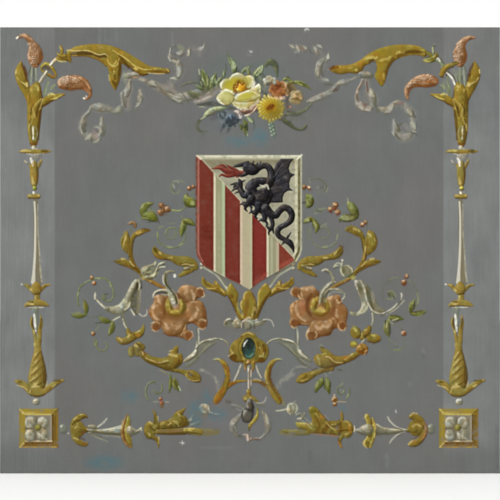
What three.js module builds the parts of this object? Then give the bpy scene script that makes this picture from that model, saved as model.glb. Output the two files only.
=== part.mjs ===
// A painted wall panel: one upright wooden board whose whole front is decorated in oil paint.
// The board is planed flat in front, with its sharp edges eased, and is thinned along all four
// edges at the back, as a board is that was made to be let into panelling. Its paint is a film
// with no depth of its own, so the solid is the board alone.
// Units are millimetres. X runs to the viewer's right, Z up, and the painted face looks along -Y.
// The origin is the middle of the flat back, where the board is fixed to a wall.

import * as THREE from "three";
import { ConvexGeometry } from "three/addons/geometries/ConvexGeometry.js";

// Driving dimensions
const WIDTH = 1000;
const HEIGHT = 892;
const THICKNESS = 16;
const RIM_THICKNESS = 9; // what the bevel on the back leaves along the edges
const BACK_BEVEL = 38; // how far that bevel reaches in from the rim
const FRONT_EASING = 0.8; // how much is planed off each sharp front edge

const PAINTED_WOOD = new THREE.MeshStandardMaterial({
  color: 0x6f7271,
  roughness: 0.55,
  metalness: 0,
});

// The four corners of an upright section through the board at depth y, drawn in from the rim.
function sectionCorners(y, inset) {
  const across = WIDTH / 2 - inset;
  const up = HEIGHT / 2 - inset;
  return [
    new THREE.Vector3(-across, y, -up),
    new THREE.Vector3(across, y, -up),
    new THREE.Vector3(across, y, up),
    new THREE.Vector3(-across, y, up),
  ];
}

// The board bulges nowhere inwards, so its solid is the hull of four sections: the painted face,
// the foot of the eased edge, the start of the back bevel, and the flat back.
function boardGeometry() {
  return new ConvexGeometry([
    ...sectionCorners(-THICKNESS, FRONT_EASING),
    ...sectionCorners(-THICKNESS + FRONT_EASING, 0),
    ...sectionCorners(-THICKNESS + RIM_THICKNESS, 0),
    ...sectionCorners(0, BACK_BEVEL),
  ]);
}

const board = new THREE.Mesh(boardGeometry(), PAINTED_WOOD);
board.name = "painted_board";

const panel = new THREE.Group();
panel.add(board);

export default panel;
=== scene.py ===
import math

import bmesh
import bpy
import numpy as np
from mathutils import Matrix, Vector
from mathutils.geometry import delaunay_2d_cdt


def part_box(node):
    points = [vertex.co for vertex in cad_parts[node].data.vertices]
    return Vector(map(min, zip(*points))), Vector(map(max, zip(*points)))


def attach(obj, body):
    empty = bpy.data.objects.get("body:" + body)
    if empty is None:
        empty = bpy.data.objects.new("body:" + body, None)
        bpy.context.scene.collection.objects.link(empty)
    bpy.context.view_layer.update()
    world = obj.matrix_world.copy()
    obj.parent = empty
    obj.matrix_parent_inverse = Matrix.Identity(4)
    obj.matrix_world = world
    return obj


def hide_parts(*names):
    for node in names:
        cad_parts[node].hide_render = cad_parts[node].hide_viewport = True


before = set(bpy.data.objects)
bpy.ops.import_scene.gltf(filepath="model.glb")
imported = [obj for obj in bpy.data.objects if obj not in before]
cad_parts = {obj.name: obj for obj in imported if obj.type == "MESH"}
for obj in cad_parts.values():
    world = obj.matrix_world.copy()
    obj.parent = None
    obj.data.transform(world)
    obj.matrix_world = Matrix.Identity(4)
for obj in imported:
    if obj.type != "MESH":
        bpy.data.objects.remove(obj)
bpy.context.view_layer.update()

# The camera stands straight in front of the panel, level with its middle, as for a record
# photograph: the board's width fills the frame from edge to edge.
board_low, board_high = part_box("painted_board")
front_y = board_low[1]
CAMERA_DISTANCE = 4.2
SENSOR_WIDTH = 36.0
photo_camera = bpy.data.cameras.new("photo_camera")
photo_camera.sensor_width = SENSOR_WIDTH
photo_camera.lens = SENSOR_WIDTH * CAMERA_DISTANCE / (board_high[0] - board_low[0])
camera_stand = bpy.data.objects.new("camera_stand", photo_camera)
camera_stand.location = (0, front_y - CAMERA_DISTANCE, 0.0005)
camera_stand.rotation_euler = (math.radians(90), 0, 0)
bpy.context.scene.collection.objects.link(camera_stand)
bpy.context.scene.camera = camera_stand
bpy.context.scene.view_settings.view_transform = "Standard"

# The studio: a pale floor under the panel's bottom edge, a wide soft lamp up on the left, a weaker
# one on the right, and white paper all round that lights only a little.
LAMPS = {
    "lamp_left": ((-2.6, -3.4, 2.4), 2.6, 56),
    "lamp_right": ((3.2, -3.0, 1.2), 2.6, 34),
    "lamp_over_floor": ((0, -0.9, 2.6), 1.6, 58),
}
for name, (place, size, power) in LAMPS.items():
    lamp = bpy.data.lights.new(name, "AREA")
    lamp.size = size
    lamp.energy = power
    lamp_stand = bpy.data.objects.new(name, lamp)
    lamp_stand.location = place
    aim = Vector((0, place[1] if place[0] == 0 else 0, 0))
    lamp_stand.rotation_euler = (aim - Vector(place)).to_track_quat("-Z", "Y").to_euler()
    bpy.context.scene.collection.objects.link(lamp_stand)

paper = bpy.data.worlds.new("white_paper")
bpy.context.scene.world = paper
paper.use_nodes = True
paper_nodes = paper.node_tree.nodes
paper_links = paper.node_tree.links
backdrop = paper_nodes["Background"]
seen = paper_nodes.new("ShaderNodeLightPath")
brightness = paper_nodes.new("ShaderNodeMapRange")
brightness.inputs["To Min"].default_value = 0.36
brightness.inputs["To Max"].default_value = 1.0
paper_links.new(seen.outputs["Is Camera Ray"], brightness.inputs["Value"])
paper_links.new(brightness.outputs["Result"], backdrop.inputs["Strength"])
backdrop.inputs["Color"].default_value = (1, 1, 1, 1)

floor_mesh = bpy.data.meshes.new("studio_floor")
floor = bpy.data.objects.new("studio_floor", floor_mesh)
bpy.context.scene.collection.objects.link(floor)
sheet = bmesh.new()
bmesh.ops.create_grid(sheet, x_segments=1, y_segments=1, size=9)
bmesh.ops.translate(sheet, verts=sheet.verts, vec=(0, 0, board_low[2] - 0.0005))
sheet.to_mesh(floor_mesh)
sheet.free()
floor_paper = bpy.data.materials.new("pale_floor")
floor_paper.use_nodes = True
floor_paper.node_tree.nodes["Principled BSDF"].inputs["Base Color"].default_value = (0.93, 0.93, 0.92, 1)
floor_paper.node_tree.nodes["Principled BSDF"].inputs["Roughness"].default_value = 0.9
floor_mesh.materials.append(floor_paper)

# The picture's ground is a planed board, and the picture is worked out here on a fine net of points
# over its face, in millimetres from the middle line of the ornament and from mid-height. A point
# holds the paint's colour times its cover, then its cover; bare grey ground has no cover.
FRONT_EASING = 0.0008
NET_COLUMNS = 1280
NET_ROWS = 1152
AXIS = -4.6
half_width = (board_high[0] - FRONT_EASING) * 1000
half_height = (board_high[2] - FRONT_EASING) * 1000
xs = np.linspace(-half_width, half_width, NET_COLUMNS + 1) - AXIS
zs = np.linspace(-half_height, half_height, NET_ROWS + 1)
x_step = xs[1] - xs[0]
z_step = zs[1] - zs[0]
picture = np.zeros((NET_ROWS + 1, NET_COLUMNS + 1, 4), dtype=np.float32)
SOFT = 1.4
PAINTED_LIGHT = np.array((-0.56, 0.60, 0.57))
hand = np.random.default_rng(7)


def mottle(size_x, size_z):
    """Even, cloudy unevenness over the whole net, of spots about this many mm wide and high."""
    waves_x = np.fft.rfftfreq(NET_COLUMNS + 1, x_step)[None, :] * size_x
    waves_z = np.fft.fftfreq(NET_ROWS + 1, z_step)[:, None] * size_z
    spots = np.fft.rfft2(hand.standard_normal((NET_ROWS + 1, NET_COLUMNS + 1)))
    spots = np.fft.irfft2(spots * np.exp(-2 * (waves_x**2 + waves_z**2)), s=(NET_ROWS + 1, NET_COLUMNS + 1))
    return (spots / spots.std()).astype(np.float32)


brushwork = 0.7 * mottle(6, 6) + 0.4 * mottle(14, 14)
tint = (0.8 * mottle(13, 15) + 0.5 * mottle(7, 7))[..., None] * (0.022, -0.008, -0.05)
RIB_WIDTH = 5.0
side = 1
turned_about = None


def place(points):
    """Points given on the left half, carried to the half that is being painted.

    They are mirrored, or only moved across where turned_about names the motif's own middle, as a
    painter does with what the light shapes.
    """
    placed = np.array(points, dtype=float)
    if side < 0:
        placed[:, 0] = -placed[:, 0] if turned_about is None else placed[:, 0] - 2 * turned_about
    return placed


def curve(points, spacing=1.7):
    """A smooth line through given points (x, z, width), with half widths, at even steps."""
    p = place(points)
    p[:, 2] /= 2
    p = np.concatenate(([2 * p[0] - p[1]], p, [2 * p[-1] - p[-2]]))
    line = []
    for a, b, c, d in zip(p[:-3], p[1:-2], p[2:-1], p[3:]):
        count = max(2, math.ceil(math.hypot(c[0] - b[0], c[1] - b[1]) / spacing))
        t = (np.arange(count) / count)[:, None]
        line.append(b + 0.5 * t * (c - a + t * (2 * a - 5 * b + 4 * c - d + t * (3 * (b - c) + d - a))))
    line = np.concatenate(line + [p[-2:-1]])
    line[:, 2] = np.maximum(line[:, 2], 0.12)
    return line


def window(low_x, high_x, low_z, high_z):
    """The part of the net that holds these limits."""
    rows = slice(max(0, int((low_z - zs[0]) / z_step)), min(NET_ROWS + 1, int((high_z - zs[0]) / z_step) + 2))
    columns = slice(max(0, int((low_x - xs[0]) / x_step)), min(NET_COLUMNS + 1, int((high_x - xs[0]) / x_step) + 2))
    return rows, columns


def limb(points, soft=SOFT):
    """A round limb along a line: its window, how far outside each point lies, its swell, its ribs."""
    line = curve(points)
    reach = line[:, 2].max() + soft
    rows, columns = window(
        line[:, 0].min() - reach, line[:, 0].max() + reach, line[:, 1].min() - reach, line[:, 1].max() + reach)
    gap = np.full((rows.stop - rows.start, columns.stop - columns.start), 40.0)
    swell = np.full_like(gap, -40.0)
    lateral = np.zeros_like(gap)
    along = np.zeros_like(gap)
    gone = 0.0
    for (x0, z0, w0), (x1, z1, w1) in zip(line[:-1], line[1:]):
        near = max(w0, w1) + soft
        r, c = window(min(x0, x1) - near, max(x0, x1) + near, min(z0, z1) - near, max(z0, z1) + near)
        dx = xs[c][None, :] - x0
        dz = zs[r][:, None] - z0
        run_x, run_z = x1 - x0, z1 - z0
        length = max(run_x * run_x + run_z * run_z, 1e-9)
        t = np.clip((dx * run_x + dz * run_z) / length, 0, 1)
        away = np.hypot(dx - t * run_x, dz - t * run_z)
        wide = w0 + (w1 - w0) * t
        here = (slice(r.start - rows.start, r.stop - rows.start), slice(c.start - columns.start, c.stop - columns.start))
        out = away - wide
        round_top = np.where(out < 0, np.sqrt(np.maximum(wide * wide - away * away, 0)), -3 * out)
        np.maximum(swell[here], round_top, out=swell[here])
        nearer = out < gap[here]
        lateral[here] = np.where(nearer, (dx * run_z - dz * run_x) / math.sqrt(length) / max(wide.max(), 0.5), lateral[here])
        along[here] = np.where(nearer, gone + t * math.sqrt(length), along[here])
        gap[here] = np.where(nearer, out, gap[here])
        gone += math.sqrt(length)
    widest = line[:, 2].max()
    turns = lateral * max(widest, 3.0) / RIB_WIDTH + 0.28 * brushwork[rows, columns] + 0.004 * along
    ribs = np.sin(2 * math.pi * turns) * min(1.0, max(0.0, (widest - 2.0) / 3.0))
    return rows, columns, gap, swell, ribs


def shape(points, crown=6.0, smooth=False, reach=8.0):
    """A flat shape inside an outline of points (x, z), rounded off towards its edge over crown mm."""
    outline = place(rounded_outline(points) if smooth else points)
    rows, columns = window(outline[:, 0].min() - reach, outline[:, 0].max() + reach,
                           outline[:, 1].min() - reach, outline[:, 1].max() + reach)
    x = xs[columns][None, :]
    z = zs[rows][:, None]
    inside = np.zeros((z.size, x.size), dtype=bool)
    edge = np.full(inside.shape, 1e6)
    for (x0, z0), (x1, z1) in zip(outline, np.roll(outline, -1, axis=0)):
        if z0 != z1:
            inside ^= ((z0 > z) != (z1 > z)) & (x < (x1 - x0) * (z - z0) / (z1 - z0) + x0)
        t = np.clip(((x - x0) * (x1 - x0) + (z - z0) * (z1 - z0)) / max((x1 - x0) ** 2 + (z1 - z0) ** 2, 1e-9), 0, 1)
        edge = np.minimum(edge, np.hypot(x - x0 - t * (x1 - x0), z - z0 - t * (z1 - z0)))
    gap = np.where(inside, -edge, edge)
    rounded = crown - np.maximum(crown - edge, 0)
    swell = np.where(inside, np.sqrt(np.maximum(rounded * (2 * crown - rounded), 0)) * 0.6, -3 * edge)
    return rows, columns, gap, swell, np.zeros_like(gap)


def rounded_outline(points, spacing=1.5):
    """A closed smooth outline through given points (x, z)."""
    p = np.array(points, dtype=float)
    outline = []
    for a, b, c, d in zip(np.roll(p, 1, 0), p, np.roll(p, -1, 0), np.roll(p, -2, 0)):
        count = max(2, math.ceil(math.hypot(*(c - b)) / spacing))
        t = (np.arange(count) / count)[:, None]
        outline.append(b + 0.5 * t * (c - a + t * (2 * a - 5 * b + 4 * c - d + t * (3 * (b - c) + d - a))))
    return np.concatenate(outline)


def lay(rows, columns, colour, cover):
    """Lays a colour, 0 to 255, over what is painted already."""
    under = picture[rows, columns]
    cover = cover[..., None]
    under[..., :3] = under[..., :3] * (1 - cover) + np.asarray(colour) / 255 * cover
    under[..., 3:] = under[..., 3:] * (1 - cover) + cover


def as_forms(parts, soft):
    return [part if isinstance(part, tuple) else limb(part, soft) for part in parts]


LIT = (-0.55, -0.02, 0.44, 0.84, 1.0)


def model(tones, *parts, soft=SOFT, strength=1.0, rough=0.13, folds=0.16):
    """Paints limbs and shapes that have grown together as one swelling form, lit from the upper left.

    tones are five colours, from the darkest shade to the highest light. folds says how much the
    fine ribs that run along a limb stand out.
    """
    forms = as_forms(parts, soft)
    rows = slice(min(f[0].start for f in forms), max(f[0].stop for f in forms))
    columns = slice(min(f[1].start for f in forms), max(f[1].stop for f in forms))
    gap = np.full((rows.stop - rows.start, columns.stop - columns.start), 40.0)
    swell = np.full_like(gap, -40.0)
    ribs = np.zeros_like(gap)
    for r, c, form_gap, form_swell, form_ribs in forms:
        here = (slice(r.start - rows.start, r.stop - rows.start), slice(c.start - columns.start, c.stop - columns.start))
        ribs[here] = np.where(form_swell > swell[here], form_ribs, ribs[here])
        np.minimum(gap[here], form_gap, out=gap[here])
        np.maximum(swell[here], form_swell, out=swell[here])
    slope_z, slope_x = np.gradient(swell, z_step, x_step)
    lit = (PAINTED_LIGHT[2] - slope_x * PAINTED_LIGHT[0] - slope_z * PAINTED_LIGHT[1])
    lit = lit / np.sqrt(1 + slope_x**2 + slope_z**2) + rough * brushwork[rows, columns] + folds * ribs
    tones = np.asarray(tones)
    colour = np.stack([np.interp(lit, LIT, tones[:, channel]) for channel in range(3)], axis=-1)
    lay(rows, columns, colour * (1 + tint[rows, columns]), np.clip(0.5 - gap / soft, 0, 1) * strength)


def ball(x, z, width):
    return [(x, z, width), (x + 0.3, z, width)]


def oval(x, z, across, up, crown, turned=0):
    """An oval shape about x, z with these half sizes."""
    angles = np.radians(np.arange(0, 360, 15))
    u, v = across * np.cos(angles), up * np.sin(angles)
    cos, sin = math.cos(math.radians(turned)), math.sin(math.radians(turned))
    return shape(np.stack((x + u * cos - v * sin, z + u * sin + v * cos), axis=1), crown)


FULLER = 0.35


def touch(colour, *parts, soft=SOFT, strength=0.9, patchy=0.28):
    """Strokes of one colour, of limbs that may thin out to nothing. patchy strokes let the ground through."""
    for rows, columns, gap, *_ in as_forms(parts, soft):
        broken = np.clip(1 - 0.5 * patchy + patchy * brushwork[rows, columns], 0.35, 1)
        lay(rows, columns, colour, np.clip(0.5 - (gap - FULLER) / soft, 0, 1) * strength * broken)


# The gilded corner sprays: painted bronze stems that open into two plumes of brown-red feathers,
# a small white rod through a ring, and the long acanthus arm that carries the ribbon. Gold is
# yellow earth and brown in oil, with pale lights along the left of each form.
GOLD = ((74, 55, 17), (101, 81, 27), (129, 109, 39), (141, 120, 46), (156, 135, 62))
COLUMN_GOLD = ((80, 62, 24), (108, 90, 38), (134, 116, 52), (146, 129, 62), (160, 142, 78))
DULL_GOLD = ((70, 54, 18), (96, 79, 29), (119, 102, 40), (129, 112, 47), (144, 127, 62))
DEEP_GOLD = (70, 52, 16)
PALE_GOLD = (204, 186, 122)
RUST = (110, 66, 26)
WHITE = ((86, 82, 60), (112, 108, 86), (152, 146, 122), (192, 186, 164), (230, 226, 208))
CHALK = (238, 235, 222)
SAGE = ((70, 76, 54), (90, 96, 72), (114, 120, 94), (140, 146, 120), (176, 180, 154))
FEATHER = ((86, 54, 30), (110, 76, 46), (138, 99, 65), (158, 120, 86), (184, 150, 118))
FEATHER_LIGHT = (228, 204, 176)


def scales(path, strength):
    """Short barbs in rows across a plume, each a light dab with a dark one under it."""
    line = curve(path, spacing=4.8)
    flow = np.gradient(line[:, :2], axis=0)
    for row, ((x, z, w), (dx, dz)) in enumerate(zip(line, flow)):
        dx, dz = dx / math.hypot(dx, dz), dz / math.hypot(dx, dz)
        for across in np.arange(-w + 1.6 + (row % 2) * 2.2, w - 0.5, 4.4):
            here = (x - dz * across, z + dx * across)
            lit = (hand.uniform(0.5, 1.0) - 0.3 * abs(across) / w) * strength
            if side < 0:
                here = (-here[0], here[1])
            touch(FEATHER[0], ball(here[0] + 1.9, here[1] - 2.1, 3.4), strength=0.7 * lit)
            touch(FEATHER_LIGHT, ball(here[0], here[1], 3.5), strength=0.85 * lit)


def plume(body, barbs, edge, tip):
    """A feather: its plain brown body, rows of barbs on its lit side, and a darker far edge."""
    model(FEATHER, body, rough=0.26)
    touch(RUST, edge, strength=0.62, soft=3)
    scales(barbs, 1.0)
    touch((196, 156, 116), tip, strength=0.5)


for side in (-1, 1):
    touch(SAGE[2], [(-434, 318, 2), (-435, 340, 5), (-432, 368, 3)], [(-424, 334, 2), (-424, 352, 4), (-426, 370, 3)], strength=0.7)
    touch(SAGE[0], [(-438, 330, 1), (-438, 352, 2), (-434, 368, 1)], [(-429, 332, 2), (-428, 350, 3), (-429, 366, 2)], strength=0.6)
    touch(SAGE[4], [(-434, 322, 1), (-433, 345, 2), (-431, 366, 1)], [(-423, 340, 1), (-424, 366, 1.6)], strength=0.6)
    touch((112, 122, 82), [(-408, 300, 3), (-406, 318, 4), (-400, 336, 4), (-401, 350, 2)], [(-402, 306, 2), (-398, 320, 3), (-388, 330, 3)],
          [(-398, 306, 2), (-392, 316, 3), (-383, 322, 1)], strength=0.65)
    touch((156, 170, 112), [(-405, 312, 1), (-402, 326, 2), (-398, 337, 1)], [(-394, 322, 1), (-389, 329, 2), (-384, 331, 1)], strength=0.65)
plume([(-425, 374, 18), (-425, 388, 31), (-426, 402, 24), (-431, 413, 15), (-438, 423, 12), (-448, 429, 9), (-460, 425, 5)],
      [(-430, 375, 15), (-431, 388, 17), (-432, 401, 14), (-435, 413, 9)],
      [(-413, 398, 4), (-412, 386, 6), (-417, 376, 5)], [(-456, 430, 2), (-446, 430, 4), (-438, 425, 3)])
plume([(-370, 334, 22), (-357, 335, 30), (-342, 336, 28), (-328, 332, 22), (-318, 321, 13), (-315, 310, 7), (-321, 303, 5), (-327, 304, 4)],
      [(-376, 337, 13), (-364, 340, 16), (-350, 342, 14), (-338, 340, 8)],
      [(-374, 325, 4), (-360, 322, 6), (-344, 322, 6), (-330, 324, 4)], [(-336, 345, 2), (-324, 336, 4), (-315, 322, 2)])
touch(CHALK, [(-462, 424, 3), (-460, 426, 3)], [(-328, 304, 3), (-326, 303, 3)], [(-323, 308, 2), (-322, 306, 1.6)])
plume([(425, 375, 18), (425, 388, 28), (425, 400, 23), (427, 412, 15), (436, 421, 11), (446, 425, 8), (455, 424, 3)],
      [(419, 377, 14), (418, 388, 15), (419, 400, 12), (422, 411, 9), (429, 420, 6)],
      [(434, 378, 6), (435, 392, 6), (433, 406, 4), (438, 418, 2)], [(430, 424, 2), (442, 427, 3), (452, 426, 1)])
plume([(372, 338, 20), (358, 339, 27), (343, 338, 23), (330, 333, 16), (320, 324, 11), (318, 312, 9), (320, 304, 6)],
      [(368, 346, 9), (356, 347, 11), (342, 343, 10), (330, 337, 8), (320, 328, 6)],
      [(374, 330, 5), (360, 328, 6), (344, 329, 5), (330, 326, 4), (322, 314, 3)], [(326, 338, 2), (317, 328, 3), (314, 318, 2)])

for side in (-1, 1):
    if side > 0:
        touch((96, 78, 50), [(-409, 362, 4), (-402, 364, 6), (-394, 358, 6), (-388, 350, 4)], strength=0.5)
        model(GOLD, [(-413, 361, 3), (-407, 356, 5), (-398, 351, 6), (-390, 346, 6), (-384, 346, 4)])
        touch((88, 58, 20), [(-404, 353, 2), (-396, 348, 3), (-388, 345, 2)], strength=0.6)
        model(WHITE, [(-417, 334, 5), (-410, 345, 6), (-402, 357, 5)])
        touch(WHITE[1], [(-413, 334, 1), (-406, 345, 2), (-399, 354, 1)], strength=0.7)
        model(GOLD, [(-413, 361, 3), (-411, 369, 6), (-403, 373, 7), (-394, 368, 7), (-387, 359, 6), (-383, 350, 4)])
        touch((188, 182, 96), [(-412, 368, 2), (-404, 374, 3), (-396, 371, 3), (-390, 364, 1)], strength=0.7)
        touch(DEEP_GOLD, [(-410, 363, 3), (-404, 367, 3), (-396, 362, 2)], strength=0.7)
        touch((150, 96, 46), [(-392, 347, 3), (-385, 351, 3)], strength=0.6)
        model(WHITE, [(-394, 370, 6), (-388, 377, 7), (-382, 382, 7)])
        touch(WHITE[1], [(-389, 368, 1), (-383, 376, 2), (-378, 380, 1)], strength=0.7)
    model(GOLD,
          [(-428, 211, 11), (-428, 222, 19), (-428, 242, 25), (-427, 268, 28), (-426, 290, 31), (-427, 308, 30),
           (-424, 322, 23), (-421, 333, 9)],
          [(-434, 296, 12), (-441, 315, 17), (-448, 331, 21), (-454, 349, 23), (-456, 363, 15), (-453, 377, 3)],
          [(-416, 286, 8), (-406, 297, 15), (-394, 304, 15), (-380, 308, 11), (-366, 312, 3)])
    touch((84, 52, 16), [(-452, 375, 2), (-447, 364, 6), (-443, 350, 6), (-441, 339, 3)], strength=0.85)
    touch((176, 142, 70), [(-452, 366, 1), (-449, 356, 1.5), (-447, 346, 1)], strength=0.3)
    touch(PALE_GOLD, [(-464, 354, 2), (-463, 361, 2)], [(-462, 346, 1), (-456, 338, 2), (-447, 333, 2), (-441, 328, 2)],
          [(-442, 334, 4), (-441, 329, 4)], strength=0.85)
    touch((98, 76, 26), [(-438, 318, 2), (-436, 306, 3), (-438, 292, 1)], [(-459, 341, 1), (-449, 330, 2), (-444, 322, 2)], strength=0.6)
    touch((200, 182, 106), [(-425, 331, 4), (-421, 327, 6), (-419, 320, 3)], [(-433, 322, 2), (-431, 314, 1)], strength=0.7)
    touch((74, 52, 18), [(-411, 296, 1), (-418, 288, 4), (-421, 278, 5), (-423, 268, 3)], [(-428, 292, 1), (-432, 282, 3), (-434, 272, 2)],
          [(-414, 280, 3), (-416, 262, 5), (-418, 240, 4), (-418, 222, 3)], [(-433, 262, 2), (-436, 252, 2), (-434, 244, 1)],
          [(-411, 289, 4), (-402, 292, 4), (-394, 297, 2)], [(-413, 318, 2), (-410, 304, 2)], strength=0.75)
    touch((184, 164, 94), [(-413, 303, 2), (-422, 294, 2), (-430, 284, 2), (-428, 274, 3), (-431, 262, 2), (-438, 246, 1)],
          [(-427, 272, 4), (-426, 266, 4)], [(-438, 240, 3), (-437, 252, 2)], [(-410, 303, 1), (-413, 292, 2), (-417, 280, 1)],
          strength=0.7)
    touch((212, 200, 124), [(-399, 311, 3), (-393, 313, 4), (-386, 311, 1)], [(-393, 302, 1), (-384, 304, 3), (-374, 309, 2)], strength=0.75)
    touch((90, 86, 60), [(-433, 250, 2), (-433.5, 236, 3), (-430, 220, 2)], strength=0.75)
    touch(SAGE[3], [(-426, 249, 1.5), (-421.5, 240, 2), (-421, 230, 2), (-425, 220, 1.5)], strength=0.7)
    touch((96, 92, 62), [(-425.5, 242, 2), (-425, 226, 2)], strength=0.6)
    touch(CHALK, [(-429.5, 247, 2.4), (-429, 222, 2.4)])
    touch((104, 58, 22), [(-435, 213, 3), (-428, 211, 7), (-421, 213, 3)], strength=0.6)

side = 1
model(GOLD, [(-380, 384, 7), (-370, 386, 13), (-360, 385, 13), (-354, 377, 4)], [(-382, 394, 2), (-374, 389, 8)],
      [(-374, 410, 2), (-371, 400, 6), (-374, 389, 7)], [(-357, 400, 4), (-358, 390, 12)])
touch((84, 60, 20), [(-379, 389, 2), (-372, 385, 4), (-364, 386, 3)], [(-364, 396, 2), (-362, 386, 3)], [(-372, 380, 2), (-360, 380, 3)], strength=0.7)
touch((196, 184, 104), [(-384, 382, 1), (-375, 378, 3), (-364, 378, 2)], [(-380, 393, 2), (-377, 390, 2)], [(-376, 408, 1), (-374, 402, 2)],
      [(-361, 400, 2), (-358, 396, 3)], strength=0.7)
model(GOLD,
      [(-352, 396, 10), (-345, 399, 16), (-330, 400, 21), (-308, 401, 23), (-285, 398, 27), (-262, 391, 27),
       (-240, 381, 24), (-218, 370, 19), (-198, 362, 14), (-178, 360, 12), (-160, 358, 10)],
      [(-350, 389, 4), (-326, 390, 5), (-306, 387, 8), (-290, 382, 13), (-280, 374, 14)],
      [(-270, 388, 28), (-267, 372, 29), (-265, 356, 25), (-266, 342, 21), (-266, 332, 14), (-265, 322, 4)],
      [(-230, 374, 14), (-216, 360, 17), (-206, 355, 11)], folds=0.1)
touch((80, 60, 28), [(-350, 393, 4), (-338, 395, 6), (-326, 395, 7), (-312, 392, 4)], [(-305, 390, 4), (-295, 388, 7), (-284, 390, 5)],
      strength=0.9, patchy=0.1)
touch((116, 88, 34), [(-340, 388, 3), (-322, 388, 3), (-306, 384, 4), (-292, 377, 4), (-284, 368, 3)], strength=0.6)
touch((128, 126, 112), [(-351, 394, 3), (-344, 394, 4)], strength=0.6)
touch((76, 54, 14), [(-257, 391, 3), (-250, 381, 6), (-244, 373, 6), (-238, 364, 3)], [(-256, 380, 2), (-255, 366, 5), (-258, 350, 4)],
      [(-270, 338, 4), (-265, 331, 6)], [(-272, 362, 1), (-266, 351, 3), (-266, 342, 2)], [(-226, 354, 2), (-212, 350, 4), (-200, 352, 3)],
      [(-240, 370, 2), (-228, 358, 3)], strength=0.8)
touch((98, 62, 22), [(-188, 357, 3), (-174, 357, 6), (-163, 358, 6)], strength=0.75)
touch((184, 128, 48), [(-258, 398, 2), (-250, 394, 4)], strength=0.5)
touch((190, 150, 78), [(-172, 359, 1), (-165, 359, 2.5)], strength=0.5)
touch(PALE_GOLD, [(-357, 400, 3), (-346, 398.5, 2), (-330, 399.5, 1.8), (-316, 398.5, 1.8), (-305, 393.5, 2.4), (-296, 391, 2), (-286, 392.5, 2), (-279, 388, 1)],
      strength=0.8)
touch((206, 188, 112), [(-281, 382, 1), (-277, 374, 2.4), (-269, 368, 2.6), (-261, 371, 2.6), (-257, 383, 1)], [(-272, 368, 1), (-266, 373, 2.4), (-262, 379, 1)],
      [(-270, 400, 1), (-258, 392.5, 2.2), (-246, 385, 2.2), (-236, 377, 3), (-225, 368, 2)], [(-278, 350, 1.6), (-276, 340, 2)],
      [(-268, 358, 3), (-267, 352, 1)], [(-224, 367, 2), (-206, 361.5, 2), (-190, 363, 2), (-174, 363, 1)],
      [(-226, 364, 3), (-222, 362, 3)], [(-200, 355, 1), (-182, 353.5, 1.6), (-166, 353.5, 1)], [(-162, 362, 1.6), (-158, 358, 1.6)], strength=0.7)

# The right arm has a plainer back, a blunt dark end and a shorter hanging leaf.
model(GOLD, shape([(360, 396), (350, 405), (335, 410), (315, 411.5), (295, 411), (275, 407), (257, 401), (240, 392), (226, 381), (210, 373), (192, 370),
                   (175, 369.5), (165, 363), (172, 355), (187, 352), (203, 354.5), (218, 353.5), (229, 359), (234, 368), (244, 373), (252, 379),
                   (257, 374), (258, 362), (254, 349), (260, 336), (268, 328), (275, 337), (279, 352), (283, 365), (291, 376), (303, 384), (320, 389),
                   (340, 390), (354, 386)], crown=11, smooth=True), folds=0.1)
touch((142, 128, 26), oval(268, 396, 16, 7, 5), [(266, 372, 6), (262, 358, 8), (258, 348, 5)], ball(270, 332, 5), strength=0.4, soft=5)
touch((154, 106, 28), oval(229, 373, 9, 5, 4), oval(258, 391, 8, 5, 4), [(267, 356, 4), (266, 344, 6), (265, 336, 3)], [(185, 358, 5), (180, 362, 4)], strength=0.5, soft=4)
touch((84, 60, 20), [(300, 389, 3), (314, 394, 5), (328, 397.5, 7), (342, 397, 6), (351, 393, 4)], [(357, 393, 5), (354, 390, 5)], [(291, 384, 4), (286, 374, 6), (280, 364, 5), (277, 350, 3)],
      [(243, 376, 2), (249, 380, 4), (254, 382, 2)], [(228, 363, 2), (231, 368, 3)], strength=0.75, soft=2.4)
touch((92, 74, 26), [(318, 393, 2), (330, 393, 4), (342, 394, 2)], [(262, 340, 3), (264, 333, 3)], [(258, 366, 2), (257, 356, 2)], [(232, 356, 2), (220, 354, 3), (205, 355, 2)],
      [(196, 353, 2), (184, 353, 3), (174, 357, 2)], strength=0.5, soft=3)
touch((84, 50, 16), [(165, 362, 4), (171, 366, 6), (179, 366.5, 4)], strength=0.85, soft=3)
touch((176, 152, 140), ball(162, 362, 3), strength=0.5, soft=2)
touch((196, 180, 100), [(262, 378.5, 3), (270, 380.5, 5), (279, 382.5, 5), (285, 387, 3)], [(235, 382.5, 3), (243, 385, 6), (251, 386, 4)], [(254, 383, 3), (258, 386, 4)], strength=0.7, soft=2.4)
touch((212, 196, 118), ball(303.5, 396, 5), ball(217, 361, 5), [(309, 394, 2), (313, 396, 3)], [(298, 393, 1.6), (300, 397, 2)], strength=0.75, soft=2.4)
touch((186, 164, 84), [(189, 366, 2), (200, 365, 3), (210, 366.5, 2)], ball(184, 367, 3.4), [(346, 400, 2), (352, 401, 3)], [(344, 394, 2), (353, 392.5, 3)], [(272, 354, 2), (271.5, 346, 4), (272, 342, 2)],
      strength=0.6, soft=2)
touch((140, 118, 40), [(306, 386, 3), (322, 391, 2.4), (340, 392, 2)], strength=0.5, soft=2)
model(((66, 58, 18), (90, 82, 30), (114, 106, 42), (140, 132, 66), (172, 166, 104)), [(352, 379, 4), (360, 380, 10), (370, 382, 12), (377, 388, 10), (378, 394, 4)], [(360, 394, 6), (367, 390, 10)])
model(SAGE, [(373, 412, 2), (371, 403, 5), (371, 392, 6)], strength=0.8)
touch((74, 66, 24), [(357, 384, 2), (363, 386, 3), (370, 384, 2)], [(361, 396, 3), (367, 393, 3)], [(374, 408, 3), (371, 409, 2)], strength=0.7, soft=2)
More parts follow.
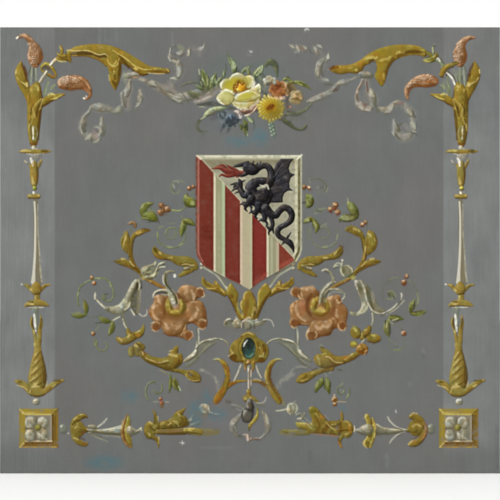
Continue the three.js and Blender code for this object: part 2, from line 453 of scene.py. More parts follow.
touch((90, 56, 22), [(376, 394, 3), (378, 387, 4), (375, 382, 2)], strength=0.7, soft=2.4)
touch((188, 182, 110), [(354, 378, 2), (361, 377.5, 3), (367, 379, 1.6)], [(371, 396, 1.4), (369.5, 405, 2)], [(366, 386, 2), (372, 389, 2)], strength=0.6)

touch((82, 60, 14), [(312, 396, 2), (324, 397, 4), (338, 397, 4.4), (347, 394, 2)], strength=0.6, patchy=0.1)
touch((98, 58, 18), [(163, 364, 3), (171, 365, 6), (181, 366.5, 3)], strength=0.6)
touch((82, 62, 14), [(243, 381, 2), (248, 378, 5), (254, 376, 3)], strength=0.55)
# On the right the painter left the ring out: a hooded leaf and a curl of white stand there.
model(SAGE, [(380, 381, 8), (386, 376, 9), (392, 368, 9)])
touch(CHALK, [(380, 384, 3), (384, 379, 3)], [(388, 366, 3), (391, 362, 4)], strength=0.7)
touch((84, 80, 62), [(385, 385, 1.5), (388, 379, 3), (393, 374, 2)], [(396, 366, 2), (400, 372, 1)], strength=0.7)
model(DULL_GOLD, [(420, 374, 5), (411, 372, 8), (401, 368, 9), (392, 361, 12), (388, 351, 10)])
touch((76, 56, 24), [(412, 367, 2), (403, 363, 4), (399, 356, 5), (397, 349, 3)], [(394, 345, 1.5), (385, 347, 2)], [(418, 377, 1.6), (410, 375, 1.6)], strength=0.7)
touch((120, 126, 92), [(402, 350, 3), (401, 334, 5), (404, 318, 5)], [(421, 360, 3), (424, 346, 5), (427, 332, 4)], [(393, 338, 3), (398, 326, 4), (402, 314, 4)], strength=0.45, soft=3)
touch((156, 164, 118), [(412, 362, 1.6), (417, 352, 2), (421, 340, 2)], [(424, 360, 1.4), (427, 350, 1.8)], [(390, 334, 1.4), (396, 326, 2)], strength=0.55)
touch((78, 80, 44), [(419, 348, 1.6), (422, 338, 2.4), (423, 330, 2)], [(398, 332, 1.4), (402, 322, 2.4), (405, 312, 2)], strength=0.55)
touch((176, 152, 70), [(400, 372, 2), (392, 364, 2.4), (386, 356, 1.5)], strength=0.6)
touch((70, 62, 44), [(402, 357, 3), (410, 349, 4), (416, 336, 3)], strength=0.75)
touch(CHALK, [(398, 355, 2), (405, 349, 3.4), (411, 340, 4), (414, 332, 3)])
touch(SAGE[3], [(408, 357, 1), (415, 348, 2), (418, 336, 1)], [(418, 360, 1), (423, 346, 2), (424, 334, 1)], strength=0.7)
touch((160, 168, 140), [(398, 338, 1), (401, 328, 2), (400, 318, 1)], [(428, 362, 1), (430, 352, 2)], strength=0.6)
side = 1

# The two upright columns of the frame: gold cups, rings and twisted cones threaded on a white rod,
# each turned round its own middle, so their lights stay on the left on both sides. The right column
# was set out less straight, so its lengths have middles of their own.
COLUMN_MIDDLE = -424

for side in (-1, 1):
    turned_about = COLUMN_MIDDLE - 3
    model(WHITE, [(-428, 205, 9), (-427.5, 205, 9)])
    model(WHITE, [(-424, 192, 26), (-425, 184, 16), (-426, 176, 9)], strength=0.45)
    model(COLUMN_GOLD, [(-458, 197, 2), (-445, 198, 8), (-425, 197, 9), (-405, 197.5, 8), (-393, 198, 2)])
    touch(PALE_GOLD, [(-452, 199, 2), (-444, 199.5, 4), (-435, 198.5, 2)], strength=0.8)
    touch(DEEP_GOLD, [(-412, 198.5, 3), (-406, 199, 5), (-400, 198.5, 2)], strength=0.8)
    touch(WHITE[3], [(-442, 193, 1.5), (-425, 192.5, 2), (-408, 193.5, 1.5)], strength=0.6)
    model(COLUMN_GOLD, [(-427, 172, 13), (-427, 160, 18), (-427, 142, 16), (-427, 132, 12)], [(-437, 172, 3), (-432, 164, 8)],
          [(-412, 181, 3), (-416, 173, 7), (-421, 163, 6)])
    model(WHITE, [(-446, 179, 2), (-442, 175, 4), (-437, 171, 1)])
    touch((92, 84, 60), [(-438, 184, 1), (-432, 178, 2)], [(-423, 178, 3), (-422, 160, 3)], [(-415, 176, 3), (-417, 168, 3)], strength=0.6)
    touch(CHALK, [(-434, 183, 4), (-431, 176, 5), (-430, 168, 2)])
    touch(DEEP_GOLD, [(-421, 165, 3), (-420, 150, 3), (-420.5, 133, 2)], strength=0.7)
    touch(PALE_GOLD, [(-431, 146, 2), (-429, 134, 5)], strength=0.6)
    model(((58, 56, 14), (84, 82, 20), (124, 124, 40), (176, 178, 80), (214, 216, 130)), [(-426, 124, 9), (-425.5, 124, 9)])
    model(WHITE, [(-428, 115, 6), (-427, 113, 8)])
    model(COLUMN_GOLD, [(-437, 108, 8), (-427, 107.5, 9), (-418, 108, 8)])
    touch(PALE_GOLD, [(-437, 110, 3), (-435, 110, 3)], [(-419, 110, 3), (-418, 110, 3)], strength=0.5)
    touch(DEEP_GOLD, [(-438, 103.5, 1.6), (-417, 103.5, 1.6)], strength=0.8)

    turned_about = COLUMN_MIDDLE - 1
    touch(WHITE[1], [(-424.5, 99, 9), (-424, 60, 9), (-422.5, 0, 12), (-421.5, -40, 16), (-422, -62, 21)], strength=0.95, patchy=0.1)
    touch((132, 118, 92), [(-424, 94, 3), (-423.5, 40, 4), (-423, 0, 4), (-421, -30, 6), (-420, -58, 7)], strength=0.6)
    touch(WHITE[3], [(-420, 92, 1), (-419.6, 40, 1.6), (-417, 0, 2), (-414.5, -40, 3), (-412, -62, 3)], strength=0.6)
    touch((218, 214, 198), [(-426.5, 97, 3), (-425, 60, 3.2), (-425.5, 0, 4), (-427.5, -40, 5), (-429, -64, 8)], strength=0.8, patchy=0)

    turned_about = COLUMN_MIDDLE
    model(COLUMN_GOLD, [(-424, -64, 4), (-423, -72, 16), (-423, -78, 23), (-422, -84, 14)],
          [(-449, -69, 2), (-441, -71, 7), (-433, -79, 8)], [(-395, -69, 3), (-405, -71, 7), (-413, -79, 7)],
          [(-421, -86, 12), (-421, -100, 12)])
    touch(CHALK, [(-452, -68, 3), (-450, -69, 1)], strength=0.7)
    touch(PALE_GOLD, [(-434, -79, 5), (-432, -81, 3)], [(-425, -92, 3), (-425, -97, 2)], strength=0.7)
    touch(DEEP_GOLD, [(-426, -88, 3), (-416, -87, 3)], [(-438, -73, 2), (-434, -70, 1)], [(-412, -76, 1), (-404, -71, 3)], strength=0.5)
    model(WHITE, [(-438, -115, 3), (-424, -115.5, 4), (-408, -115, 3)], strength=0.7)
    model(COLUMN_GOLD, [(-446, -112, 3), (-437, -107, 11), (-422, -105, 13), (-408, -107, 11), (-398, -111, 3)])
    touch(PALE_GOLD, [(-440, -107, 2), (-434, -108, 4), (-428, -108, 2)], strength=0.8)
    touch(DEEP_GOLD, [(-442, -112, 2), (-430, -111.5, 1.5)], [(-440, -102, 1), (-430, -103, 3)], strength=0.6)

    turned_about = COLUMN_MIDDLE + 3
    model(SAGE, [(-424, -118, 14), (-424, -128, 10), (-424, -140, 12), (-423, -160, 8)], strength=0.55)
    model(COLUMN_GOLD, [(-432, -133, 2), (-433, -145, 6), (-430, -157, 4), (-427, -166, 6), (-424, -180, 8), (-421, -192, 13)],
          [(-414, -131, 3), (-413, -145, 7), (-416, -160, 9), (-417, -178, 10), (-420, -192, 13)])
    touch(DEEP_GOLD, [(-430, -136, 2), (-431, -148, 4), (-428, -156, 2)], [(-413, -138, 4), (-415, -156, 3)], strength=0.7)
    touch(CHALK, [(-427, -128, 2.5), (-426, -140, 4), (-424, -161, 3)])
    touch(PALE_GOLD, [(-428, -162, 3), (-427, -166, 2)], [(-426, -187, 4), (-426, -192, 3)], strength=0.6)

    model(COLUMN_GOLD, [(-420, -194, 14), (-420, -206, 17), (-420, -222, 25), (-420, -240, 33), (-421, -256, 37), (-421, -268, 34)])
    for turn in range(5):
        top = -199 - 15 * turn
        wide = 9 + 2.3 * turn
        touch(DEEP_GOLD, [(-419 - wide, top - 22, 1), (-421, top - 12, 3), (-419 + wide * 0.7, top - 2, 1)], strength=0.5)
        touch(PALE_GOLD, [(-419 - wide, top - 17, 1), (-424, top - 9, 4), (-420, top - 4, 1)], strength=0.55)
    touch(DEEP_GOLD, [(-412, -205, 2), (-407, -228, 4), (-405, -248, 8), (-405, -264, 7)], strength=0.55)
    model(COLUMN_GOLD, [(-465, -262, 4), (-456, -264, 11), (-444, -272, 14), (-434, -281, 12)],
          [(-368, -260, 4), (-380, -264, 10), (-394, -273, 13), (-404, -281, 12)],
          shape([(-446, -268), (-436, -276), (-422, -270), (-408, -277), (-398, -268), (-394, -276),
                 (-404, -288), (-422, -294), (-438, -288), (-447, -277)], crown=9, smooth=True))
    touch(DEEP_GOLD, [(-457, -263, 5), (-452, -264, 3)], [(-434, -290, 3), (-420, -292.5, 4), (-406, -289, 3)],
          [(-388, -261, 3), (-376, -261, 5)], strength=0.6)
    touch(PALE_GOLD, [(-462, -270, 1), (-448, -274, 3), (-440, -280, 1)], [(-436, -284, 2), (-433, -275, 3), (-426, -273, 2)],
          [(-426, -266, 2), (-424, -272, 4), (-418, -272, 2)], [(-401, -262, 1), (-403, -273, 2)],
          [(-390, -272, 4), (-384, -269, 2)], strength=0.65)
    turned_about = COLUMN_MIDDLE + 1
    model(WHITE, [(-423, -303, 14), (-422.5, -303, 14)])
    turned_about = None

# The corner boxes at the columns' feet: square gilt frames, mitred and moulded, each round a white
# four-petalled rosette with a yellow heart on a grey-pink field.
BOX_MIDDLE = -420
ROSETTE = ((88, 84, 62), (112, 108, 86), (146, 141, 118), (176, 171, 148), (204, 199, 178))


for side in (-1, 1):
    turned_about = BOX_MIDDLE
    left, right, low, high = -457, -379, -395, -317
    rim = 12.5
    inner_left, inner_right, inner_low, inner_high = left + rim, right - rim, low + rim, high - rim
    touch((134, 125, 106), shape([(left + 3, low + 3), (left + 3, high - 3), (right - 3, high - 3), (right - 3, low + 3)]), strength=1)
    touch((150, 130, 50), shape([(left, low), (left, high), (inner_left, inner_high), (inner_left, inner_low)]), strength=1)
    touch((112, 86, 30), shape([(right, low), (right, high), (inner_right, inner_high), (inner_right, inner_low)]), strength=1)
    touch((148, 130, 50), shape([(left, high), (right, high), (inner_right, inner_high), (inner_left, inner_high)]), strength=1)
    touch((118, 86, 34), shape([(left, low), (right, low), (inner_right, inner_low), (inner_left, inner_low)]), strength=1)
    touch((126, 110, 42), [(left + 2, low + 4, 3), (left + 2, high - 4, 3)], strength=0.5)
    touch((186, 168, 84), [(inner_left - 5, inner_high + 3.5, 5), (-420, inner_high + 3.5, 5)], strength=0.8)
    touch((160, 134, 54), [(-424, inner_high + 3.5, 5), (inner_right + 5, inner_high + 3.5, 4)], strength=0.8)
    touch(PALE_GOLD, [(inner_left, inner_high + 1, 1.8), (inner_right, inner_high + 1, 1.8)], strength=0.8)
    touch((86, 66, 24), [(inner_right + 1, inner_low, 2.6), (inner_right + 1, inner_high, 2.6)], strength=0.8)
    touch((150, 122, 44), [(right - 2, low + 6, 3), (right - 2, high - 6, 3)], strength=0.5)
    touch((96, 68, 24), [(inner_left + 2, inner_low - 3, 3), (inner_right - 2, inner_low - 3, 3)], strength=0.7)
    touch((222, 206, 170), [(inner_left, inner_low + 0.6, 2.2), (inner_right, inner_low + 0.6, 2.2)], strength=0.85)
    touch((186, 168, 92), [(left + 3, low + 1.4, 1.8), (right - 4, low + 1.4, 2.2)], strength=0.7)
    touch(PALE_GOLD, [(left + 1, high - 1, 2), (left + 8, high - 8, 3)], [(left + 1, low + 1, 2), (left + 9, low + 9, 3)], strength=0.7)
    touch((92, 70, 24), [(right, high, 1.6), (inner_right, inner_high, 1.6)], strength=0.7)
    touch((112, 100, 76), [(inner_left + 1, inner_low + 2, 2), (inner_left + 1, inner_high - 1, 2.4)], strength=0.6)
    touch((176, 168, 148), [(inner_right - 1.5, inner_low + 2, 2), (inner_right - 1.5, inner_high - 2, 2)], strength=0.6)
    petals = ((-434, -345, 11.5, 13), (-410, -345, 11, 12.5), (-435, -370, 10.5, 12.5), (-411, -368, 11.5, 12.5))
    for x, z, wide, tall in petals:
        touch((98, 90, 68), oval(x + 1.5, z - 1.5, wide + 1, tall + 1, 5), strength=0.5)
    for x, z, wide, tall in petals:
        model(ROSETTE, oval(x, z, wide, tall, 8), rough=0.2)
        touch((104, 94, 70), [(x, z, 2.5), (-421 + (x + 421) * 0.25, -356 + (z + 356) * 0.25, 6)], strength=0.6, soft=3)
    touch((118, 106, 78), oval(-421, -355.5, 11, 10, 4), strength=0.6, soft=4)
    touch((96, 88, 66), [(-423, -333, 2), (-422, -343, 4)], [(-447, -357, 2), (-434, -357, 3.4)], [(-424, -380, 2), (-423, -369, 4)],
          [(-402, -356, 2), (-408, -357, 3)], [(-428, -337, 1.6), (-426, -344, 2)], [(-414, -378, 1.6), (-414, -372, 2)], strength=0.6, soft=2.4)
    touch((122, 126, 106), [(-400, -344, 3), (-400.5, -358, 5), (-401, -376, 4)], strength=0.6, soft=3)
    touch(ROSETTE[4], [(-444, -337, 3), (-438, -335.5, 4), (-431, -336, 2)], [(-443.5, -341, 3), (-443.5, -350, 3)], [(-416, -338, 3), (-410, -336, 3), (-406, -341, 4), (-405, -348, 2)],
          [(-441, -361, 3), (-441.5, -373, 3)], [(-434, -361, 2), (-431, -366, 2)], [(-419, -366, 3), (-414, -371, 4), (-409, -363, 3)], [(-406, -376, 2), (-402, -378, 2)], strength=0.5)
    model(((66, 62, 24), (92, 86, 32), (126, 118, 46), (150, 142, 64), (172, 164, 90)), ball(-419.5, -354.5, 12.5), strength=0.85)
    turned_about = None

# The lower rail between the boxes: on the same white rod, from the corner inwards, a pearl, a split
# gold bud, a shallow gold dish seen edge-on, a knot of leaves and a long acanthus spray.
DULL_WHITE = ((82, 79, 58), (106, 102, 80), (138, 133, 110), (166, 161, 138), (196, 190, 168))
PEARL = (208, 203, 184)
SILVER = ((76, 74, 52), (98, 95, 72), (128, 124, 100), (156, 152, 126), (198, 194, 168))
OLIVE_GOLD = ((88, 72, 24), (112, 96, 38), (134, 118, 48), (156, 142, 66), (196, 184, 110))
BROWN = ((76, 50, 22), (104, 74, 34), (132, 98, 52), (164, 128, 80), (206, 174, 128))

side = 1
model(SAGE, oval(-369, -357, 8, 9.5, 8), strength=0.55)
touch((84, 88, 70), [(-374, -365, 2), (-368, -367, 3), (-362, -364, 2)], strength=0.5)
touch(PEARL, ball(-373, -352, 4), strength=0.9)
touch((206, 190, 170), ball(-359, -366, 3), strength=0.6)
model(DULL_GOLD, oval(-340, -358, 15, 17, 13), [(-350, -352, 10), (-346, -342, 13), (-336, -334, 13), (-327, -331, 9), (-322, -334, 5)],
      [(-349, -366, 10), (-345, -376, 12), (-335, -385, 12), (-325, -389, 8), (-321, -386, 5)],
      [(-336, -358, 20), (-326, -359, 13), (-317, -360, 4)])
touch(DEEP_GOLD, [(-351, -350, 1.5), (-344, -342, 3), (-336, -341, 1.5)], [(-325, -360, 3), (-320, -362, 3)],
      [(-343, -378, 1.5), (-333, -376, 3), (-325, -380, 2)], [(-328, -335, 4), (-323, -333, 3)], strength=0.55)
touch(RUST, [(-330, -388, 4), (-323, -387, 4)], [(-331, -364, 5), (-325, -364, 3)], strength=0.5)
touch(PALE_GOLD, [(-347, -338, 3), (-342, -334, 3)], [(-346, -356, 2), (-342, -352, 3), (-340, -346, 2)],
      [(-348, -375, 2), (-340, -378, 3)], [(-334, -329, 2), (-330, -328, 2)], strength=0.65)
model(SILVER, [(-321, -359, 4), (-300, -362, 7), (-280, -362, 11), (-262, -361, 17), (-252, -361, 21)])
touch(PEARL, [(-296, -359, 1), (-272, -357, 3), (-254, -352, 5)], strength=0.6)
touch((86, 80, 50), [(-312, -363, 3), (-290, -366, 3), (-254, -368, 4)], strength=0.75)
touch((156, 150, 124), [(-290, -371, 1), (-256, -373, 3)], strength=0.5)
model(SILVER, [(-317, -352, 5), (-308, -353, 8), (-300, -356, 3)])
touch((84, 82, 52), [(-308, -360, 4), (-300, -364, 4)], strength=0.6)
touch(PEARL, [(-300, -353, 2), (-290, -346, 3), (-282, -337, 2)], strength=0.8)
touch(SILVER[3], [(-318, -364, 2), (-300, -374, 3), (-280, -383, 1)], strength=0.7)
touch((96, 88, 52), [(-316, -366, 2), (-300, -371, 3), (-290, -376, 1)], strength=0.6)
model(OLIVE_GOLD, [(-239, -331, 4), (-240, -342, 12), (-242, -362, 12), (-239, -380, 14), (-233, -392, 5)])
model(BROWN, [(-240, -328, 2), (-246, -341, 5), (-250, -358, 7), (-249, -374, 7), (-242, -388, 6), (-234, -395, 3)])
touch(PALE_GOLD, [(-252, -348, 1.5), (-253, -360, 1), (-251, -340, 1)], strength=0.5)
model(DULL_WHITE, [(-235, -360, 17), (-232, -361, 15), (-225, -362, 8), (-218, -361, 5), (-214, -358, 7)])
touch((82, 78, 52), [(-236, -372, 3), (-226, -368, 3), (-219, -364, 4)], strength=0.6)
touch(PEARL, [(-237, -353, 3), (-237, -359, 3)], [(-213, -355, 2.5), (-213, -360, 3)])
model(DULL_GOLD, oval(-196, -360, 12, 18, 11), [(-186, -360, 16), (-184, -340, 9), (-186, -326, 5), (-190, -319, 2)],
      [(-190, -372, 10), (-180, -382, 7), (-178, -396, 2)])
touch(DEEP_GOLD, [(-196, -352, 2), (-190, -358, 4), (-182, -362, 4)], [(-186, -330, 2), (-186, -346, 4)],
      [(-194, -376, 3), (-186, -379, 4)], [(-206, -366, 2), (-200, -376, 3)], strength=0.6)
touch(PALE_GOLD, [(-196, -344, 4), (-192, -347, 3)], [(-198, -366, 4), (-196, -370, 3)], [(-180, -332, 1.5), (-179, -348, 2)],
      [(-178, -374, 2), (-178, -386, 2)], strength=0.65)
model(DULL_GOLD, [(-181, -352, 10), (-170, -350, 17), (-158, -348, 18), (-146, -345, 24), (-134, -342, 26), (-124, -346, 14)],
      [(-148, -342, 14), (-139, -330, 16), (-131, -322, 8), (-125, -316, 3)],
      [(-180, -363, 10), (-155, -363, 13), (-128, -362, 14)])
touch((122, 96, 70), [(-178, -362, 4), (-160, -362, 6), (-140, -361, 8), (-122, -358, 6)], strength=0.6)
touch(DEEP_GOLD, [(-180, -367, 3), (-150, -367, 4), (-120, -366, 5), (-100, -368, 2)], [(-177, -346, 4), (-178, -356, 4)],
      [(-160, -344, 1.5), (-152, -352, 3), (-156, -358, 2)], [(-138, -352, 2), (-130, -340, 3), (-134, -334, 1)], strength=0.65)
touch(PALE_GOLD, [(-174, -348, 3), (-168, -346, 4)], [(-148, -342, 3), (-142, -344, 5), (-138, -352, 2)], [(-140, -326, 3), (-136, -330, 2)],
      [(-160, -350, 2), (-154, -346, 3)], strength=0.6)
model(OLIVE_GOLD, [(-124, -360, 10), (-108, -362, 14), (-96, -364, 14)])
touch((122, 108, 52), [(-104, -363, 13), (-88, -364, 14), (-74, -364, 13), (-60, -363, 8)], strength=0.7, soft=4)
touch((150, 142, 84), [(-100, -358, 3), (-84, -359, 4), (-68, -360, 2)], strength=0.4, soft=3)
touch(DEEP_GOLD, [(-122, -364, 4), (-104, -366, 3), (-92, -368, 1)], strength=0.55)
model(SILVER, [(-118, -342, 5), (-112, -338, 7), (-109, -331, 6)], [(-112, -350, 5), (-101, -346, 8), (-96, -342, 3)], strength=0.75)
touch(PEARL, ball(-114, -339, 5), strength=0.7)
touch((92, 86, 60), [(-118, -345, 1), (-108, -343, 2), (-98, -338, 3)], strength=0.6)

# On the right the painter gave the same things other folds, and the spray a taller leaf.
model(SAGE, oval(367, -357, 8, 9.5, 8), strength=0.6)
touch((84, 88, 70), [(361, -365, 2), (367, -367, 3), (374, -364, 2)], strength=0.5)
touch(PEARL, ball(364, -352, 3.4), strength=0.8)
model(DULL_GOLD, oval(337, -355, 16, 17, 13), [(350, -348, 10), (346, -340, 13), (337, -334, 13), (327, -333, 10)],
      [(352, -362, 9), (348, -376, 12), (337, -386, 13), (326, -388, 10)], [(334, -358, 20), (324, -359, 12), (317, -361, 4)])
model(BROWN, [(353, -344, 4), (357, -356, 7), (355, -370, 7), (348, -380, 4)], strength=0.8)
touch((96, 72, 18), ball(329, -333, 6), [(346, -342, 2), (338, -342, 3), (330, -341, 2)], [(344, -370, 3), (334, -376, 3), (326, -377, 2)], strength=0.6, soft=2)
touch(PALE_GOLD, [(338, -327, 3), (331, -326, 3), (325, -331, 2)], [(330, -352, 4), (338, -348, 4), (345, -352, 3)], [(334, -380, 2), (328, -382, 3), (322, -388, 3)], strength=0.6)
touch((184, 112, 44), ball(333, -383, 6), strength=0.6, soft=3)
model(SILVER, [(318, -360, 4), (300, -361, 7), (280, -362, 11), (264, -360, 17), (252, -358, 24)], strength=0.9)
touch((206, 202, 172), [(304, -359, 2), (288, -358, 3), (270, -355, 2.4), (258, -348, 2)], strength=0.7)
touch((92, 86, 58), [(312, -363, 2), (290, -367, 2.6), (264, -370, 3), (254, -371, 3)], strength=0.7)
touch((200, 196, 176), [(280, -333, 1.4), (284, -341, 2.4), (293, -350, 2), (304, -356, 1.6), (318, -359, 1.4)],
      [(284, -386, 1.2), (289, -378, 2.4), (300, -369, 2), (314, -363, 1.6)], strength=0.75)
touch((86, 82, 52), [(296, -355, 1.5), (308, -359, 2)], [(298, -373, 1.5), (310, -366, 2)], strength=0.6)
model(OLIVE_GOLD, [(239, -333, 11), (243, -346, 12), (244, -362, 12), (243, -376, 12), (239, -386, 17)])
model(OLIVE_GOLD, [(250, -336, 4), (253, -350, 7), (253, -366, 8), (250, -380, 7), (245, -394, 5)])
touch((78, 62, 20), [(247, -342, 2), (248, -356, 3), (247, -372, 3)], ball(239, -385, 7), [(243, -350, 5), (243, -372, 5)], strength=0.65, soft=2.4)
touch(PALE_GOLD, [(237, -329, 4), (234, -336, 2)], [(254, -346, 2), (255.5, -360, 2.6), (253, -374, 2)], [(233, -380, 2), (232, -388, 3), (238, -395, 2)], strength=0.6)
model(DULL_WHITE, [(241, -358, 22), (234, -359, 19), (226, -360, 11), (218, -360, 5)], strength=0.85)
touch(PEARL, [(236, -351, 4), (230, -355, 3)], strength=0.65)
touch((82, 78, 52), [(240, -370, 4), (230, -368, 4), (221, -364, 3)], strength=0.6)
touch((216, 206, 170), [(213, -352, 2), (213, -358, 4), (212, -363, 2)], strength=0.8)
model(DULL_GOLD, oval(198, -358, 14, 18, 11), [(188, -358, 16), (188, -344, 9), (189, -332, 6), (188, -324, 3)], [(190, -370, 9), (184, -382, 7), (188, -395, 3)])
touch((90, 60, 18), [(211, -359, 2), (196, -360, 2.6), (184, -361, 2)], [(183, -340, 3), (186, -354, 5), (184, -368, 4)], [(181, -376, 2), (184, -386, 3)], strength=0.7)
touch((172, 112, 40), [(186, -330, 3), (187, -322, 3)], [(182, -384, 3), (187, -394, 3)], [(202, -352, 4), (206, -364, 4)], strength=0.55)
touch(PALE_GOLD, [(190, -342, 2), (198, -343, 3), (204, -350, 3)], [(178, -350, 2), (176, -358, 3), (180, -363, 2)], [(196, -368, 3), (202, -366, 2)], strength=0.6)
touch((150, 160, 132), [(170, -361, 3), (176, -366, 4)], strength=0.6)
model(DULL_GOLD, shape([(122, -320), (128, -312), (138, -315), (148, -327), (158, -339), (168, -350), (180, -360), (184, -370), (160, -368), (134, -366), (116, -366),
                   (122, -352), (128, -342), (126, -330)], crown=11, smooth=True), rough=0.3)
model(DULL_GOLD, [(183, -345, 8), (172, -347, 13), (160, -348, 12)])
touch((124, 128, 40), oval(131, -324, 8, 10, 5, -30), [(122, -352, 6), (128, -352, 9)], strength=0.55, soft=4)
touch((96, 64, 20), [(164, -342, 2), (160, -352, 8), (152, -360, 8)], [(138, -338, 3), (144, -350, 4), (140, -360, 4)], [(186, -352, 3), (172, -356, 3)], strength=0.65, soft=3)
touch((168, 108, 40), oval(150, -333, 5, 4, 3), [(126, -366, 2), (150, -369, 3), (178, -371, 3)], strength=0.55)
touch(PALE_GOLD, [(124, -316, 3), (129, -313, 3)], [(136, -326, 2), (140, -332, 3)], [(156, -342, 1.5), (164, -352, 2), (174, -358, 1.6)], [(126, -346, 3), (126, -354, 4)],
      [(168, -349, 2), (176, -347, 3)], strength=0.6)
touch((152, 138, 120), [(162, -338, 2), (154, -330, 2)], strength=0.5)
model(OLIVE_GOLD, [(132, -360, 9), (118, -352, 14), (104, -350, 12), (98, -346, 5)])
touch((128, 116, 54), [(128, -364, 8), (108, -364, 11), (92, -365, 12), (78, -364, 12), (66, -364, 6)], strength=0.75, soft=4)
touch((88, 80, 30), [(70, -361, 4), (78, -363, 7)], [(90, -368, 3), (106, -369, 3), (124, -368, 3)], [(104, -356, 2), (116, -358, 3)], strength=0.6, soft=3)
touch((172, 164, 92), [(112, -346, 2), (106, -348, 3)], [(70, -360, 2), (84, -361, 3), (98, -360, 2)], strength=0.5, soft=2)
model(SILVER, [(98, -330, 4), (104, -327, 6), (110, -332, 6), (106, -338, 5), (99, -338, 3)], [(114, -326, 3), (111, -336, 4)], strength=0.7)
touch(PEARL, [(100, -337, 2), (106, -336, 3)], strength=0.6)
touch((150, 148, 130), [(104, -338, 2), (116, -346, 2.4), (128, -356, 2)], [(112, -334, 1.6), (122, -342, 2), (130, -350, 1.6)], strength=0.55)

# Small pale blossoms hang between the rail and the arabesque, with a white twig each.
touch((128, 106, 84), oval(-90, -326, 12, 9, 5), strength=0.7, soft=4)
model(((96, 90, 70), (120, 114, 92), (146, 140, 116), (168, 162, 138), (198, 192, 168)), oval(-87, -317, 12, 10, 8), soft=2, rough=0.3, strength=0.85)
touch((212, 206, 184), [(-97, -316, 1.5), (-92, -309, 2), (-84, -308, 2)], [(-79, -312, 1.5), (-77, -322, 2)], [(-92, -321, 1.6), (-86, -324, 1.6)], strength=0.65)
touch((112, 96, 68), [(-90, -314, 2), (-84, -318, 2)], [(-96, -326, 2), (-84, -328, 2)], strength=0.5)
touch((206, 200, 176), [(-77, -323, 1.6), (-66, -327, 2), (-54, -328, 1.2)], strength=0.75)
touch((84, 80, 60), [(-80, -328, 1), (-70, -330, 2), (-60, -331, 1)], strength=0.6)
model(((96, 94, 72), (120, 118, 94), (144, 142, 116), (166, 164, 138), (196, 194, 168)), oval(88, -317, 11, 12, 8), soft=2, rough=0.3, strength=0.85)
touch((204, 202, 174), [(90, -306, 1.5), (97, -309, 2), (99, -318, 2), (95, -326, 1.6)], [(80, -312, 1.4), (80, -322, 2), (85, -328, 1.6)], [(90, -312, 1.4), (92, -320, 1.8)], strength=0.6)
touch((104, 98, 72), [(84, -310, 2), (86, -320, 2)], [(94, -314, 1.6), (93, -324, 2)], strength=0.5)
touch((204, 202, 172), [(57, -321, 1.4), (68, -320, 2.4), (79, -317, 1.6)], strength=0.7)
touch((176, 174, 148), [(92, -304, 1.4), (96, -302, 2)], strength=0.6)

# The arabesque on either side of the shield: gold branches and leaves, silver trumpet leaves and thin
# green tendrils with berries, all springing from a knot and wound about one great open flower.
GREEN = ((54, 54, 20), (76, 79, 33), (98, 101, 48), (116, 120, 64), (138, 141, 88))
TENDRIL = ((74, 78, 46), (90, 96, 60), (108, 115, 75), (128, 135, 92), (152, 157, 112))
BERRY = ((70, 44, 22), (98, 66, 36), (126, 90, 56), (150, 112, 78), (186, 154, 124))
COPPER = ((80, 46, 16), (107, 71, 34), (135, 99, 59), (158, 121, 81), (192, 160, 120))
COPPER_LIGHT = (210, 180, 144)


def leaf(start, end, width, bend=0.0):
    """The line of a leaf from its stalk to its tip, bent sideways by a share of its length."""
    run_x, run_z = end[0] - start[0], end[1] - start[1]
    path = []
    for t, full in ((0, 0.25), (0.25, 0.85), (0.5, 1.0), (0.78, 0.62), (1, 0.08)):
        off = bend * 4 * t * (1 - t)
        path.append((start[0] + run_x * t - run_z * off, start[1] + run_z * t + run_x * off, width * full))
    return path


def coil(x, z, first_radius, last_radius, first_angle, last_angle, width):
    """A winding tendril about x, z, its angles in degrees from the right, counted upwards."""
    path = []
    for t in np.linspace(0, 1, max(4, int(abs(last_angle - first_angle) / 40) + 1)):
        angle = math.radians(first_angle + (last_angle - first_angle) * t)
        radius = first_radius + (last_radius - first_radius) * t
        path.append((x + radius * math.cos(angle), z + radius * math.sin(angle), width * (1 - 0.4 * t)))
    return path


def green_leaf(start, end, width, bend=0.0, tones=GREEN):
    model(tones, leaf(start, end, width, bend), soft=1.6)
    touch(tones[0], leaf(start, end, width * 0.16, bend), strength=0.4)


side = 1
model(TENDRIL, [(-338, -112, 3), (-340, -90, 3.4), (-334, -73, 3.4), (-321, -63, 3.2), (-304, -57, 3.2), (-290, -56, 3.2),
                (-277, -63, 3.6), (-270, -76, 3.6), (-268, -90, 3.4), (-273, -100, 3), (-282, -102, 3), (-290, -96, 3)],
      strength=0.9)
touch(TENDRIL[4], [(-300, -57, 2), (-288, -56.5, 2)], [(-276, -64, 2), (-274, -72, 3)], [(-341, -92, 2), (-338, -84, 2)], strength=0.7)
model(GREEN, oval(-287, -94, 5, 7, 4), strength=0.5)
touch(GREEN[0], [(-286, -88, 2), (-280, -87, 2)], strength=0.5)
green_leaf((-325, -130), (-329, -98), 10, -0.12)
green_leaf((-322, -128), (-354, -129), 10, 0.1)
touch(GREEN[4], [(-350, -127, 2), (-340, -125, 4), (-334, -126, 2)], [(-329, -105, 2), (-328, -114, 2)], strength=0.5)
touch(TENDRIL[1], [(-326, -128, 1.6), (-318, -134, 1.6), (-304, -133, 1.6), (-290, -128, 1.4)], strength=0.5)
green_leaf((-274, -143), (-298, -133), 12, 0.08)
touch(GREEN[1], [(-306, -146, 1.5), (-290, -144, 2.5), (-272, -143, 2)], strength=0.7)
green_leaf((-270, -143), (-279, -171), 12, 0.1)
touch(TENDRIL[3], [(-272, -142, 2), (-264, -136, 2.5), (-256, -133, 1.5)], [(-298, -152, 1.6), (-305, -160, 1.6)], strength=0.7)
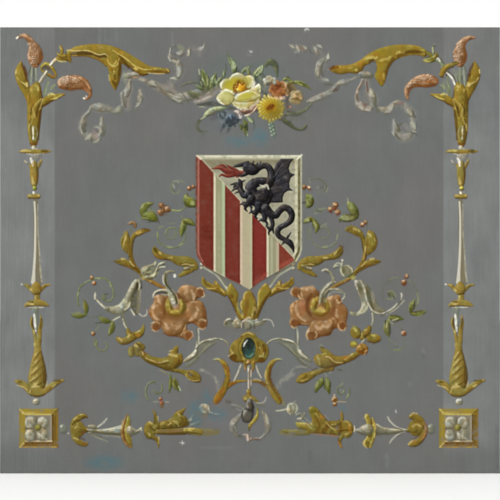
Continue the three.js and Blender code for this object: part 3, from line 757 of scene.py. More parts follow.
model(TENDRIL, coil(-289, -190, 15, 6, 150, 420, 3.6), [(-306, -178, 3), (-305, -190, 3)], strength=0.85)
model(BERRY, ball(-309, -167, 9))
model(BERRY, ball(-312, -55, 8), ball(-307, -66, 9))
touch(COPPER_LIGHT, ball(-313, -53, 2.6), ball(-309, -64, 2.6), ball(-311, -165, 2.4), strength=0.8)

model(TENDRIL, [(-156, 79, 2.6), (-146, 80, 3.8), (-136, 79, 3), (-128, 83, 2.6), (-120, 92, 2.2)], strength=0.9)
touch(TENDRIL[4], [(-150, 79, 1.5), (-138, 79, 2), (-128, 82, 1)], strength=0.7)
model(TENDRIL, coil(-152, 34, 31, 27, 215, 380, 3.8), coil(-152, 32, 14, 8, 60, 400, 3.4), [(-180, 36, 3.6), (-180, 26, 3.2), (-177, 16, 2.6)],
      [(-132, 66, 3), (-126, 56, 2.6)], strength=0.75)
touch(TENDRIL[4], [(-180, 34, 2.6), (-180, 28, 2.6)], [(-160, 8, 2.5), (-152, 6, 2)], [(-136, 9, 1.6), (-129, 14, 2)], strength=0.6)
touch(TENDRIL[3], [(-178, 45, 2), (-172, 47, 3.4), (-167, 48, 2)], [(-162, 52, 1.4), (-154, 54, 2), (-146, 54, 1.4)], [(-186, 78, 1.6), (-198, 82, 1.2)], [(-216, 60, 1.4), (-221, 66, 1)], strength=0.6)
model(GREEN, [(-190, 94, 4), (-200, 91, 11), (-207, 85, 15), (-209, 76, 13), (-206, 66, 8)], soft=1.8)
touch((92, 82, 20), [(-213, 84, 3), (-214, 76, 4), (-211, 69, 3)], strength=0.6, soft=3)
touch((84, 92, 30), [(-204, 92, 3), (-204, 84, 4), (-207, 76, 3)], [(-196, 90, 2), (-194, 84, 3)], strength=0.55, soft=2.4)
touch((150, 156, 116), [(-210, 90, 3), (-214, 84, 3)], [(-200, 94, 2), (-192, 94, 1.6)], strength=0.5)
touch((112, 118, 92), [(-200, 84, 6), (-194, 79, 8), (-190, 74, 4)], strength=0.45, soft=3)
model(GREEN, [(-211, 64, 4), (-203, 68, 15), (-193, 68, 20), (-186, 63, 12), (-182, 58, 4)], soft=1.8)
touch((118, 126, 26), [(-198, 72, 6), (-192, 67, 9), (-190, 61, 5)], strength=0.55, soft=4)
touch(GREEN[4], [(-206, 71, 2), (-201, 73, 3), (-196, 71, 2)], [(-210, 64, 2), (-204, 64.5, 3.4), (-198, 63, 2)], strength=0.6)
touch(GREEN[0], [(-212, 68, 1.5), (-204, 68, 2.4)], [(-202, 56, 2), (-194, 57, 3), (-187, 58, 3)], [(-180, 66, 1.6), (-178, 58, 2), (-177, 54, 1.4)], strength=0.5)
model(GREEN, [(-124, 110, 5), (-122, 102, 15), (-119, 94, 15), (-114, 88, 6)], soft=1.8)
model(GREEN, [(-120, 104, 5), (-113, 99, 14), (-109, 93, 14), (-107, 88, 6)], soft=1.8)
touch((172, 180, 124), [(-126, 107, 3), (-122, 108, 5), (-118, 105, 2)], [(-113, 97, 4), (-110, 94, 8), (-107, 92, 3)], strength=0.6, soft=3)
touch((110, 112, 8), [(-117, 106, 2), (-116, 99, 5), (-117, 93, 3)], strength=0.6, soft=3)
touch(GREEN[0], [(-126, 97, 3), (-124, 92, 6), (-120, 88, 3)], [(-112, 88, 3), (-107, 86, 3)], [(-121, 114, 2), (-120, 109, 3)], strength=0.55)
model(GREEN, [(-130, 56, 5), (-123, 58, 12), (-115, 56, 12), (-106, 50, 4)], soft=1.8)
model(GREEN, [(-129, 58, 6), (-128, 50, 13), (-131, 40, 12), (-133, 29, 4)], soft=1.8)
touch(GREEN[4], [(-124, 60, 2), (-119, 59, 6), (-113, 57, 3)], [(-132, 57, 1.5), (-131.5, 49, 3.4), (-133, 43, 1.6)], strength=0.6)
touch(GREEN[0], [(-128, 56, 3), (-122, 53, 4), (-114, 51, 3)], [(-126, 48, 2), (-128, 40, 3)], strength=0.55)
touch((150, 142, 56), [(-133, 44, 2), (-134, 37, 3), (-134, 31, 2)], strength=0.5)
touch(TENDRIL[2], [(-122, 46, 1.4), (-121, 34, 2.4), (-122, 22, 2.2), (-126, 12, 1.6)], [(-142, 42, 1.6), (-141, 34, 2.2), (-145, 28, 1.6)], strength=0.5)
touch((118, 122, 96), oval(-152, 31, 13, 11, 4), strength=0.25, soft=5)
touch(BERRY[1], oval(-168, 81, 11, 11, 4), strength=0.55, soft=4)
model(BERRY, ball(-173, 90, 11), ball(-161, 82, 12), ball(-175, 76, 12), [(-169, 86, 8), (-168, 79, 8)])
touch(BERRY[0], [(-172, 84, 3), (-168, 83, 3), (-167, 76, 2)], [(-176, 69, 2), (-170, 70, 3)], [(-158, 77, 2), (-155, 80, 2)], strength=0.55, soft=2.4)
touch(COPPER_LIGHT, ball(-174.5, 92, 3.4), ball(-163, 84, 3.8), ball(-176.5, 78, 3.6), strength=0.7)
touch(TENDRIL[3], [(-126, 136, 1.4), (-136, 139, 2.2), (-146, 138, 2.4), (-152, 131, 2.6), (-153, 121, 3), (-148, 114, 2.6), (-140, 115, 2), (-137, 121, 1.6)], strength=0.6)
touch((176, 180, 160), [(-147, 138, 2), (-142, 138.5, 3), (-139, 136, 2)], [(-149, 131, 2), (-147.5, 126, 3)], strength=0.55)
touch((84, 92, 52), [(-152, 128, 1.6), (-151, 121, 3), (-146, 117, 3)], [(-146, 133, 1.4), (-140, 131, 2)], strength=0.5)
touch(TENDRIL[2], [(-110, 120, 1.6), (-111, 112, 2.2), (-110, 104, 1.8)], strength=0.5)
model(BERRY, ball(-117, 124, 9), ball(-109, 127, 8))
touch(BERRY[0], [(-119, 120, 2.4), (-114, 120.5, 3)], [(-110, 123, 2), (-106, 124, 2)], strength=0.6, soft=2.4)
touch(COPPER_LIGHT, ball(-118.5, 126, 3), ball(-110, 129, 2.6), strength=0.7)
model(BROWN, [(-236, 53, 5), (-231, 55, 6), (-225, 52, 7), (-225, 47, 6)], strength=0.85)
touch(BROWN[0], [(-232, 51, 2), (-228, 48, 3)], strength=0.6)
touch(GREEN[2], [(-232, 44, 3), (-234, 36, 2)], strength=0.6)

# The right half's small growth has the same leaves and berries, each with a turn of its own.
touch(TENDRIL[3], [(284, -59, 1.4), (292, -55.5, 2.4), (301, -55, 1.6)], [(322, -60, 1.4), (330, -67, 1.2)], strength=0.6)
touch(TENDRIL[1], [(304, -57, 1.2), (294, -57, 1.4), (282, -62, 2), (273, -72, 2.4), (269, -86, 2.4), (271, -98, 2)],
      [(326, -62, 1.4), (334, -72, 1.8), (339, -84, 2), (341, -94, 2)], strength=0.42)
touch(TENDRIL[3], [(279, -84, 1.6), (286, -81, 2.6), (293, -86, 2.6), (295.5, -93, 2)], [(279, -97, 1.4), (286, -98, 2.2), (292, -97, 2)], strength=0.75)
touch(GREEN[2], oval(286, -89, 6, 5, 4), strength=0.6, soft=3)
touch(GREEN[0], [(281, -86, 2.4), (284, -91, 2)], [(292, -92, 2), (294, -97, 3)], strength=0.55)
model(BERRY, ball(317.5, -52, 8.6))
model(BERRY, ball(312.5, -64, 11))
touch((104, 54, 22), [(309, -67, 3), (313, -70, 4), (317, -67, 3)], [(316, -56, 2.4), (321, -55, 2.4)], strength=0.75, soft=2.4)
touch((214, 184, 150), [(318, -48, 2), (318, -52, 3)], ball(311.5, -61.5, 3.4), strength=0.8)
model(GREEN, [(328, -128, 5), (326, -120, 8), (328, -109, 9), (333, -101, 5)], soft=1.8)
model(GREEN, [(327, -126, 4), (336, -127, 9), (345, -126, 10), (355, -123, 4)], soft=1.8)
touch(TENDRIL[2], [(334, -116, 3), (338, -105, 4), (341, -93, 3), (339, -82, 1.4)], strength=0.75)
touch(TENDRIL[4], [(340, -106, 1.4), (341, -96, 2.2), (339, -86, 1.6)], [(329, -107, 3), (332, -104, 2)], strength=0.75)
touch(GREEN[0], [(333, -103, 1.4), (334, -112, 2.6), (331, -119, 2.4)], [(325, -116, 2), (326, -124, 4)], strength=0.7)
touch((66, 52, 14), [(330, -124, 3), (340, -123, 4), (350, -121, 1.6)], strength=0.6, soft=2)
touch(GREEN[4], [(336, -131, 2), (344, -130.5, 3), (350, -127, 2)], strength=0.65)
model(GREEN, [(283, -133, 4), (290, -135, 11), (300, -136, 11), (311, -137, 3)], soft=1.8)
model(GREEN, [(283, -138, 5), (279, -148, 12), (278, -160, 13), (282, -172, 4)], soft=1.8)
touch((186, 184, 148), [(290, -140, 2), (295, -138.5, 3.4), (300, -137, 2)], [(278, -146, 2), (277.5, -153, 3)], strength=0.7)
touch(GREEN[0], [(286, -131, 2), (296, -131, 3), (306, -134, 1.6)], [(292, -143.5, 2), (300, -142, 2)], [(276, -141, 3), (275, -148, 2)], [(284, -148, 2), (285, -162, 4), (283, -171, 2)],
      strength=0.7, soft=2)
touch(TENDRIL[4], [(282, -134, 1.6), (284, -142, 2.4), (290, -147, 2.2)], [(273, -147, 1.4), (273.5, -154, 2)], strength=0.6)
touch(TENDRIL[2], [(292, -147, 1.6), (302, -151, 2.2), (308, -158, 1.4)], strength=0.6)
touch((76, 66, 40), [(308, -158, 1.6), (311, -161, 2)], strength=0.7)
model(BERRY, ball(312, -166, 10.4))
touch((104, 52, 24), [(311, -171, 2.4), (316, -169, 3)], strength=0.7, soft=2.4)
touch((210, 172, 146), [(308, -166, 1.4), (311, -162.5, 2.8), (314, -163, 1.6)], strength=0.75)
touch(TENDRIL[2], [(282, -172, 1.6), (284, -180, 3), (283, -190, 2.6), (287, -198, 2.4), (298, -200, 3), (308, -198, 2.2), (313, -189, 2), (313, -177, 1.4)], strength=0.6)
touch(TENDRIL[3], [(283, -179, 2), (289, -181, 2)], [(291, -186, 1.6), (297, -188, 2.4)], [(292, -200, 2), (300, -199, 3), (305, -197.5, 1.6)], strength=0.65)
touch(TENDRIL[1], [(292, -192, 2), (300, -193, 1.6)], strength=0.5)

touch(TENDRIL[1], [(122, 139, 1.4), (134, 142.5, 2), (146, 141, 3), (152, 136, 3.4), (156, 131, 3)], strength=0.6)
touch(TENDRIL[0], [(158, 129, 2), (156, 123, 3), (153, 118, 2)], ball(146, 125, 3), [(150, 130, 1.4), (152, 122, 1.4)], strength=0.5)
touch(TENDRIL[4], ball(140, 126, 3), [(155, 127, 1.2), (153, 119, 1.2)], [(123, 142, 1.4), (125, 136, 2.4)], [(157, 117, 1.4), (160, 124, 1.4)], strength=0.45)
touch((118, 114, 78), oval(146, 116, 6, 4, 4), strength=0.3, soft=4)
model(BERRY, ball(113, 126.5, 9), ball(122, 125, 8))
touch((74, 50, 12), [(108, 124, 2), (114, 122, 4), (117, 125, 3)], strength=0.7, soft=2)
touch((112, 62, 40), [(123, 120, 2.4), (128, 122, 2)], strength=0.7, soft=2)
touch((226, 210, 176), ball(122.6, 126, 4), strength=0.85)
touch((164, 150, 96), ball(112, 129, 4), strength=0.6)
model(GREEN, [(119, 110, 6), (123, 103, 16), (124, 95, 17), (120, 88, 8)], soft=2)
touch((58, 50, 14), [(109, 95, 3), (114, 95, 4)], [(121, 86, 2.4), (126, 87, 2.6)], [(130, 104, 2), (130, 95, 3.4), (128, 90, 2)], strength=0.7, soft=2.4)
touch((166, 170, 124), [(119, 108, 4), (124, 109, 6), (128, 107, 3)], [(120, 93, 3), (123, 91, 3)], strength=0.55, soft=3)
touch(TENDRIL[2], [(132, 81, 1.4), (142, 79, 2.4), (150, 80, 2.4), (158, 83, 2.2), (164, 84, 2)], strength=0.8)
touch(TENDRIL[4], [(142, 81.5, 1.4), (150, 83, 2.6), (155, 84, 1.6)], [(134, 74, 1.2), (141, 74, 1.4)], strength=0.6)
touch(TENDRIL[0], [(138, 80, 1.4), (146, 78, 2)], strength=0.6)
model(BERRY, ball(165, 82, 11), ball(175, 91, 12), ball(180, 76, 12), ball(173, 83, 8))
touch((98, 38, 26), [(164, 77, 3), (168, 75, 4)], [(172, 84, 4), (177, 83, 3)], [(179, 70, 3), (183, 74, 3)], [(181, 90, 2), (179, 85, 2)], strength=0.7, soft=2.4)
touch((222, 198, 150), ball(164, 84, 4), [(173, 93, 3), (176, 92, 4)], ball(179, 78, 4.4), strength=0.75)
model(GREEN, [(201, 96, 5), (207, 88, 16), (213, 78, 18), (216, 68, 12), (212, 62, 5)], soft=2)
model(GREEN, [(184, 62, 6), (192, 64, 14), (202, 64, 15), (212, 65, 11), (218, 72, 5)], soft=2)
touch((170, 178, 128), [(207, 93, 4), (208, 86, 7), (210, 82, 3)], [(188, 66, 4), (194, 65, 9), (203, 63, 5), (210, 65, 3)], strength=0.6, soft=3)
touch((52, 50, 12), [(218, 82, 2), (218, 75, 5), (214, 70, 3)], [(198, 71, 2), (206, 71, 4), (213, 70, 2)], [(185, 57, 3), (184, 62, 2)], [(192, 58, 2), (204, 57, 2.6)], strength=0.65, soft=2.4)
touch((172, 170, 140), [(200, 104, 1.4), (201, 95, 2.6)], strength=0.6)
touch((104, 120, 116), oval(191, 82, 7, 6, 4), strength=0.3, soft=4)
model(BERRY, ball(229.5, 51.5, 9), ball(235.5, 56, 7.6))
touch((86, 44, 20), [(227, 47.5, 2.6), (231, 47.5, 2.6)], [(238, 54, 2), (237, 51, 2.4)], strength=0.75, soft=2)
touch((220, 194, 166), ball(229.5, 53, 3.4), strength=0.8)
touch((168, 162, 106), [(235, 58.5, 2.4), (237, 57, 2)], strength=0.7)
touch(TENDRIL[1], [(221, 64, 1.4), (228, 60, 1.6)], [(238, 50, 1.4), (239, 42, 1.6)], strength=0.5)
model(TENDRIL, coil(152, 34, 31, 27, -35, -200, 3.4), coil(152, 33, 13, 8, 120, -220, 3), strength=0.6)
touch(TENDRIL[4], [(146, 47, 1.6), (152, 50, 2.4), (157, 53, 1.6)], [(155, 45, 1.4), (158, 48, 1.8)], [(150, 6, 2.4), (158, 8, 2)], [(178, 22, 1.6), (180, 32, 2)], strength=0.55)
touch(TENDRIL[2], [(121, 44, 3), (122, 34, 2), (120, 24, 2)], [(158, 42, 2), (164, 40, 1.6)], [(178, 38, 2), (179, 44, 1.6)], strength=0.6)
model(GREEN, [(112, 56, 4), (118, 59, 10), (125, 62, 10), (131, 62, 5)], [(130, 62, 6), (135, 54, 12), (139, 45, 10), (136, 36, 4)], soft=1.8)
touch((172, 178, 134), [(113, 58, 3), (119, 59.5, 6), (122, 60, 3)], [(132, 57, 2.4), (135, 50, 4.4), (137, 44, 2)], strength=0.6, soft=2.4)
touch((62, 62, 14), [(125, 63, 3), (128, 58, 5)], [(140, 54, 2), (143, 47, 3), (141, 40, 2)], [(130, 52, 2), (132, 42, 2)], strength=0.65, soft=2.4)

for side in (-1, 1):
    model(DULL_GOLD, [(-200, -60, 6), (-208, -52, 8), (-217, -43, 9), (-227, -31, 9), (-233, -15, 9), (-235, 2, 10), (-233, 18, 10),
                 (-227, 29, 10), (-217, 35, 12), (-206, 39, 9), (-195, 40, 3)],
          [(-236, -6, 8), (-242, 6, 18), (-244, 17, 19), (-243, 28, 13), (-241, 37, 3)],
          [(-212, -47, 7), (-224, -37, 11), (-238, -28, 14), (-250, -24, 14), (-260, -23, 8), (-266, -22, 2)])
    touch(DEEP_GOLD, [(-237, -14, 3), (-231, 2, 3), (-229, 16, 3), (-226, 26, 1)], [(-236, -30, 1), (-226, -36, 3), (-215, -45, 3)],
          [(-206, 41, 3), (-198, 40.5, 3)], [(-251, 10, 1), (-252, 16, 3), (-250, 22, 1)], [(-264, -22, 2), (-256, -23, 4)], strength=0.6)
    touch(RUST, [(-234, -8, 4), (-229, -24, 4), (-222, -34, 2)], [(-246, -30, 2), (-234, -32, 3)], strength=0.5)
    touch(PALE_GOLD, [(-250, 4, 2), (-248, 14, 3), (-244, 24, 4), (-242, 34, 2)], [(-222, 34, 3), (-214, 36, 3)], [(-252, -17, 3), (-246, -18, 4)],
          [(-236, -22, 2), (-228, -32, 2)], strength=0.65)
    model(((80, 54, 20), (108, 78, 32), (132, 100, 44), (150, 122, 62), (182, 160, 104)),
          [(-204, -56, 7), (-192, -63, 8), (-180, -69, 8), (-166, -77, 5)])
    touch(PALE_GOLD, ball(-209, -55, 5), ball(-195, -62, 2), strength=0.7)

    model(DULL_GOLD, [(-187, 7, 3), (-185, -1, 13), (-178, -9, 16), (-166, -13, 12), (-152, -16, 12), (-138, -21, 19), (-122, -23, 22),
                 (-109, -28, 17), (-104, -35, 11)],
          [(-106, -32, 13), (-112, -40, 9), (-123, -44, 11), (-132, -49, 8), (-138, -52, 3)])
    touch(DEEP_GOLD, [(-187, 4, 4), (-181, -4, 4), (-172, -9, 2)], [(-134, -27, 2), (-124, -30, 3), (-114, -28, 3)], [(-128, -40, 2), (-116, -38, 4)],
          [(-174, -18, 2), (-160, -18, 3)], strength=0.6)
    touch((112, 110, 96), [(-128, -34, 2), (-118, -33, 5), (-110, -31, 2)], strength=0.7)
    touch(PALE_GOLD, [(-178, -3, 2), (-175, -6, 4), (-173, -9, 2)], [(-160, -15, 2), (-152, -15, 3)], [(-132, -29, 1.5), (-122, -28, 2), (-112, -30, 2)],
          [(-126, -36, 3), (-118, -34, 2)], ball(-109, -30, 3), strength=0.65)
    model(WHITE, ball(-92, -28, 7), ball(-92, -36, 6))

side = 1
model(DULL_GOLD, [(-262, -175, 4), (-256, -180, 12), (-246, -182, 15), (-236, -177, 17), (-226, -171, 16), (-216, -167, 14),
             (-210, -159, 9), (-208, -149, 3)], [(-240, -157, 5), (-238, -166, 11), (-234, -174, 10)])
touch(DEEP_GOLD, [(-252, -188, 3), (-240, -186, 4), (-228, -180, 3)], [(-232, -164, 2), (-226, -170, 3)], [(-216, -174, 2), (-209, -168, 3)],
      strength=0.55)
touch((178, 118, 36), [(-224, -168, 5), (-218, -170, 6)], strength=0.5)
touch((120, 122, 48), [(-220, -163, 2), (-212, -160, 4)], strength=0.5)
touch(PALE_GOLD, [(-257, -176, 3), (-253, -180, 5)], [(-241, -164, 2), (-237, -169, 4), (-240, -174, 2)], [(-224, -165, 2), (-216, -161, 2.5)],
      strength=0.7)

model(DULL_GOLD, oval(-233, -203, 7, 11, 8), [(-220, -208, 10), (-222, -198, 17), (-219, -192, 18), (-210, -194, 11)],
      [(-216, -204, 12), (-210, -209, 14), (-197, -218, 16), (-183, -223, 18), (-168, -226, 22), (-154, -225, 28), (-143, -220, 27),
       (-136, -212, 12)], [(-150, -212, 16), (-146, -203, 14), (-143, -196, 9), (-140, -192, 3)],
      [(-166, -234, 10), (-150, -239, 9), (-134, -242, 9), (-120, -247, 14), (-110, -251, 22), (-102, -256, 18), (-96, -262, 5)])
touch(DEEP_GOLD, [(-212, -212, 2), (-198, -223, 4), (-182, -230, 4), (-166, -238, 3), (-148, -241, 2.5)], [(-180, -226, 3), (-168, -227, 5), (-158, -225, 2)],
      [(-222, -186, 2), (-214, -192, 3)], [(-142, -228, 3), (-136, -220, 3)], [(-118, -244, 3), (-114, -249, 4), (-108, -252, 2)], strength=0.6)
touch(RUST, [(-210, -201, 5), (-206, -208, 5)], [(-190, -221, 3), (-176, -226, 3)], strength=0.55)
touch((76, 60, 18), [(-228, -188, 2), (-228, -200, 4), (-226, -212, 3)], [(-209, -200, 2), (-213, -206, 3)], strength=0.6, soft=2.4)
touch((158, 156, 70), [(-236, -196, 3), (-236, -204, 5), (-234, -210, 3)], strength=0.5, soft=3)
touch(PALE_GOLD, [(-226, -190, 4), (-222, -192, 4)], [(-211, -204, 3), (-209, -208, 3)],
      [(-204, -216, 1.5), (-190, -221, 2), (-176, -225, 1.5), (-160, -220, 2)], [(-158, -208, 3), (-150, -210, 5), (-142, -212, 4)],
      [(-156, -202, 2), (-150, -200, 2)], [(-124, -248, 1.5), (-120, -256, 1.5), (-108, -261, 1.5), (-98, -260, 1.5)], strength=0.65)
touch((104, 100, 92), [(-118, -246, 1.5), (-114, -250, 4), (-113, -246, 2)], strength=0.7)
touch((150, 140, 90), [(-178, -238, 1), (-166, -244, 2.5), (-158, -246, 1)], strength=0.6)

side = 1
touch((92, 76, 22), [(-249, 24, 2), (-251, 12, 3), (-247, 0, 2)], [(-243, 34, 1.6), (-240, 24, 2)], [(-232, 4, 3), (-233, -10, 5), (-229, -24, 3)], strength=0.55, soft=2.4)
touch((150, 148, 52), [(-252, 26, 2), (-253, 14, 3), (-250, 4, 2)], [(-248, 34, 2), (-244, 38, 2)], strength=0.5, soft=2.4)
touch((122, 92, 28), [(-241, 20, 4), (-238, 8, 6), (-236, -6, 5)], strength=0.5, soft=4)
touch((84, 56, 14), [(-212, 42, 2), (-204, 43, 4), (-197, 41, 2.4)], [(-268, -22, 2.4), (-262, -24, 4)], [(-232, -36, 3), (-224, -36, 4), (-218, -44, 3)], strength=0.55, soft=2.4)
touch((176, 128, 44), ball(-219, 35, 6), strength=0.5, soft=3)
touch((72, 66, 14), ball(-185, 1, 7), strength=0.65, soft=3)
touch((206, 184, 86), ball(-176, -5, 5), strength=0.7, soft=3)
touch((146, 98, 30), [(-184, -10, 3), (-177, -14, 5), (-170, -16, 3)], strength=0.5, soft=3)
touch((178, 112, 56), ball(-211, -56, 6), strength=0.5, soft=3)
touch((96, 64, 20), [(184, 9, 3), (190, 7, 4)], [(222, -40, 3), (232, -34, 3.4), (240, -29, 2)], strength=0.6, soft=2.4)
touch((96, 78, 36), [(168, -73, 3), (180, -67, 4), (196, -59, 3)], strength=0.5, soft=3)

# The right branch has a blunt hook and a broader upper leaf.
model(DULL_GOLD, [(199, 43, 8), (206, 44, 12), (216, 40, 13), (226, 33, 10), (231, 25, 5)], [(241, -6, 8), (246, 6, 20), (248, 18, 23), (247, 29, 17), (243, 38, 5)], rough=0.2)
touch((104, 74, 24), [(200, 43, 4), (206, 43, 6)], [(255, 26, 3), (258, 14, 3), (254, 2, 3)], [(238, -4, 3), (238, 10, 4), (241, 22, 2)], strength=0.55, soft=3)
touch((150, 146, 60), [(246, 30, 6), (250, 20, 7), (250, 8, 4)], strength=0.45, soft=4)
touch(PALE_GOLD, [(241, 33, 3), (245, 29, 5), (242, 26, 3)], [(213, 43, 3), (217, 41, 3)], [(221, 41, 2), (223, 38, 2.4)], [(253, 24, 2), (255, 19, 2)], [(231, -20, 1.6), (234, -4, 2), (236, 8, 1.6)], strength=0.65, soft=2)

# On the right the lower branch ends in three round lobes over a ball.
model(DULL_GOLD, oval(216, -165, 11, 13, 9, 20), [(228, -176, 8), (235, -167, 15), (241, -160, 13), (245, -152, 4)], rough=0.2)
model(DULL_GOLD, oval(252, -176, 15, 9.5, 8, -6), rough=0.2)
touch((76, 56, 14), [(218, -175, 3), (226, -170, 4)], [(234, -172, 3), (240, -170, 6), (244, -167, 3)], [(240, -183, 3), (252, -185, 4), (262, -182, 3)], strength=0.65, soft=3)
touch((150, 150, 60), [(212, -152, 3), (215, -160, 6)], ball(251, -171, 6), strength=0.55, soft=4)
touch(PALE_GOLD, [(214, -158, 3), (217, -161, 4)], [(234, -160, 2), (238, -159, 4)], [(249, -170, 2), (253, -171, 3)], [(228, -166, 1.4), (229, -174, 1.6)], strength=0.6, soft=2)
touch((158, 106, 40), [(232, -166, 3), (238, -164, 5)], strength=0.5, soft=3)
touch((206, 200, 164), [(233, -177, 2.4), (229, -183, 2.6), (226.5, -188, 1.6)], strength=0.8)
touch((96, 80, 56), [(237, -179, 1.6), (234, -187, 2)], strength=0.5)

model(DULL_GOLD, [(221, -206, 11), (210, -213, 13), (197, -218, 15), (183, -221, 18), (168, -222, 26), (155, -222, 30), (144, -219, 24), (138, -214, 8)],
      [(166, -212, 12), (158, -205, 12), (151, -200, 10), (147, -195, 4)], [(168, -236, 12), (152, -240, 10), (136, -245, 12), (124, -251, 16), (112, -256, 20), (103, -260, 12), (98, -262, 4)])
model(DULL_GOLD, oval(212, -188, 8, 7, 6), rough=0.2)
model(((80, 46, 14), (108, 70, 24), (130, 92, 34), (142, 106, 44), (158, 126, 66)), oval(229, -198, 12.5, 11.5, 10), rough=0.24)
touch((186, 188, 84), [(209, -187, 4), (213, -186, 5), (216, -188, 2)], strength=0.7, soft=2.4)
touch((90, 50, 16), [(222, -203, 3), (229, -203, 6), (233, -198, 3)], [(238, -204, 3), (236, -208, 3)], [(214, -216, 3), (220, -211, 3)], strength=0.65, soft=2.4)
touch((206, 176, 120), [(220, -193, 2), (224, -192, 3)], [(235, -203, 2), (238, -200, 2.4)], [(232, -209, 1.6), (236, -206, 1.6)], strength=0.65)
touch((214, 196, 132), [(156, -213, 2), (161, -213, 3), (166, -216, 2), (171, -221, 2), (178, -224.5, 2.4), (190, -225, 1.6)], [(194, -218, 1.6), (202, -213, 2), (210, -207, 2.4)], strength=0.65)
touch((152, 90, 32), [(190, -215, 3), (196, -214, 5), (202, -212, 3)], [(166, -212, 2), (170, -216, 3)], strength=0.55, soft=2.4)
touch((88, 56, 18), [(196, -227, 2), (182, -228, 4), (170, -231, 6), (160, -236, 5), (148, -242, 3)], [(163, -219, 2), (170, -226, 3)], [(205, -218, 3), (211, -217, 4)], strength=0.6, soft=3)
touch((186, 180, 106), [(139, -213, 3), (142, -219, 4), (144, -228, 3)], [(150, -208, 2), (156, -206, 2)], [(131, -244, 4), (127, -247, 3)], [(120, -257, 2), (110, -261, 3), (103, -261, 2)], strength=0.55, soft=2)
touch((72, 70, 36), [(146, -193, 3), (150, -196, 4)], [(178, -236, 2), (182, -239, 3), (188, -240, 2)], strength=0.6, soft=2.4)
touch((150, 150, 116), [(143, -194, 1.4), (146, -190, 2), (150, -191, 1.4)], [(163, -245, 2), (167, -242, 2)], strength=0.55)
touch(DEEP_GOLD, [(118, -247, 2), (116, -253, 4), (110, -256, 2)], [(138, -236, 3), (130, -240, 3)], strength=0.5, soft=2.4)

for side in (-1, 1):
    touch((118, 118, 98), shape([(-124, -226), (-112, -216), (-103, -204), (-97, -191), (-84, -183), (-66, -179), (-54, -181), (-66, -186), (-78, -194),
                                 (-88, -204), (-98, -214), (-110, -226), (-122, -234)]), strength=0.75)
    touch((146, 144, 120), [(-116, -226, 2), (-102, -214, 4), (-90, -200, 4), (-76, -188, 3)], strength=0.55)
    touch((84, 84, 60), [(-118, -232, 2), (-104, -220, 2.6), (-90, -206, 2.6), (-76, -194, 2), (-62, -185, 1.6)], strength=0.6)
    model(SILVER, [(-128, -223, 3), (-117, -216, 9), (-107, -208, 10), (-102, -198, 7), (-101, -186, 4), (-101, -180, 2)], strength=0.9)
    model(SILVER, [(-103, -196, 4), (-98, -189, 4), (-88, -182, 4), (-74, -178, 3.4), (-60, -177, 3), (-48, -180, 3), (-40, -186, 3), (-38, -191, 2)])
    touch(CHALK, [(-118, -215, 2), (-108, -208, 4), (-104, -200, 3)], [(-96, -187, 1.5), (-86, -181, 2), (-70, -178, 1.5)], strength=0.65)
    touch((92, 92, 66), [(-104, -216, 2), (-96, -204, 3), (-90, -196, 2)], [(-96, -186, 1), (-80, -184, 3), (-66, -181, 1)], strength=0.6)
    touch(SILVER[1], [(-128, -236, 2), (-112, -229, 3), (-98, -218, 2)], strength=0.5)

side = 1
model(TENDRIL, [(-198, -300, 3), (-203, -290, 3.8), (-203, -276, 3.6), (-196, -265, 3), (-186, -263, 3)],
      [(-172, -268, 2.6), (-171, -280, 3.2), (-180, -287, 3), (-187, -281, 2.4)], [(-156, -246, 3), (-156, -256, 3)], strength=0.9)
touch(GREEN[1], [(-192, -264.5, 1.5), (-184, -264.5, 2)], [(-184, -287, 2), (-176, -285, 2)], strength=0.5)
green_leaf((-154, -250), (-158, -286), 8, 0.05)
green_leaf((-146, -256), (-135, -282), 13, -0.12)
touch((176, 182, 158), [(-138, -272, 2), (-135, -280, 3)], strength=0.7)
touch(GREEN[0], [(-146, -262, 4), (-142, -270, 3)], strength=0.5)
model(BERRY, ball(-174, -297, 7), ball(-172, -306, 9))
touch((136, 56, 38), [(-174, -300, 5), (-172, -304, 3)], strength=0.6)
touch((112, 84, 50), ball(-171, -313, 6), strength=0.8)
touch((170, 168, 134), [(-188, -303, 1.5), (-180, -303, 2.4)], [(-164, -303, 1.4), (-158, -304, 1.4)], strength=0.6)
model(GREEN, [(150, -257, 5), (146, -265, 14), (140, -273, 12), (136, -283, 4)], soft=2)
model(GREEN, [(158, -257, 5), (160, -265, 12), (160, -274, 12), (164, -287, 3)], soft=2)
touch((150, 154, 108), [(146, -258, 3), (149, -260, 4)], [(140, -266, 3), (138, -272, 4)], [(160, -261, 3), (160.5, -266, 5), (160, -271, 2)], strength=0.55, soft=2.4)
touch((56, 56, 16), [(152, -262, 2), (153, -270, 4), (154, -277, 2)], [(134, -281, 2), (137, -284, 3)], [(162, -278, 2), (163, -285, 3)], [(165, -266, 2), (165, -274, 2)], strength=0.6, soft=2)
model(TENDRIL, coil(186, -280, 8, 8, 60, 380, 3.6), [(203, -273, 2), (204, -282, 4), (202, -290, 4), (197, -298, 2)], strength=0.6)
touch(GREEN[1], [(181, -278, 2), (181, -285, 3), (186, -288, 2)], [(204, -278, 1.6), (204, -286, 2)], strength=0.45, soft=2.4)
touch(TENDRIL[4], ball(186, -280, 3), [(188, -286, 1.6), (192, -281, 2)], [(201, -289, 2), (199, -294, 2.4)], [(186, -270, 1.4), (190, -266, 1.6)], [(154, -246, 1.4), (158, -252, 2)], strength=0.6)
model(BROWN, ball(174, -299, 12), ball(174.5, -308, 8))
touch((92, 54, 14), ball(174, -300, 6), [(172, -311, 2), (177, -309, 3)], strength=0.7, soft=2.4)
touch((206, 184, 156), [(173, -292, 2), (173.5, -289, 2.4)], [(171, -305, 2), (175, -306, 2.4)], strength=0.7)
touch((178, 158, 126), [(177, -302.5, 1.4), (186, -303, 2), (196, -303.5, 1.4)], strength=0.6)

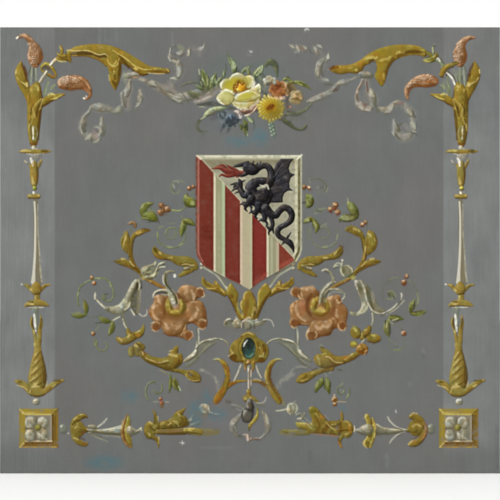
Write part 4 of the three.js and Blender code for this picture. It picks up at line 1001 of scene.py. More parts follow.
# The silver tulip and the trumpet leaf of each side: a lit blade folded about a dark one, with a spur.
model(((82, 80, 54), (100, 98, 74), (118, 116, 92), (138, 134, 108), (168, 164, 136)), oval(-197, -43, 15, 13, 8))
model(SILVER, [(-207, -53, 5), (-211, -44, 6), (-207, -36, 7), (-196, -32, 6), (-187, -28, 5), (-184, -23, 2)],
      [(-205, -54, 5), (-194, -54, 8), (-186, -49, 7), (-183, -41, 4), (-178, -31, 4), (-172, -26, 4), (-163, -24, 2)],
      [(-181, -40, 2), (-175, -35, 3.6), (-164, -33, 2)], rough=0.16)
touch((74, 72, 40), [(-201, -41, 3), (-195, -38, 3)], [(-204, -47, 2), (-197, -48, 3)], [(-200, -57, 2), (-190, -57.5, 3), (-184, -52, 2)],
      [(-181, -46, 2), (-179, -39, 4)], [(-177, -29, 1.5), (-166, -29, 2)], strength=0.7)
touch((206, 204, 170), [(-209, -41, 3), (-205, -37, 5), (-200, -34, 2)], [(-194, -53, 3), (-188, -50, 5), (-185, -45, 2)], [(-178, -28, 2), (-173, -26, 3.4)],
      [(-186, -30, 2), (-184.5, -24, 3)], [(-174, -34, 1.6), (-166, -33, 2)], strength=0.7)
touch((160, 154, 118), [(-201, -45, 2), (-195, -42, 3), (-192, -40, 2)], [(-182, -48, 1.6), (-179, -44, 2.4)], [(-187, -57, 4)] * 2, strength=0.6)
model(((76, 76, 46), (94, 94, 68), (114, 113, 88), (132, 129, 104), (160, 156, 130)), oval(198, -42, 14, 13, 8))
model(SILVER, [(189, -18, 2), (188, -30, 4), (187, -40, 5), (190, -50, 6), (196, -55, 3)],
      [(196, -31, 3), (203, -33, 6), (209, -40, 6), (209, -47, 4)], [(171, -35, 2), (176, -31, 4), (184, -32, 3)], strength=0.8)
touch((72, 74, 38), [(191, -34, 4), (192, -43, 5)], [(203, -52, 3), (208, -48, 4)], [(172, -37, 1.5), (179, -34, 3)], strength=0.7)
touch((196, 194, 168), [(189, -24, 2), (187.5, -34, 3), (187, -42, 3), (192, -51, 2)], [(200, -32, 2), (207, -36, 3), (210, -43, 2)], [(173, -33, 2), (178, -31, 3.4)],
      [(174, -29, 1.5), (180, -25.5, 2), (187, -28, 1.5)], strength=0.6)
touch(CHALK, ball(189.4, -20, 3), strength=0.8)
touch((166, 164, 84), oval(210, -54.5, 6, 4.5, 3), oval(-210, -55, 5, 4, 3), strength=0.6, soft=2.4)

model(SILVER, shape([(-213, -60), (-224, -58), (-232, -66), (-240, -82), (-249, -98), (-258, -108), (-270, -112), (-282, -112),
                     (-288, -116), (-280, -122), (-266, -127), (-252, -127), (-241, -121), (-235, -110), (-230, -94), (-225, -80)],
                    crown=12, smooth=True), soft=2.2)
model(SILVER, [(-280, -117, 8), (-290, -111, 6), (-299, -102, 5), (-306, -94, 4), (-305, -86, 2)])
touch((84, 80, 46), shape([(-222, -68), (-227, -82), (-232, -96), (-236, -108), (-230, -120), (-222, -130), (-219, -118), (-220, -96), (-216, -76)]),
      strength=0.9)
touch((126, 118, 94), [(-215, -76, 4), (-218, -92, 7), (-218, -110, 7), (-221, -124, 4)], strength=0.8)
touch((160, 154, 132), [(-214, -78, 2), (-215, -92, 2.4), (-215, -104, 2)], strength=0.5)
touch((60, 56, 32), [(-221, -66, 4), (-222, -76, 5), (-229, -92, 2)], [(-212, -64, 2), (-213, -76, 4)], strength=0.85)
touch((206, 200, 176), [(-218, -62, 1.6), (-216, -70, 2.4), (-218, -79, 1.6)], [(-233, -119, 2), (-227, -129, 3)], strength=0.8)
touch((206, 202, 168), [(-247, -102, 6), (-241, -108, 9)], strength=0.6, soft=4)
touch((220, 216, 188), [(-235, -104, 1.6), (-238, -113, 2.4), (-246, -119, 2)], strength=0.7)
touch((172, 168, 142), [(-229, -70, 3), (-238, -88, 5), (-248, -104, 4)], [(-260, -117, 5), (-274, -117, 4)], strength=0.5, soft=3)
touch((112, 108, 80), [(-232, -84, 2), (-238, -98, 3), (-240, -106, 2)], [(-280, -123, 3), (-264, -128, 4), (-246, -126, 3)], [(-281, -118, 5)] * 2, strength=0.6)
touch((212, 206, 194), [(-286, -116, 1.5), (-293, -109, 3), (-301, -101, 2)], [(-306, -97, 2), (-305, -90, 2.6), (-305, -85, 1.5)], strength=0.75)
touch((186, 180, 164), [(-217, -127, 2), (-211, -131.5, 2.6), (-204, -130, 2.6), (-201, -124, 3), (-202, -119, 1.6)], strength=0.8)
touch((112, 112, 84), [(-251, -127, 3), (-247, -140, 8), (-243, -155, 5)], strength=0.7)
touch((214, 210, 186), [(-250, -138, 2), (-247, -148, 3), (-243, -155, 2)], [(-269, -140, 1.5), (-262, -136, 2), (-256, -133, 1.5)], strength=0.75)

model(SILVER, shape([(216, -62), (228, -60), (236, -76), (240, -96), (243, -110), (238, -121), (228, -128), (216, -132), (206, -128),
                     (206, -122), (218, -124), (226, -116), (227, -104), (221, -88), (217, -74)], crown=9, smooth=True), rough=0.2, strength=0.85)
model(((76, 72, 46), (95, 91, 66), (113, 109, 86), (128, 124, 102), (152, 148, 126)),
      shape([(230, -64), (240, -70), (249, -84), (256, -100), (266, -114), (276, -121), (268, -128), (252, -126), (243, -114), (236, -92)],
            crown=9, smooth=True), soft=3)
touch((80, 76, 46), [(222, -70, 6), (226, -80, 7), (228, -88, 3)], [(238, -74, 4), (242, -90, 6), (247, -108, 5), (252, -118, 3)], strength=0.8, soft=2)
touch((150, 140, 122), [(249, -82, 3), (251, -94, 6), (252, -104, 3)], [(229, -84, 3), (231, -94, 3)], strength=0.6, soft=3)
touch((208, 202, 184), [(216, -62, 5), (216, -70, 3)], [(226, -61, 2), (233, -75, 3), (235, -88, 2.6), (238, -100, 2.4), (244, -113, 2.6), (251, -122, 3),
                                                        (262, -126, 3), (272, -126, 2)], strength=0.75)
touch((206, 204, 172), [(240, -110, 3), (236, -119, 5), (226, -126, 4), (214, -130, 3), (207, -126, 4)], strength=0.65)
touch((82, 80, 54), [(268, -131, 3), (282, -124, 4), (294, -115, 4), (304, -104, 3), (309, -96, 2)], strength=0.65)
touch((206, 202, 184), [(270, -126, 1.6), (282, -121, 2.4), (291, -115, 3), (299, -107, 2)], [(307, -99, 2), (308, -90, 3), (307, -86, 2)], strength=0.75)
touch((176, 174, 150), [(276, -129, 1.5), (292, -120, 2), (304, -110, 2), (313, -100, 1.5)], strength=0.7)
touch((112, 112, 84), [(252, -124, 3), (252, -140, 5), (250, -154, 4)], strength=0.7)
touch((204, 200, 176), [(249, -126, 2), (250, -140, 2.6), (247, -150, 2)], strength=0.7)

# The great copper flower of each side, turned differently: rolled petals run together about a yellow
# throat, into which a silver leaf curls down.
COPPER_SHADE = (104, 62, 28)
COPPER_RIM = (212, 188, 150)
model(COPPER, shape([(-140, -86), (-134, -74), (-124, -70), (-112, -71), (-100, -75), (-89, -82), (-92, -92), (-101, -98), (-91, -104), (-85, -118),
                     (-82, -132), (-81, -148), (-90, -157), (-101, -151), (-112, -146), (-122, -151), (-118, -162), (-110, -172), (-118, -180),
                     (-134, -175), (-148, -172), (-161, -170), (-169, -162), (-176, -152), (-184, -162), (-193, -154), (-188, -143), (-195, -133),
                     (-198, -123), (-192, -113), (-188, -102), (-186, -92), (-172, -89), (-158, -92)], crown=16, smooth=True), rough=0.14)
model(COPPER, shape([(104, -76), (118, -72), (130, -73), (141, -82), (146, -94), (158, -95), (170, -90), (184, -90), (188, -104), (197, -114), (200, -125),
                     (197, -142), (196, -154), (189, -160), (178, -156), (170, -160), (164, -170), (148, -172), (138, -177), (126, -180), (117, -173),
                     (118, -162), (122, -152), (104, -150), (90, -154), (84, -146), (86, -132), (84, -114), (92, -104), (103, -98), (88, -90), (88, -78),
                     (97, -74)], crown=16, smooth=True), rough=0.14)
for form in (shape([(-141, -86), (-136, -76), (-126, -70), (-113, -71), (-103, -76), (-99, -88), (-104, -98), (-120, -104), (-136, -100)], 10, True),
             shape([(-116, -101), (-99, -103), (-88, -109), (-83, -122), (-85, -136), (-95, -143), (-112, -142), (-122, -134), (-124, -118)], 12, True),
             shape([(-166, -94), (-176, -90), (-186, -94), (-187, -105), (-194, -113), (-198, -123), (-193, -133), (-186, -142), (-172, -142),
                    (-164, -126), (-162, -108)], 12, True),
             shape([(-178, -142), (-173, -152), (-168, -163), (-160, -170), (-147, -171), (-134, -166), (-126, -154), (-130, -142), (-148, -138),
                    (-166, -138)], 12, True),
             shape([(104, -78), (118, -73), (131, -75), (140, -84), (138, -94), (122, -98), (108, -96)], 9, True),
             shape([(102, -100), (92, -104), (85, -116), (86, -132), (94, -146), (112, -148), (106, -138), (98, -124), (97, -110)], 9, True),
             shape([(180, -96), (188, -106), (197, -115), (200, -126), (197, -142), (186, -146), (176, -138), (176, -116)], 10, True),
             shape([(126, -150), (134, -140), (160, -140), (172, -136), (170, -158), (162, -169), (146, -171), (130, -166)], 12, True)):
    model(COPPER, form, soft=5, strength=0.8, rough=0.14)
for x, z in ((-184, -152), (-90.5, -148), (-119, -170), (-95, -84), (96, -83), (93, -145), (127, -169), (189, -151)):
    model(COPPER, oval(x, z, 10, 10, 5), soft=2, strength=0.8)
    touch((96, 50, 22), oval(x + 0.5, z - 0.5, 6.5, 6.5, 4), strength=0.7, soft=3.6)
touch(COPPER_SHADE, coil(-144, -114, 25, 24, 50, 330, 9), coil(145, -112, 27, 27, 70, 350, 9), strength=0.5, soft=5)
touch((80, 46, 20), [(-139, -88, 4), (-137, -94, 6), (-128, -97, 3)], [(-172, -146, 3), (-176, -141, 4)], [(127, -88, 4), (121, -100, 7), (119, -116, 7), (126, -130, 5)],
      strength=0.6, soft=4)
touch(COPPER_SHADE, [(-120, -104, 1.6), (-110, -101, 3), (-99, -102, 2)], [(-92, -110, 3), (-88, -122, 5), (-90, -134, 4)],
      [(-126, -150, 3), (-130, -160, 3), (-138, -168, 3)], [(-168, -166, 3), (-154, -171, 4), (-140, -172, 4)], [(-178, -106, 4), (-186, -108, 2)],
      [(-168, -94, 3), (-166, -110, 4), (-168, -128, 4)], [(172, -100, 3), (173, -118, 4), (170, -132, 3)], [(124, -144, 3), (132, -138, 3)],
      [(176, -148, 3), (174, -156, 3)], [(134, -176, 2), (148, -171, 4), (162, -168, 3)], strength=0.5, soft=3)
touch((158, 96, 70), oval(110, -113, 6, 16, 6), strength=0.5, soft=6)
touch((110, 68, 34), oval(176, -118, 14, 20, 8), oval(150, -163, 20, 8, 6), oval(100, -138, 10, 8, 6), oval(120, -93, 16, 6, 5), strength=0.3, soft=8)
touch(COPPER_LIGHT, [(-124, -74, 4), (-123, -82, 7), (-126, -87, 3)], [(-112, -80, 4), (-108, -90, 6), (-108, -99, 3)], [(-101, -124, 4), (-107, -133, 8), (-115, -140, 5)],
      [(-103, -112, 4), (-100, -120, 4)], [(-185, -111, 3), (-190, -119, 5), (-188, -130, 4), (-182, -138, 6), (-177, -139, 3)], [(-181, -92, 3), (-178, -101, 6), (-176, -106, 3)],
      [(-166, -146, 3), (-162, -154, 8), (-159, -156, 4)], [(-152, -148, 3), (-146, -155, 8), (-138, -154, 5), (-134, -150, 2)], strength=0.65, soft=3)
touch(COPPER_LIGHT, [(99, -103, 2), (96, -114, 4), (99, -126, 5), (106, -136, 4), (115, -142, 3)], [(108, -77, 4), (115, -77, 8), (119, -78, 4)], [(122, -74, 4), (129, -75, 8), (134, -78, 3)],
      [(107, -82, 2), (109, -92, 3)], [(134, -150, 3), (141, -156, 7), (147, -155, 6), (151, -149, 2)], [(154, -153, 5), (161, -152, 7), (168, -143, 3)], [(170, -136, 2), (177, -142, 3)],
      [(178, -119, 2), (178, -130, 5), (180, -135, 2)], strength=0.6, soft=3)
touch(COPPER_RIM, [(-124, -148, 1.6), (-127, -158, 2.6), (-133, -170, 2)], [(-112, -162, 1.6), (-110, -171, 3), (-117, -179, 2)], [(-191, -159, 1.6), (-184, -162, 2.4), (-178, -160, 1.6)],
      [(-193, -146, 1.6), (-184, -143, 2), (-177, -146, 1.6)], [(-98, -140, 1.6), (-91, -138, 2.6), (-84, -141, 2)], [(-97, -156, 2), (-90, -158, 2.6), (-85, -155, 2)],
      [(-101, -77, 1.6), (-95, -75, 2), (-90, -78, 2)], [(-88, -84, 2), (-87, -91, 2), (-92, -94, 1.6)], [(-112, -103, 1.4), (-100, -103, 1.6)], strength=0.6)
touch(COPPER_RIM, [(89, -77, 2), (86, -84, 2.4), (90, -91, 2)], [(101, -89, 3), (104, -95, 3), (111, -97, 2)], [(86, -151, 2), (92, -155, 3), (98, -153, 2)],
      [(119, -162, 2), (117, -170, 2.4), (120, -178, 2)], [(136, -163, 2), (138, -170, 3), (134, -176, 2)], [(181, -148, 1.6), (184, -158, 2.4), (192, -160, 3), (196, -155, 2)],
      [(178, -99, 2), (181, -105, 3.4), (188, -102, 2)], [(108, -147, 1.5), (122, -148, 1.6)], strength=0.6)
THROAT = ((78, 62, 16), (110, 86, 30), (138, 112, 44), (158, 136, 58), (184, 168, 88))
model(THROAT, coil(-144, -112, 15, 14, 110, 400, 15), coil(146, -113, 15, 14, 110, 400, 13), soft=4, strength=0.9)
touch((112, 76, 24), [(-158, -128, 4), (-144, -132, 7), (-130, -128, 4)], [(130, -126, 4), (146, -131, 8), (162, -124, 5)], strength=0.7, soft=4)
touch((74, 68, 16), [(-127, -104, 4), (-126, -116, 8), (-131, -124, 4)], [(-155, -112, 3), (-151, -119, 3)], [(137, -104, 3), (135, -116, 5)],
      [(155, -106, 4), (156, -116, 5)], strength=0.6, soft=3)
touch((196, 184, 96), [(-159, -108, 4), (-158, -117, 5)], [(-153, -123, 5), (-146, -122, 6), (-141, -121, 3)], [(-134, -99, 3), (-132, -108, 4)],
      [(131, -98, 4), (132, -107, 5)], [(139, -120, 5), (146, -118, 8), (151, -121, 4)], [(164, -104, 2), (166, -112, 3)], strength=0.6, soft=3)
model(SILVER, [(-163, -62, 8), (-161, -76, 8), (-156, -86, 12), (-150, -97, 15), (-147, -108, 12)], strength=0.9)
model(SILVER, [(-190, -92, 3), (-185, -84, 4), (-173, -80, 5), (-160, -82, 6), (-152, -88, 8)], strength=0.9)
model(((82, 80, 54), (100, 98, 74), (120, 118, 94), (138, 134, 110), (168, 164, 138)), [(-147, -43, 4), (-155, -42, 5), (-163, -46, 7), (-165, -56, 8), (-164, -66, 6)])
touch((62, 56, 28), [(-164, -46, 1.5), (-165, -56, 2.4), (-163, -68, 3), (-154, -78, 3), (-145, -90, 3.4), (-141, -105, 3)],
      [(-184, -87, 2), (-175, -84.5, 3), (-162, -86, 3)], strength=0.8)
touch((184, 178, 150), [(-152, -78, 1.5), (-142, -91, 2.4), (-138, -106, 2)], [(-172, -88, 1.6), (-162, -89, 2)], strength=0.5)
touch((208, 202, 182), [(-190, -94, 2), (-185, -84, 2.4), (-173, -79, 2.4), (-160, -79, 1.6)], [(-169, -50, 1.6), (-169.5, -60, 2), (-167, -68, 1.6)], strength=0.7)
touch(CHALK, [(-151, -98, 5), (-148, -104, 6)], oval(-146, -51, 2.4, 3.6, 2.4), strength=0.75, soft=2)
touch((172, 182, 154), [(-156, -86, 6), (-151, -94, 6)], strength=0.5, soft=3)
touch((164, 152, 146), ball(-145, -112, 7), strength=0.7, soft=3)
model(SILVER, [(170, -64, 7), (160, -72, 9), (151, -83, 10), (146, -96, 8), (144, -108, 4)], strength=0.85)
model(SILVER, [(192, -98, 3), (194, -89, 4), (187, -81, 4), (174, -77, 5), (162, -80, 5), (155, -90, 6), (153, -104, 4)], strength=0.85)
model(((82, 80, 54), (100, 98, 74), (120, 118, 94), (138, 134, 110), (168, 164, 138)), [(148, -42, 2), (154, -39, 4), (162, -42, 5), (168, -49, 7), (171, -58, 7), (171, -66, 5)])
touch((70, 64, 34), [(164, -80, 2), (156, -88, 3), (151, -98, 4), (150, -110, 3)], [(156, -43, 1.5), (163, -46, 2.4)], strength=0.7)
touch((200, 196, 176), [(167, -64, 2), (155, -75, 3.4), (147, -87, 2.6), (144, -103, 2.4)], [(194, -86, 1.6), (194, -93, 2.6), (189, -98, 2)], [(180, -78, 1.6), (166, -78, 2.4)],
      [(149, -41, 2), (155, -38, 3), (160, -39, 2)], [(172, -54, 1.5), (174, -63, 2)], strength=0.65)
touch((180, 172, 140), [(187, -84, 1.5), (174, -83, 2), (163, -88, 2), (160, -98, 2)], strength=0.5)
for x in (-98, 100):
    touch((96, 96, 72), [(x - 4, -158, 2), (x - 4, -180, 2)], strength=0.6)
    touch((196, 196, 172), [(x - 1, -158, 2), (x, -170, 2.4), (x, -186, 2)], strength=0.7)

touch((136, 133, 124), [(-92, -239, 3), (-82, -244, 4), (-72, -249, 5), (-63, -258, 6), (-60, -272, 7), (-60, -283, 3)], strength=0.6, soft=4)
touch((168, 166, 152), [(-94, -240, 3), (-90, -240, 5)], [(-66, -254, 2), (-62, -264, 3)], strength=0.5, soft=3)
touch((150, 148, 138), [(58, -278, 4), (62, -270, 9), (66, -262, 7), (76, -256, 9), (86, -250, 9), (92, -248, 4)], strength=0.7, soft=4)
touch((160, 158, 144), [(84, -247, 1.6), (92, -237, 2.6), (104, -233, 3), (118, -234, 2)], [(64, -266, 3), (70, -258, 3)], strength=0.5, soft=3)
touch((92, 92, 76), [(96, -240, 2), (108, -237, 2), (118, -238, 1.4)], strength=0.4, soft=3)

# The middle of the arabesque under the shield: a fan of gold leaves in a silver calyx, a gold plate
# set with one dark polished stone, white rods and gold horns, and a ribbon tied round a hanging acorn.
for side in (-1, 1):
    model(GOLD, [(-90, -55, 4), (-86, -66, 12), (-73, -74, 14), (-58, -79, 14), (-46, -87, 11)], [(-65, -63, 5), (-61, -72, 11), (-56, -78, 10)])
    touch(RUST, [(-66, -70, 3), (-60, -78, 4)], strength=0.6)
    touch(DEEP_GOLD, [(-88, -60, 4), (-82, -68, 5), (-74, -72, 2)], [(-74, -79, 3), (-56, -84, 4), (-46, -92, 3)], strength=0.5)
    touch(PALE_GOLD, [(-62, -64, 3), (-64, -70, 2)], [(-82, -76, 1.5), (-70, -77, 2), (-62, -74, 2)], [(-54, -76, 2), (-48, -84, 2)], strength=0.6)
    touch((136, 136, 112), [(-90, -33, 4), (-74, -41, 5), (-60, -50, 5), (-48, -64, 5), (-41, -77, 4)], strength=0.8)
    touch((188, 188, 164), [(-88, -35, 2), (-74, -43, 2), (-61, -52, 2), (-50, -66, 2), (-42, -77, 3)], strength=0.7)
    touch((92, 88, 66), [(-86, -31, 1.5), (-70, -39, 1.6), (-55, -52, 2), (-44, -70, 2)], strength=0.5)
    touch(PEARL, [(-42, -74, 3), (-40, -79, 3)], strength=0.6)
    model(GOLD, [(-66, -219, 3), (-57, -219, 6), (-48, -226, 10), (-42, -239, 11), (-40, -255, 11), (-44, -270, 13), (-52, -285, 15), (-61, -298, 15), (-64, -304, 8)],
          [(-48, -280, 8), (-38, -271, 9), (-28, -265, 8), (-18, -262, 6), (0, -261, 3)])
    touch(RUST, [(-48, -231, 6), (-44, -236, 4)], [(-40, -270, 3), (-30, -264, 4), (-22, -263, 2)], strength=0.55)
    touch(DEEP_GOLD, [(-44, -250, 3), (-48, -268, 4), (-56, -286, 3)], [(-34, -270, 2), (-26, -263, 3)], strength=0.45)
    touch((168, 178, 150), [(-68, -218, 2), (-60, -217, 3), (-54, -220, 1)], strength=0.6)

side = 1
touch((150, 86, 28), [(-48, -276, 5), (-56, -290, 12), (-62, -302, 11)], [(-40, -236, 6), (-38, -256, 6)], [(-24, -264, 3), (-36, -270, 5)], strength=0.55, soft=3)
touch(PALE_GOLD, [(-36, -245, 1.5), (-35.5, -256, 1.5)], [(36, -240, 2), (35, -254, 2.4), (39, -266, 2)], [(12, -258, 2), (20, -258, 3), (27, -262, 2)], strength=0.6)
touch((96, 60, 20), [(46, -234, 3), (44, -250, 7), (47, -266, 8), (57, -283, 7), (65, -298, 5)], [(26, -266, 3), (34, -270, 5)], [(30, -263, 2), (12, -264, 2)], strength=0.75, soft=3)
touch((134, 124, 48), [(52, -274, 2), (60, -286, 3), (69, -298, 4), (72, -308, 5)], [(48, -284, 3), (56, -296, 4), (62, -306, 4)], strength=0.6, soft=3)
model(GOLD, shape([(-34, -66), (-40, -74), (-43, -86), (-36, -99), (-28, -114), (-23, -127), (-15, -141), (-8, -136), (-14, -124), (-19, -112), (-20, -100),
                   (-18, -88), (-25, -76)], crown=8, smooth=True))
model(GOLD, shape([(2, -80), (-5, -84), (-9, -94), (-13, -104), (-14, -114), (-10, -126), (-9, -138), (10, -139), (16, -128), (19, -116), (18, -104), (13, -92), (9, -84)],
                  crown=9, smooth=True))
model(GOLD, shape([(36, -66), (27, -74), (21, -84), (20, -98), (20, -112), (17, -124), (10, -137), (20, -137), (27, -119), (36, -102), (46, -90), (47, -80), (42, -72)],
                  crown=8, smooth=True))
touch((92, 54, 16), ball(-32, -92, 9), strength=0.7, soft=4)
touch((84, 66, 20), [(-28, -102, 3), (-22, -122, 4), (-15, -136, 4)], [(-22, -86, 2), (-22, -104, 3)], strength=0.5, soft=3)
touch((164, 156, 82), [(-34, -68, 3), (-39, -78, 4), (-40, -88, 2)], [(-21, -106, 2), (-20, -120, 3), (-13, -131, 3)], strength=0.6)
touch((142, 140, 104), [(-17, -104, 3), (-18, -114, 4), (-12, -124, 4)], strength=0.7)
touch((84, 84, 62), [(-16, -98, 2), (-17, -112, 2), (-11, -123, 2.4), (-8, -128, 1.4)], strength=0.7)
touch((112, 70, 24), [(0, -100, 5), (-1, -108, 8), (-4, -118, 8), (-5, -132, 4)], strength=0.65, soft=4)
touch((146, 100, 30), oval(1, -92, 7, 7, 4), strength=0.45, soft=5)
touch((198, 178, 108), [(-4, -84, 2), (-7.5, -90, 3), (-7, -98, 2)], [(-12, -102, 2), (-14, -108, 3), (-12, -118, 2)], [(-10, -126, 2), (-11, -134, 3)],
      [(12, -114, 2), (10, -126, 3.4), (8, -134, 2)], strength=0.65)
touch((182, 148, 108), [(15, -114, 2), (16, -122, 5)], [(14, -96, 1.6), (15, -106, 2)], strength=0.6)
touch((70, 46, 10), [(15, -126, 4), (14, -134, 5)], [(45, -84, 3), (34, -100, 5), (26, -116, 7), (19, -131, 5)], [(-40, -90, 2), (-32, -104, 3), (-24, -122, 3)], strength=0.7, soft=2.4)
touch((128, 128, 44), [(38, -74, 4), (30, -84, 6), (26, -98, 5)], [(-30, -78, 5), (-24, -92, 4)], [(4, -94, 5), (6, -110, 5)], strength=0.4, soft=5)
touch((86, 56, 18), [(10, -87, 2), (15, -98, 3), (17, -112, 2)], [(28, -219, 6), (34, -212, 4), (38, -199, 4), (33, -190, 3)], [(-34, -200, 2), (-30, -216, 4)], strength=0.55, soft=3)
touch((190, 176, 104), [(25, -77, 2), (21.5, -88, 3), (21, -104, 3), (19, -116, 2)], [(30, -72, 2), (36, -68, 3)], strength=0.6)
touch((122, 124, 84), oval(-37, -146, 9, 8, 5), strength=0.5, soft=4)
model(SILVER, [(-46, -152, 2), (-46, -145, 4), (-41, -139.5, 4), (-34, -138, 4)], oval(-21, -147, 10, 10, 8), strength=0.9)
model(SILVER, [(1, -152, 15), (2, -146, 18)], oval(7, -147, 9, 9, 8), [(16, -148, 10), (24, -146, 10), (34, -141, 5)], strength=0.85)
touch((128, 118, 94), [(18, -150, 4), (26, -146, 7), (34, -142, 4)], [(-3, -144, 6), (-4, -152, 5)], strength=0.6, soft=3)
touch((78, 72, 46), [(-36, -143, 2), (-30, -142, 4)], [(-43, -148, 2), (-41, -146, 3)], [(-10, -147, 4), (-8, -154, 4)], [(13, -144, 2), (14, -156, 3)], [(29, -143, 2), (36, -141, 2.4)],
      strength=0.65)
touch((216, 198, 170), [(-12.5, -153, 2), (-12, -145, 3), (-7, -140, 2.4), (-2, -136, 2.4), (3, -134.5, 3), (6, -136, 1.6)], strength=0.75)
touch(PEARL, [(-44, -141, 2), (-39, -137.5, 2.4), (-35, -138, 1)], [(-23.5, -134, 2), (-22, -137, 2.4)], [(-21, -144, 3), (-19, -146, 3)], [(13, -141, 2), (18, -138.5, 3)],
      strength=0.7)
touch(PEARL, [(31, -138.5, 1.6), (41, -138.5, 1.8), (48, -142, 1.4), (52, -152, 1)], strength=0.6)
touch((178, 184, 150), [(5, -142, 4), (9, -146, 5)], strength=0.55, soft=2.4)
touch(SILVER[1], [(-30, -158, 1), (-16, -161, 2.4), (0, -161, 2)], [(8, -161, 2), (20, -161, 2), (26, -157, 1)], strength=0.6)
plate = [(2, -163), (-10, -167), (-18, -176), (-30, -184), (-37, -198), (-36, -212), (-29, -222), (-16, -224), (2, -228),
         (20, -225), (34, -222), (42, -210), (42, -196), (34, -184), (22, -176), (14, -167)]
model(DULL_GOLD, shape(plate, crown=7, smooth=True), rough=0.16)
touch((84, 54, 14), oval(-29, -214, 8, 7, 4), [(-27, -221, 3), (-20, -223, 4)], oval(27, -220, 8, 5, 4), [(32, -190, 5), (34, -200, 7), (32, -208, 4)], [(-10, -168, 2), (-13, -174, 3)], strength=0.8, soft=2.4)
touch((150, 122, 50), oval(24, -204, 7, 7, 3), [(-22, -186, 4), (-24, -196, 6)], strength=0.5, soft=4)
touch(DEEP_GOLD, [(-36, -206, 3), (-34, -214, 4)], [(-14, -182, 2), (-18, -198, 2), (-14, -214, 2)], [(20, -184, 2), (24, -200, 2), (16, -218, 2)], strength=0.4)
touch(PALE_GOLD, [(-33, -200, 3), (-30, -206, 4)], [(20, -196, 4), (24, -195, 3)], [(24, -212, 2), (30, -211, 3), (32, -205, 2)], [(-10, -208, 2), (-8, -218, 3)],
      [(-12, -170, 1.5), (0, -165, 2.4), (10, -168, 1.5)], [(-38, -212, 2), (-33, -208, 2)], strength=0.6)
model(GOLD, coil(2, -196, 17, 17, 0, 360, 7))
touch((38, 44, 36), oval(2, -196, 13.5, 21, 6), strength=1, patchy=0)
touch((46, 58, 50), oval(3, -199, 11, 17, 8), strength=0.9, patchy=0)
touch((50, 86, 80), oval(4, -206, 9, 10, 6), strength=0.7, soft=6)
touch((84, 120, 104), [(-6, -208, 2), (0, -213, 4), (8, -210, 4), (13, -200, 3), (14, -190, 1)], strength=0.75, soft=3)
touch((122, 146, 104), [(4, -213, 1.5), (10, -208, 2.4), (14, -198, 1.4)], strength=0.55)
touch((20, 22, 26), [(2, -186, 8), (4, -196, 7)], strength=0.5, soft=5)
touch(CHALK, [(-8, -192, 1.6), (-6, -186, 3), (-1, -180, 2)], strength=0.9)

model(BROWN, [(2, -224, 8), (-4, -230, 6), (-5, -240, 3)], [(12, -224, 6), (12, -234, 5), (8, -242, 3)])
model(GOLD, [(10, -226, 8), (13, -236, 4)], [(-6, -226, 6), (-3, -232, 3)])
for path in ([(-14, -229, 4), (-20, -245, 4), (-28, -262, 3)], [(17, -232, 4), (21, -244, 4), (27, -255, 3)]):
    touch((120, 116, 92), [(x + 2, z - 1, 0.7 * w) for x, z, w in path], strength=0.6)
    touch((206, 198, 180), [(x, z, 0.62 * w) for x, z, w in path], strength=0.75)
model(SILVER, [(3, -234, 7), (3.5, -276, 7)], strength=0.8)
touch((104, 80, 62), [(4, -240, 2.4), (4, -274, 2)], strength=0.7)
touch((228, 214, 200), [(1.2, -236, 2), (1.5, -276, 2.2)], [(6.4, -240, 1.2), (6.2, -272, 1.2)], strength=0.8)
model(GOLD, oval(2, -284, 5, 7, 5), oval(-2, -296, 8, 7, 5), [(4, -292, 8), (12, -297, 8), (20, -303, 4)])
touch(PALE_GOLD, ball(-1, -281, 4), ball(-5, -296, 5), ball(5, -295, 3), strength=0.7)
touch((84, 56, 22), [(5, -286, 3), (5, -290, 3)], [(-6, -302, 2), (2, -303, 3)], strength=0.6)
touch((140, 150, 90), [(16, -304, 2), (21, -305, 4)], strength=0.7)
touch((196, 192, 176), [(37, -294, 1), (34, -302, 2.4), (27, -306, 2), (18, -305, 1.4)], strength=0.7)
touch(SILVER[2], [(34, -304, 1), (26, -308, 2)], [(-28, -306, 1), (-18, -311, 3), (-8, -315, 2)], strength=0.7)
touch((90, 92, 62), [(18, -308, 3), (26, -310, 5), (32, -312, 2)], [(16, -314, 4), (22, -318, 4)], [(-32, -315, 2), (-18, -314, 3), (-10, -318, 2)], strength=0.55)
touch((84, 72, 56), [(-42, -303, 5), (-34, -304, 6)], strength=0.5, soft=3)

RIBBON = ((84, 82, 68), (104, 102, 88), (126, 123, 110), (146, 143, 128), (174, 170, 154))
PINK_RIBBON = ((90, 78, 66), (112, 99, 86), (136, 122, 108), (158, 144, 128), (188, 176, 160))
model(RIBBON, [(-12, -328, 6), (-21, -337, 10), (-29, -347, 14), (-30, -358, 11), (-25, -367, 6), (-18, -373, 4)], strength=0.8, soft=2.4)
model(RIBBON, [(30, -324, 6), (36, -334, 10), (41, -346, 13), (41, -358, 11), (36, -367, 7), (29, -374, 5), (22, -377, 4)], strength=0.8, soft=2.4)
touch(PEARL, [(36, -328, 2), (38, -336, 4), (40, -346, 3)], [(-24, -340, 3), (-32, -350, 4)], [(-26, -352, 2), (-23, -362, 2)], strength=0.45)
touch((104, 100, 82), [(-22, -348, 2), (-23, -360, 3), (-20, -370, 2)], [(38, -352, 2), (35, -364, 3)], strength=0.55)
touch((74, 74, 58), [(-18, -371, 4), (-12, -372, 5)], strength=0.65, soft=3)
model(PINK_RIBBON, [(-8, -370, 5), (-1, -372, 10), (2, -378, 9), (8, -377, 6), (18, -377, 5), (27, -376, 2)], strength=0.85)
touch((226, 206, 196), [(-1, -370, 3), (0, -380, 4)], strength=0.65)
touch((98, 74, 58), [(9, -375, 2), (16, -378, 4), (24, -380, 2)], strength=0.55)
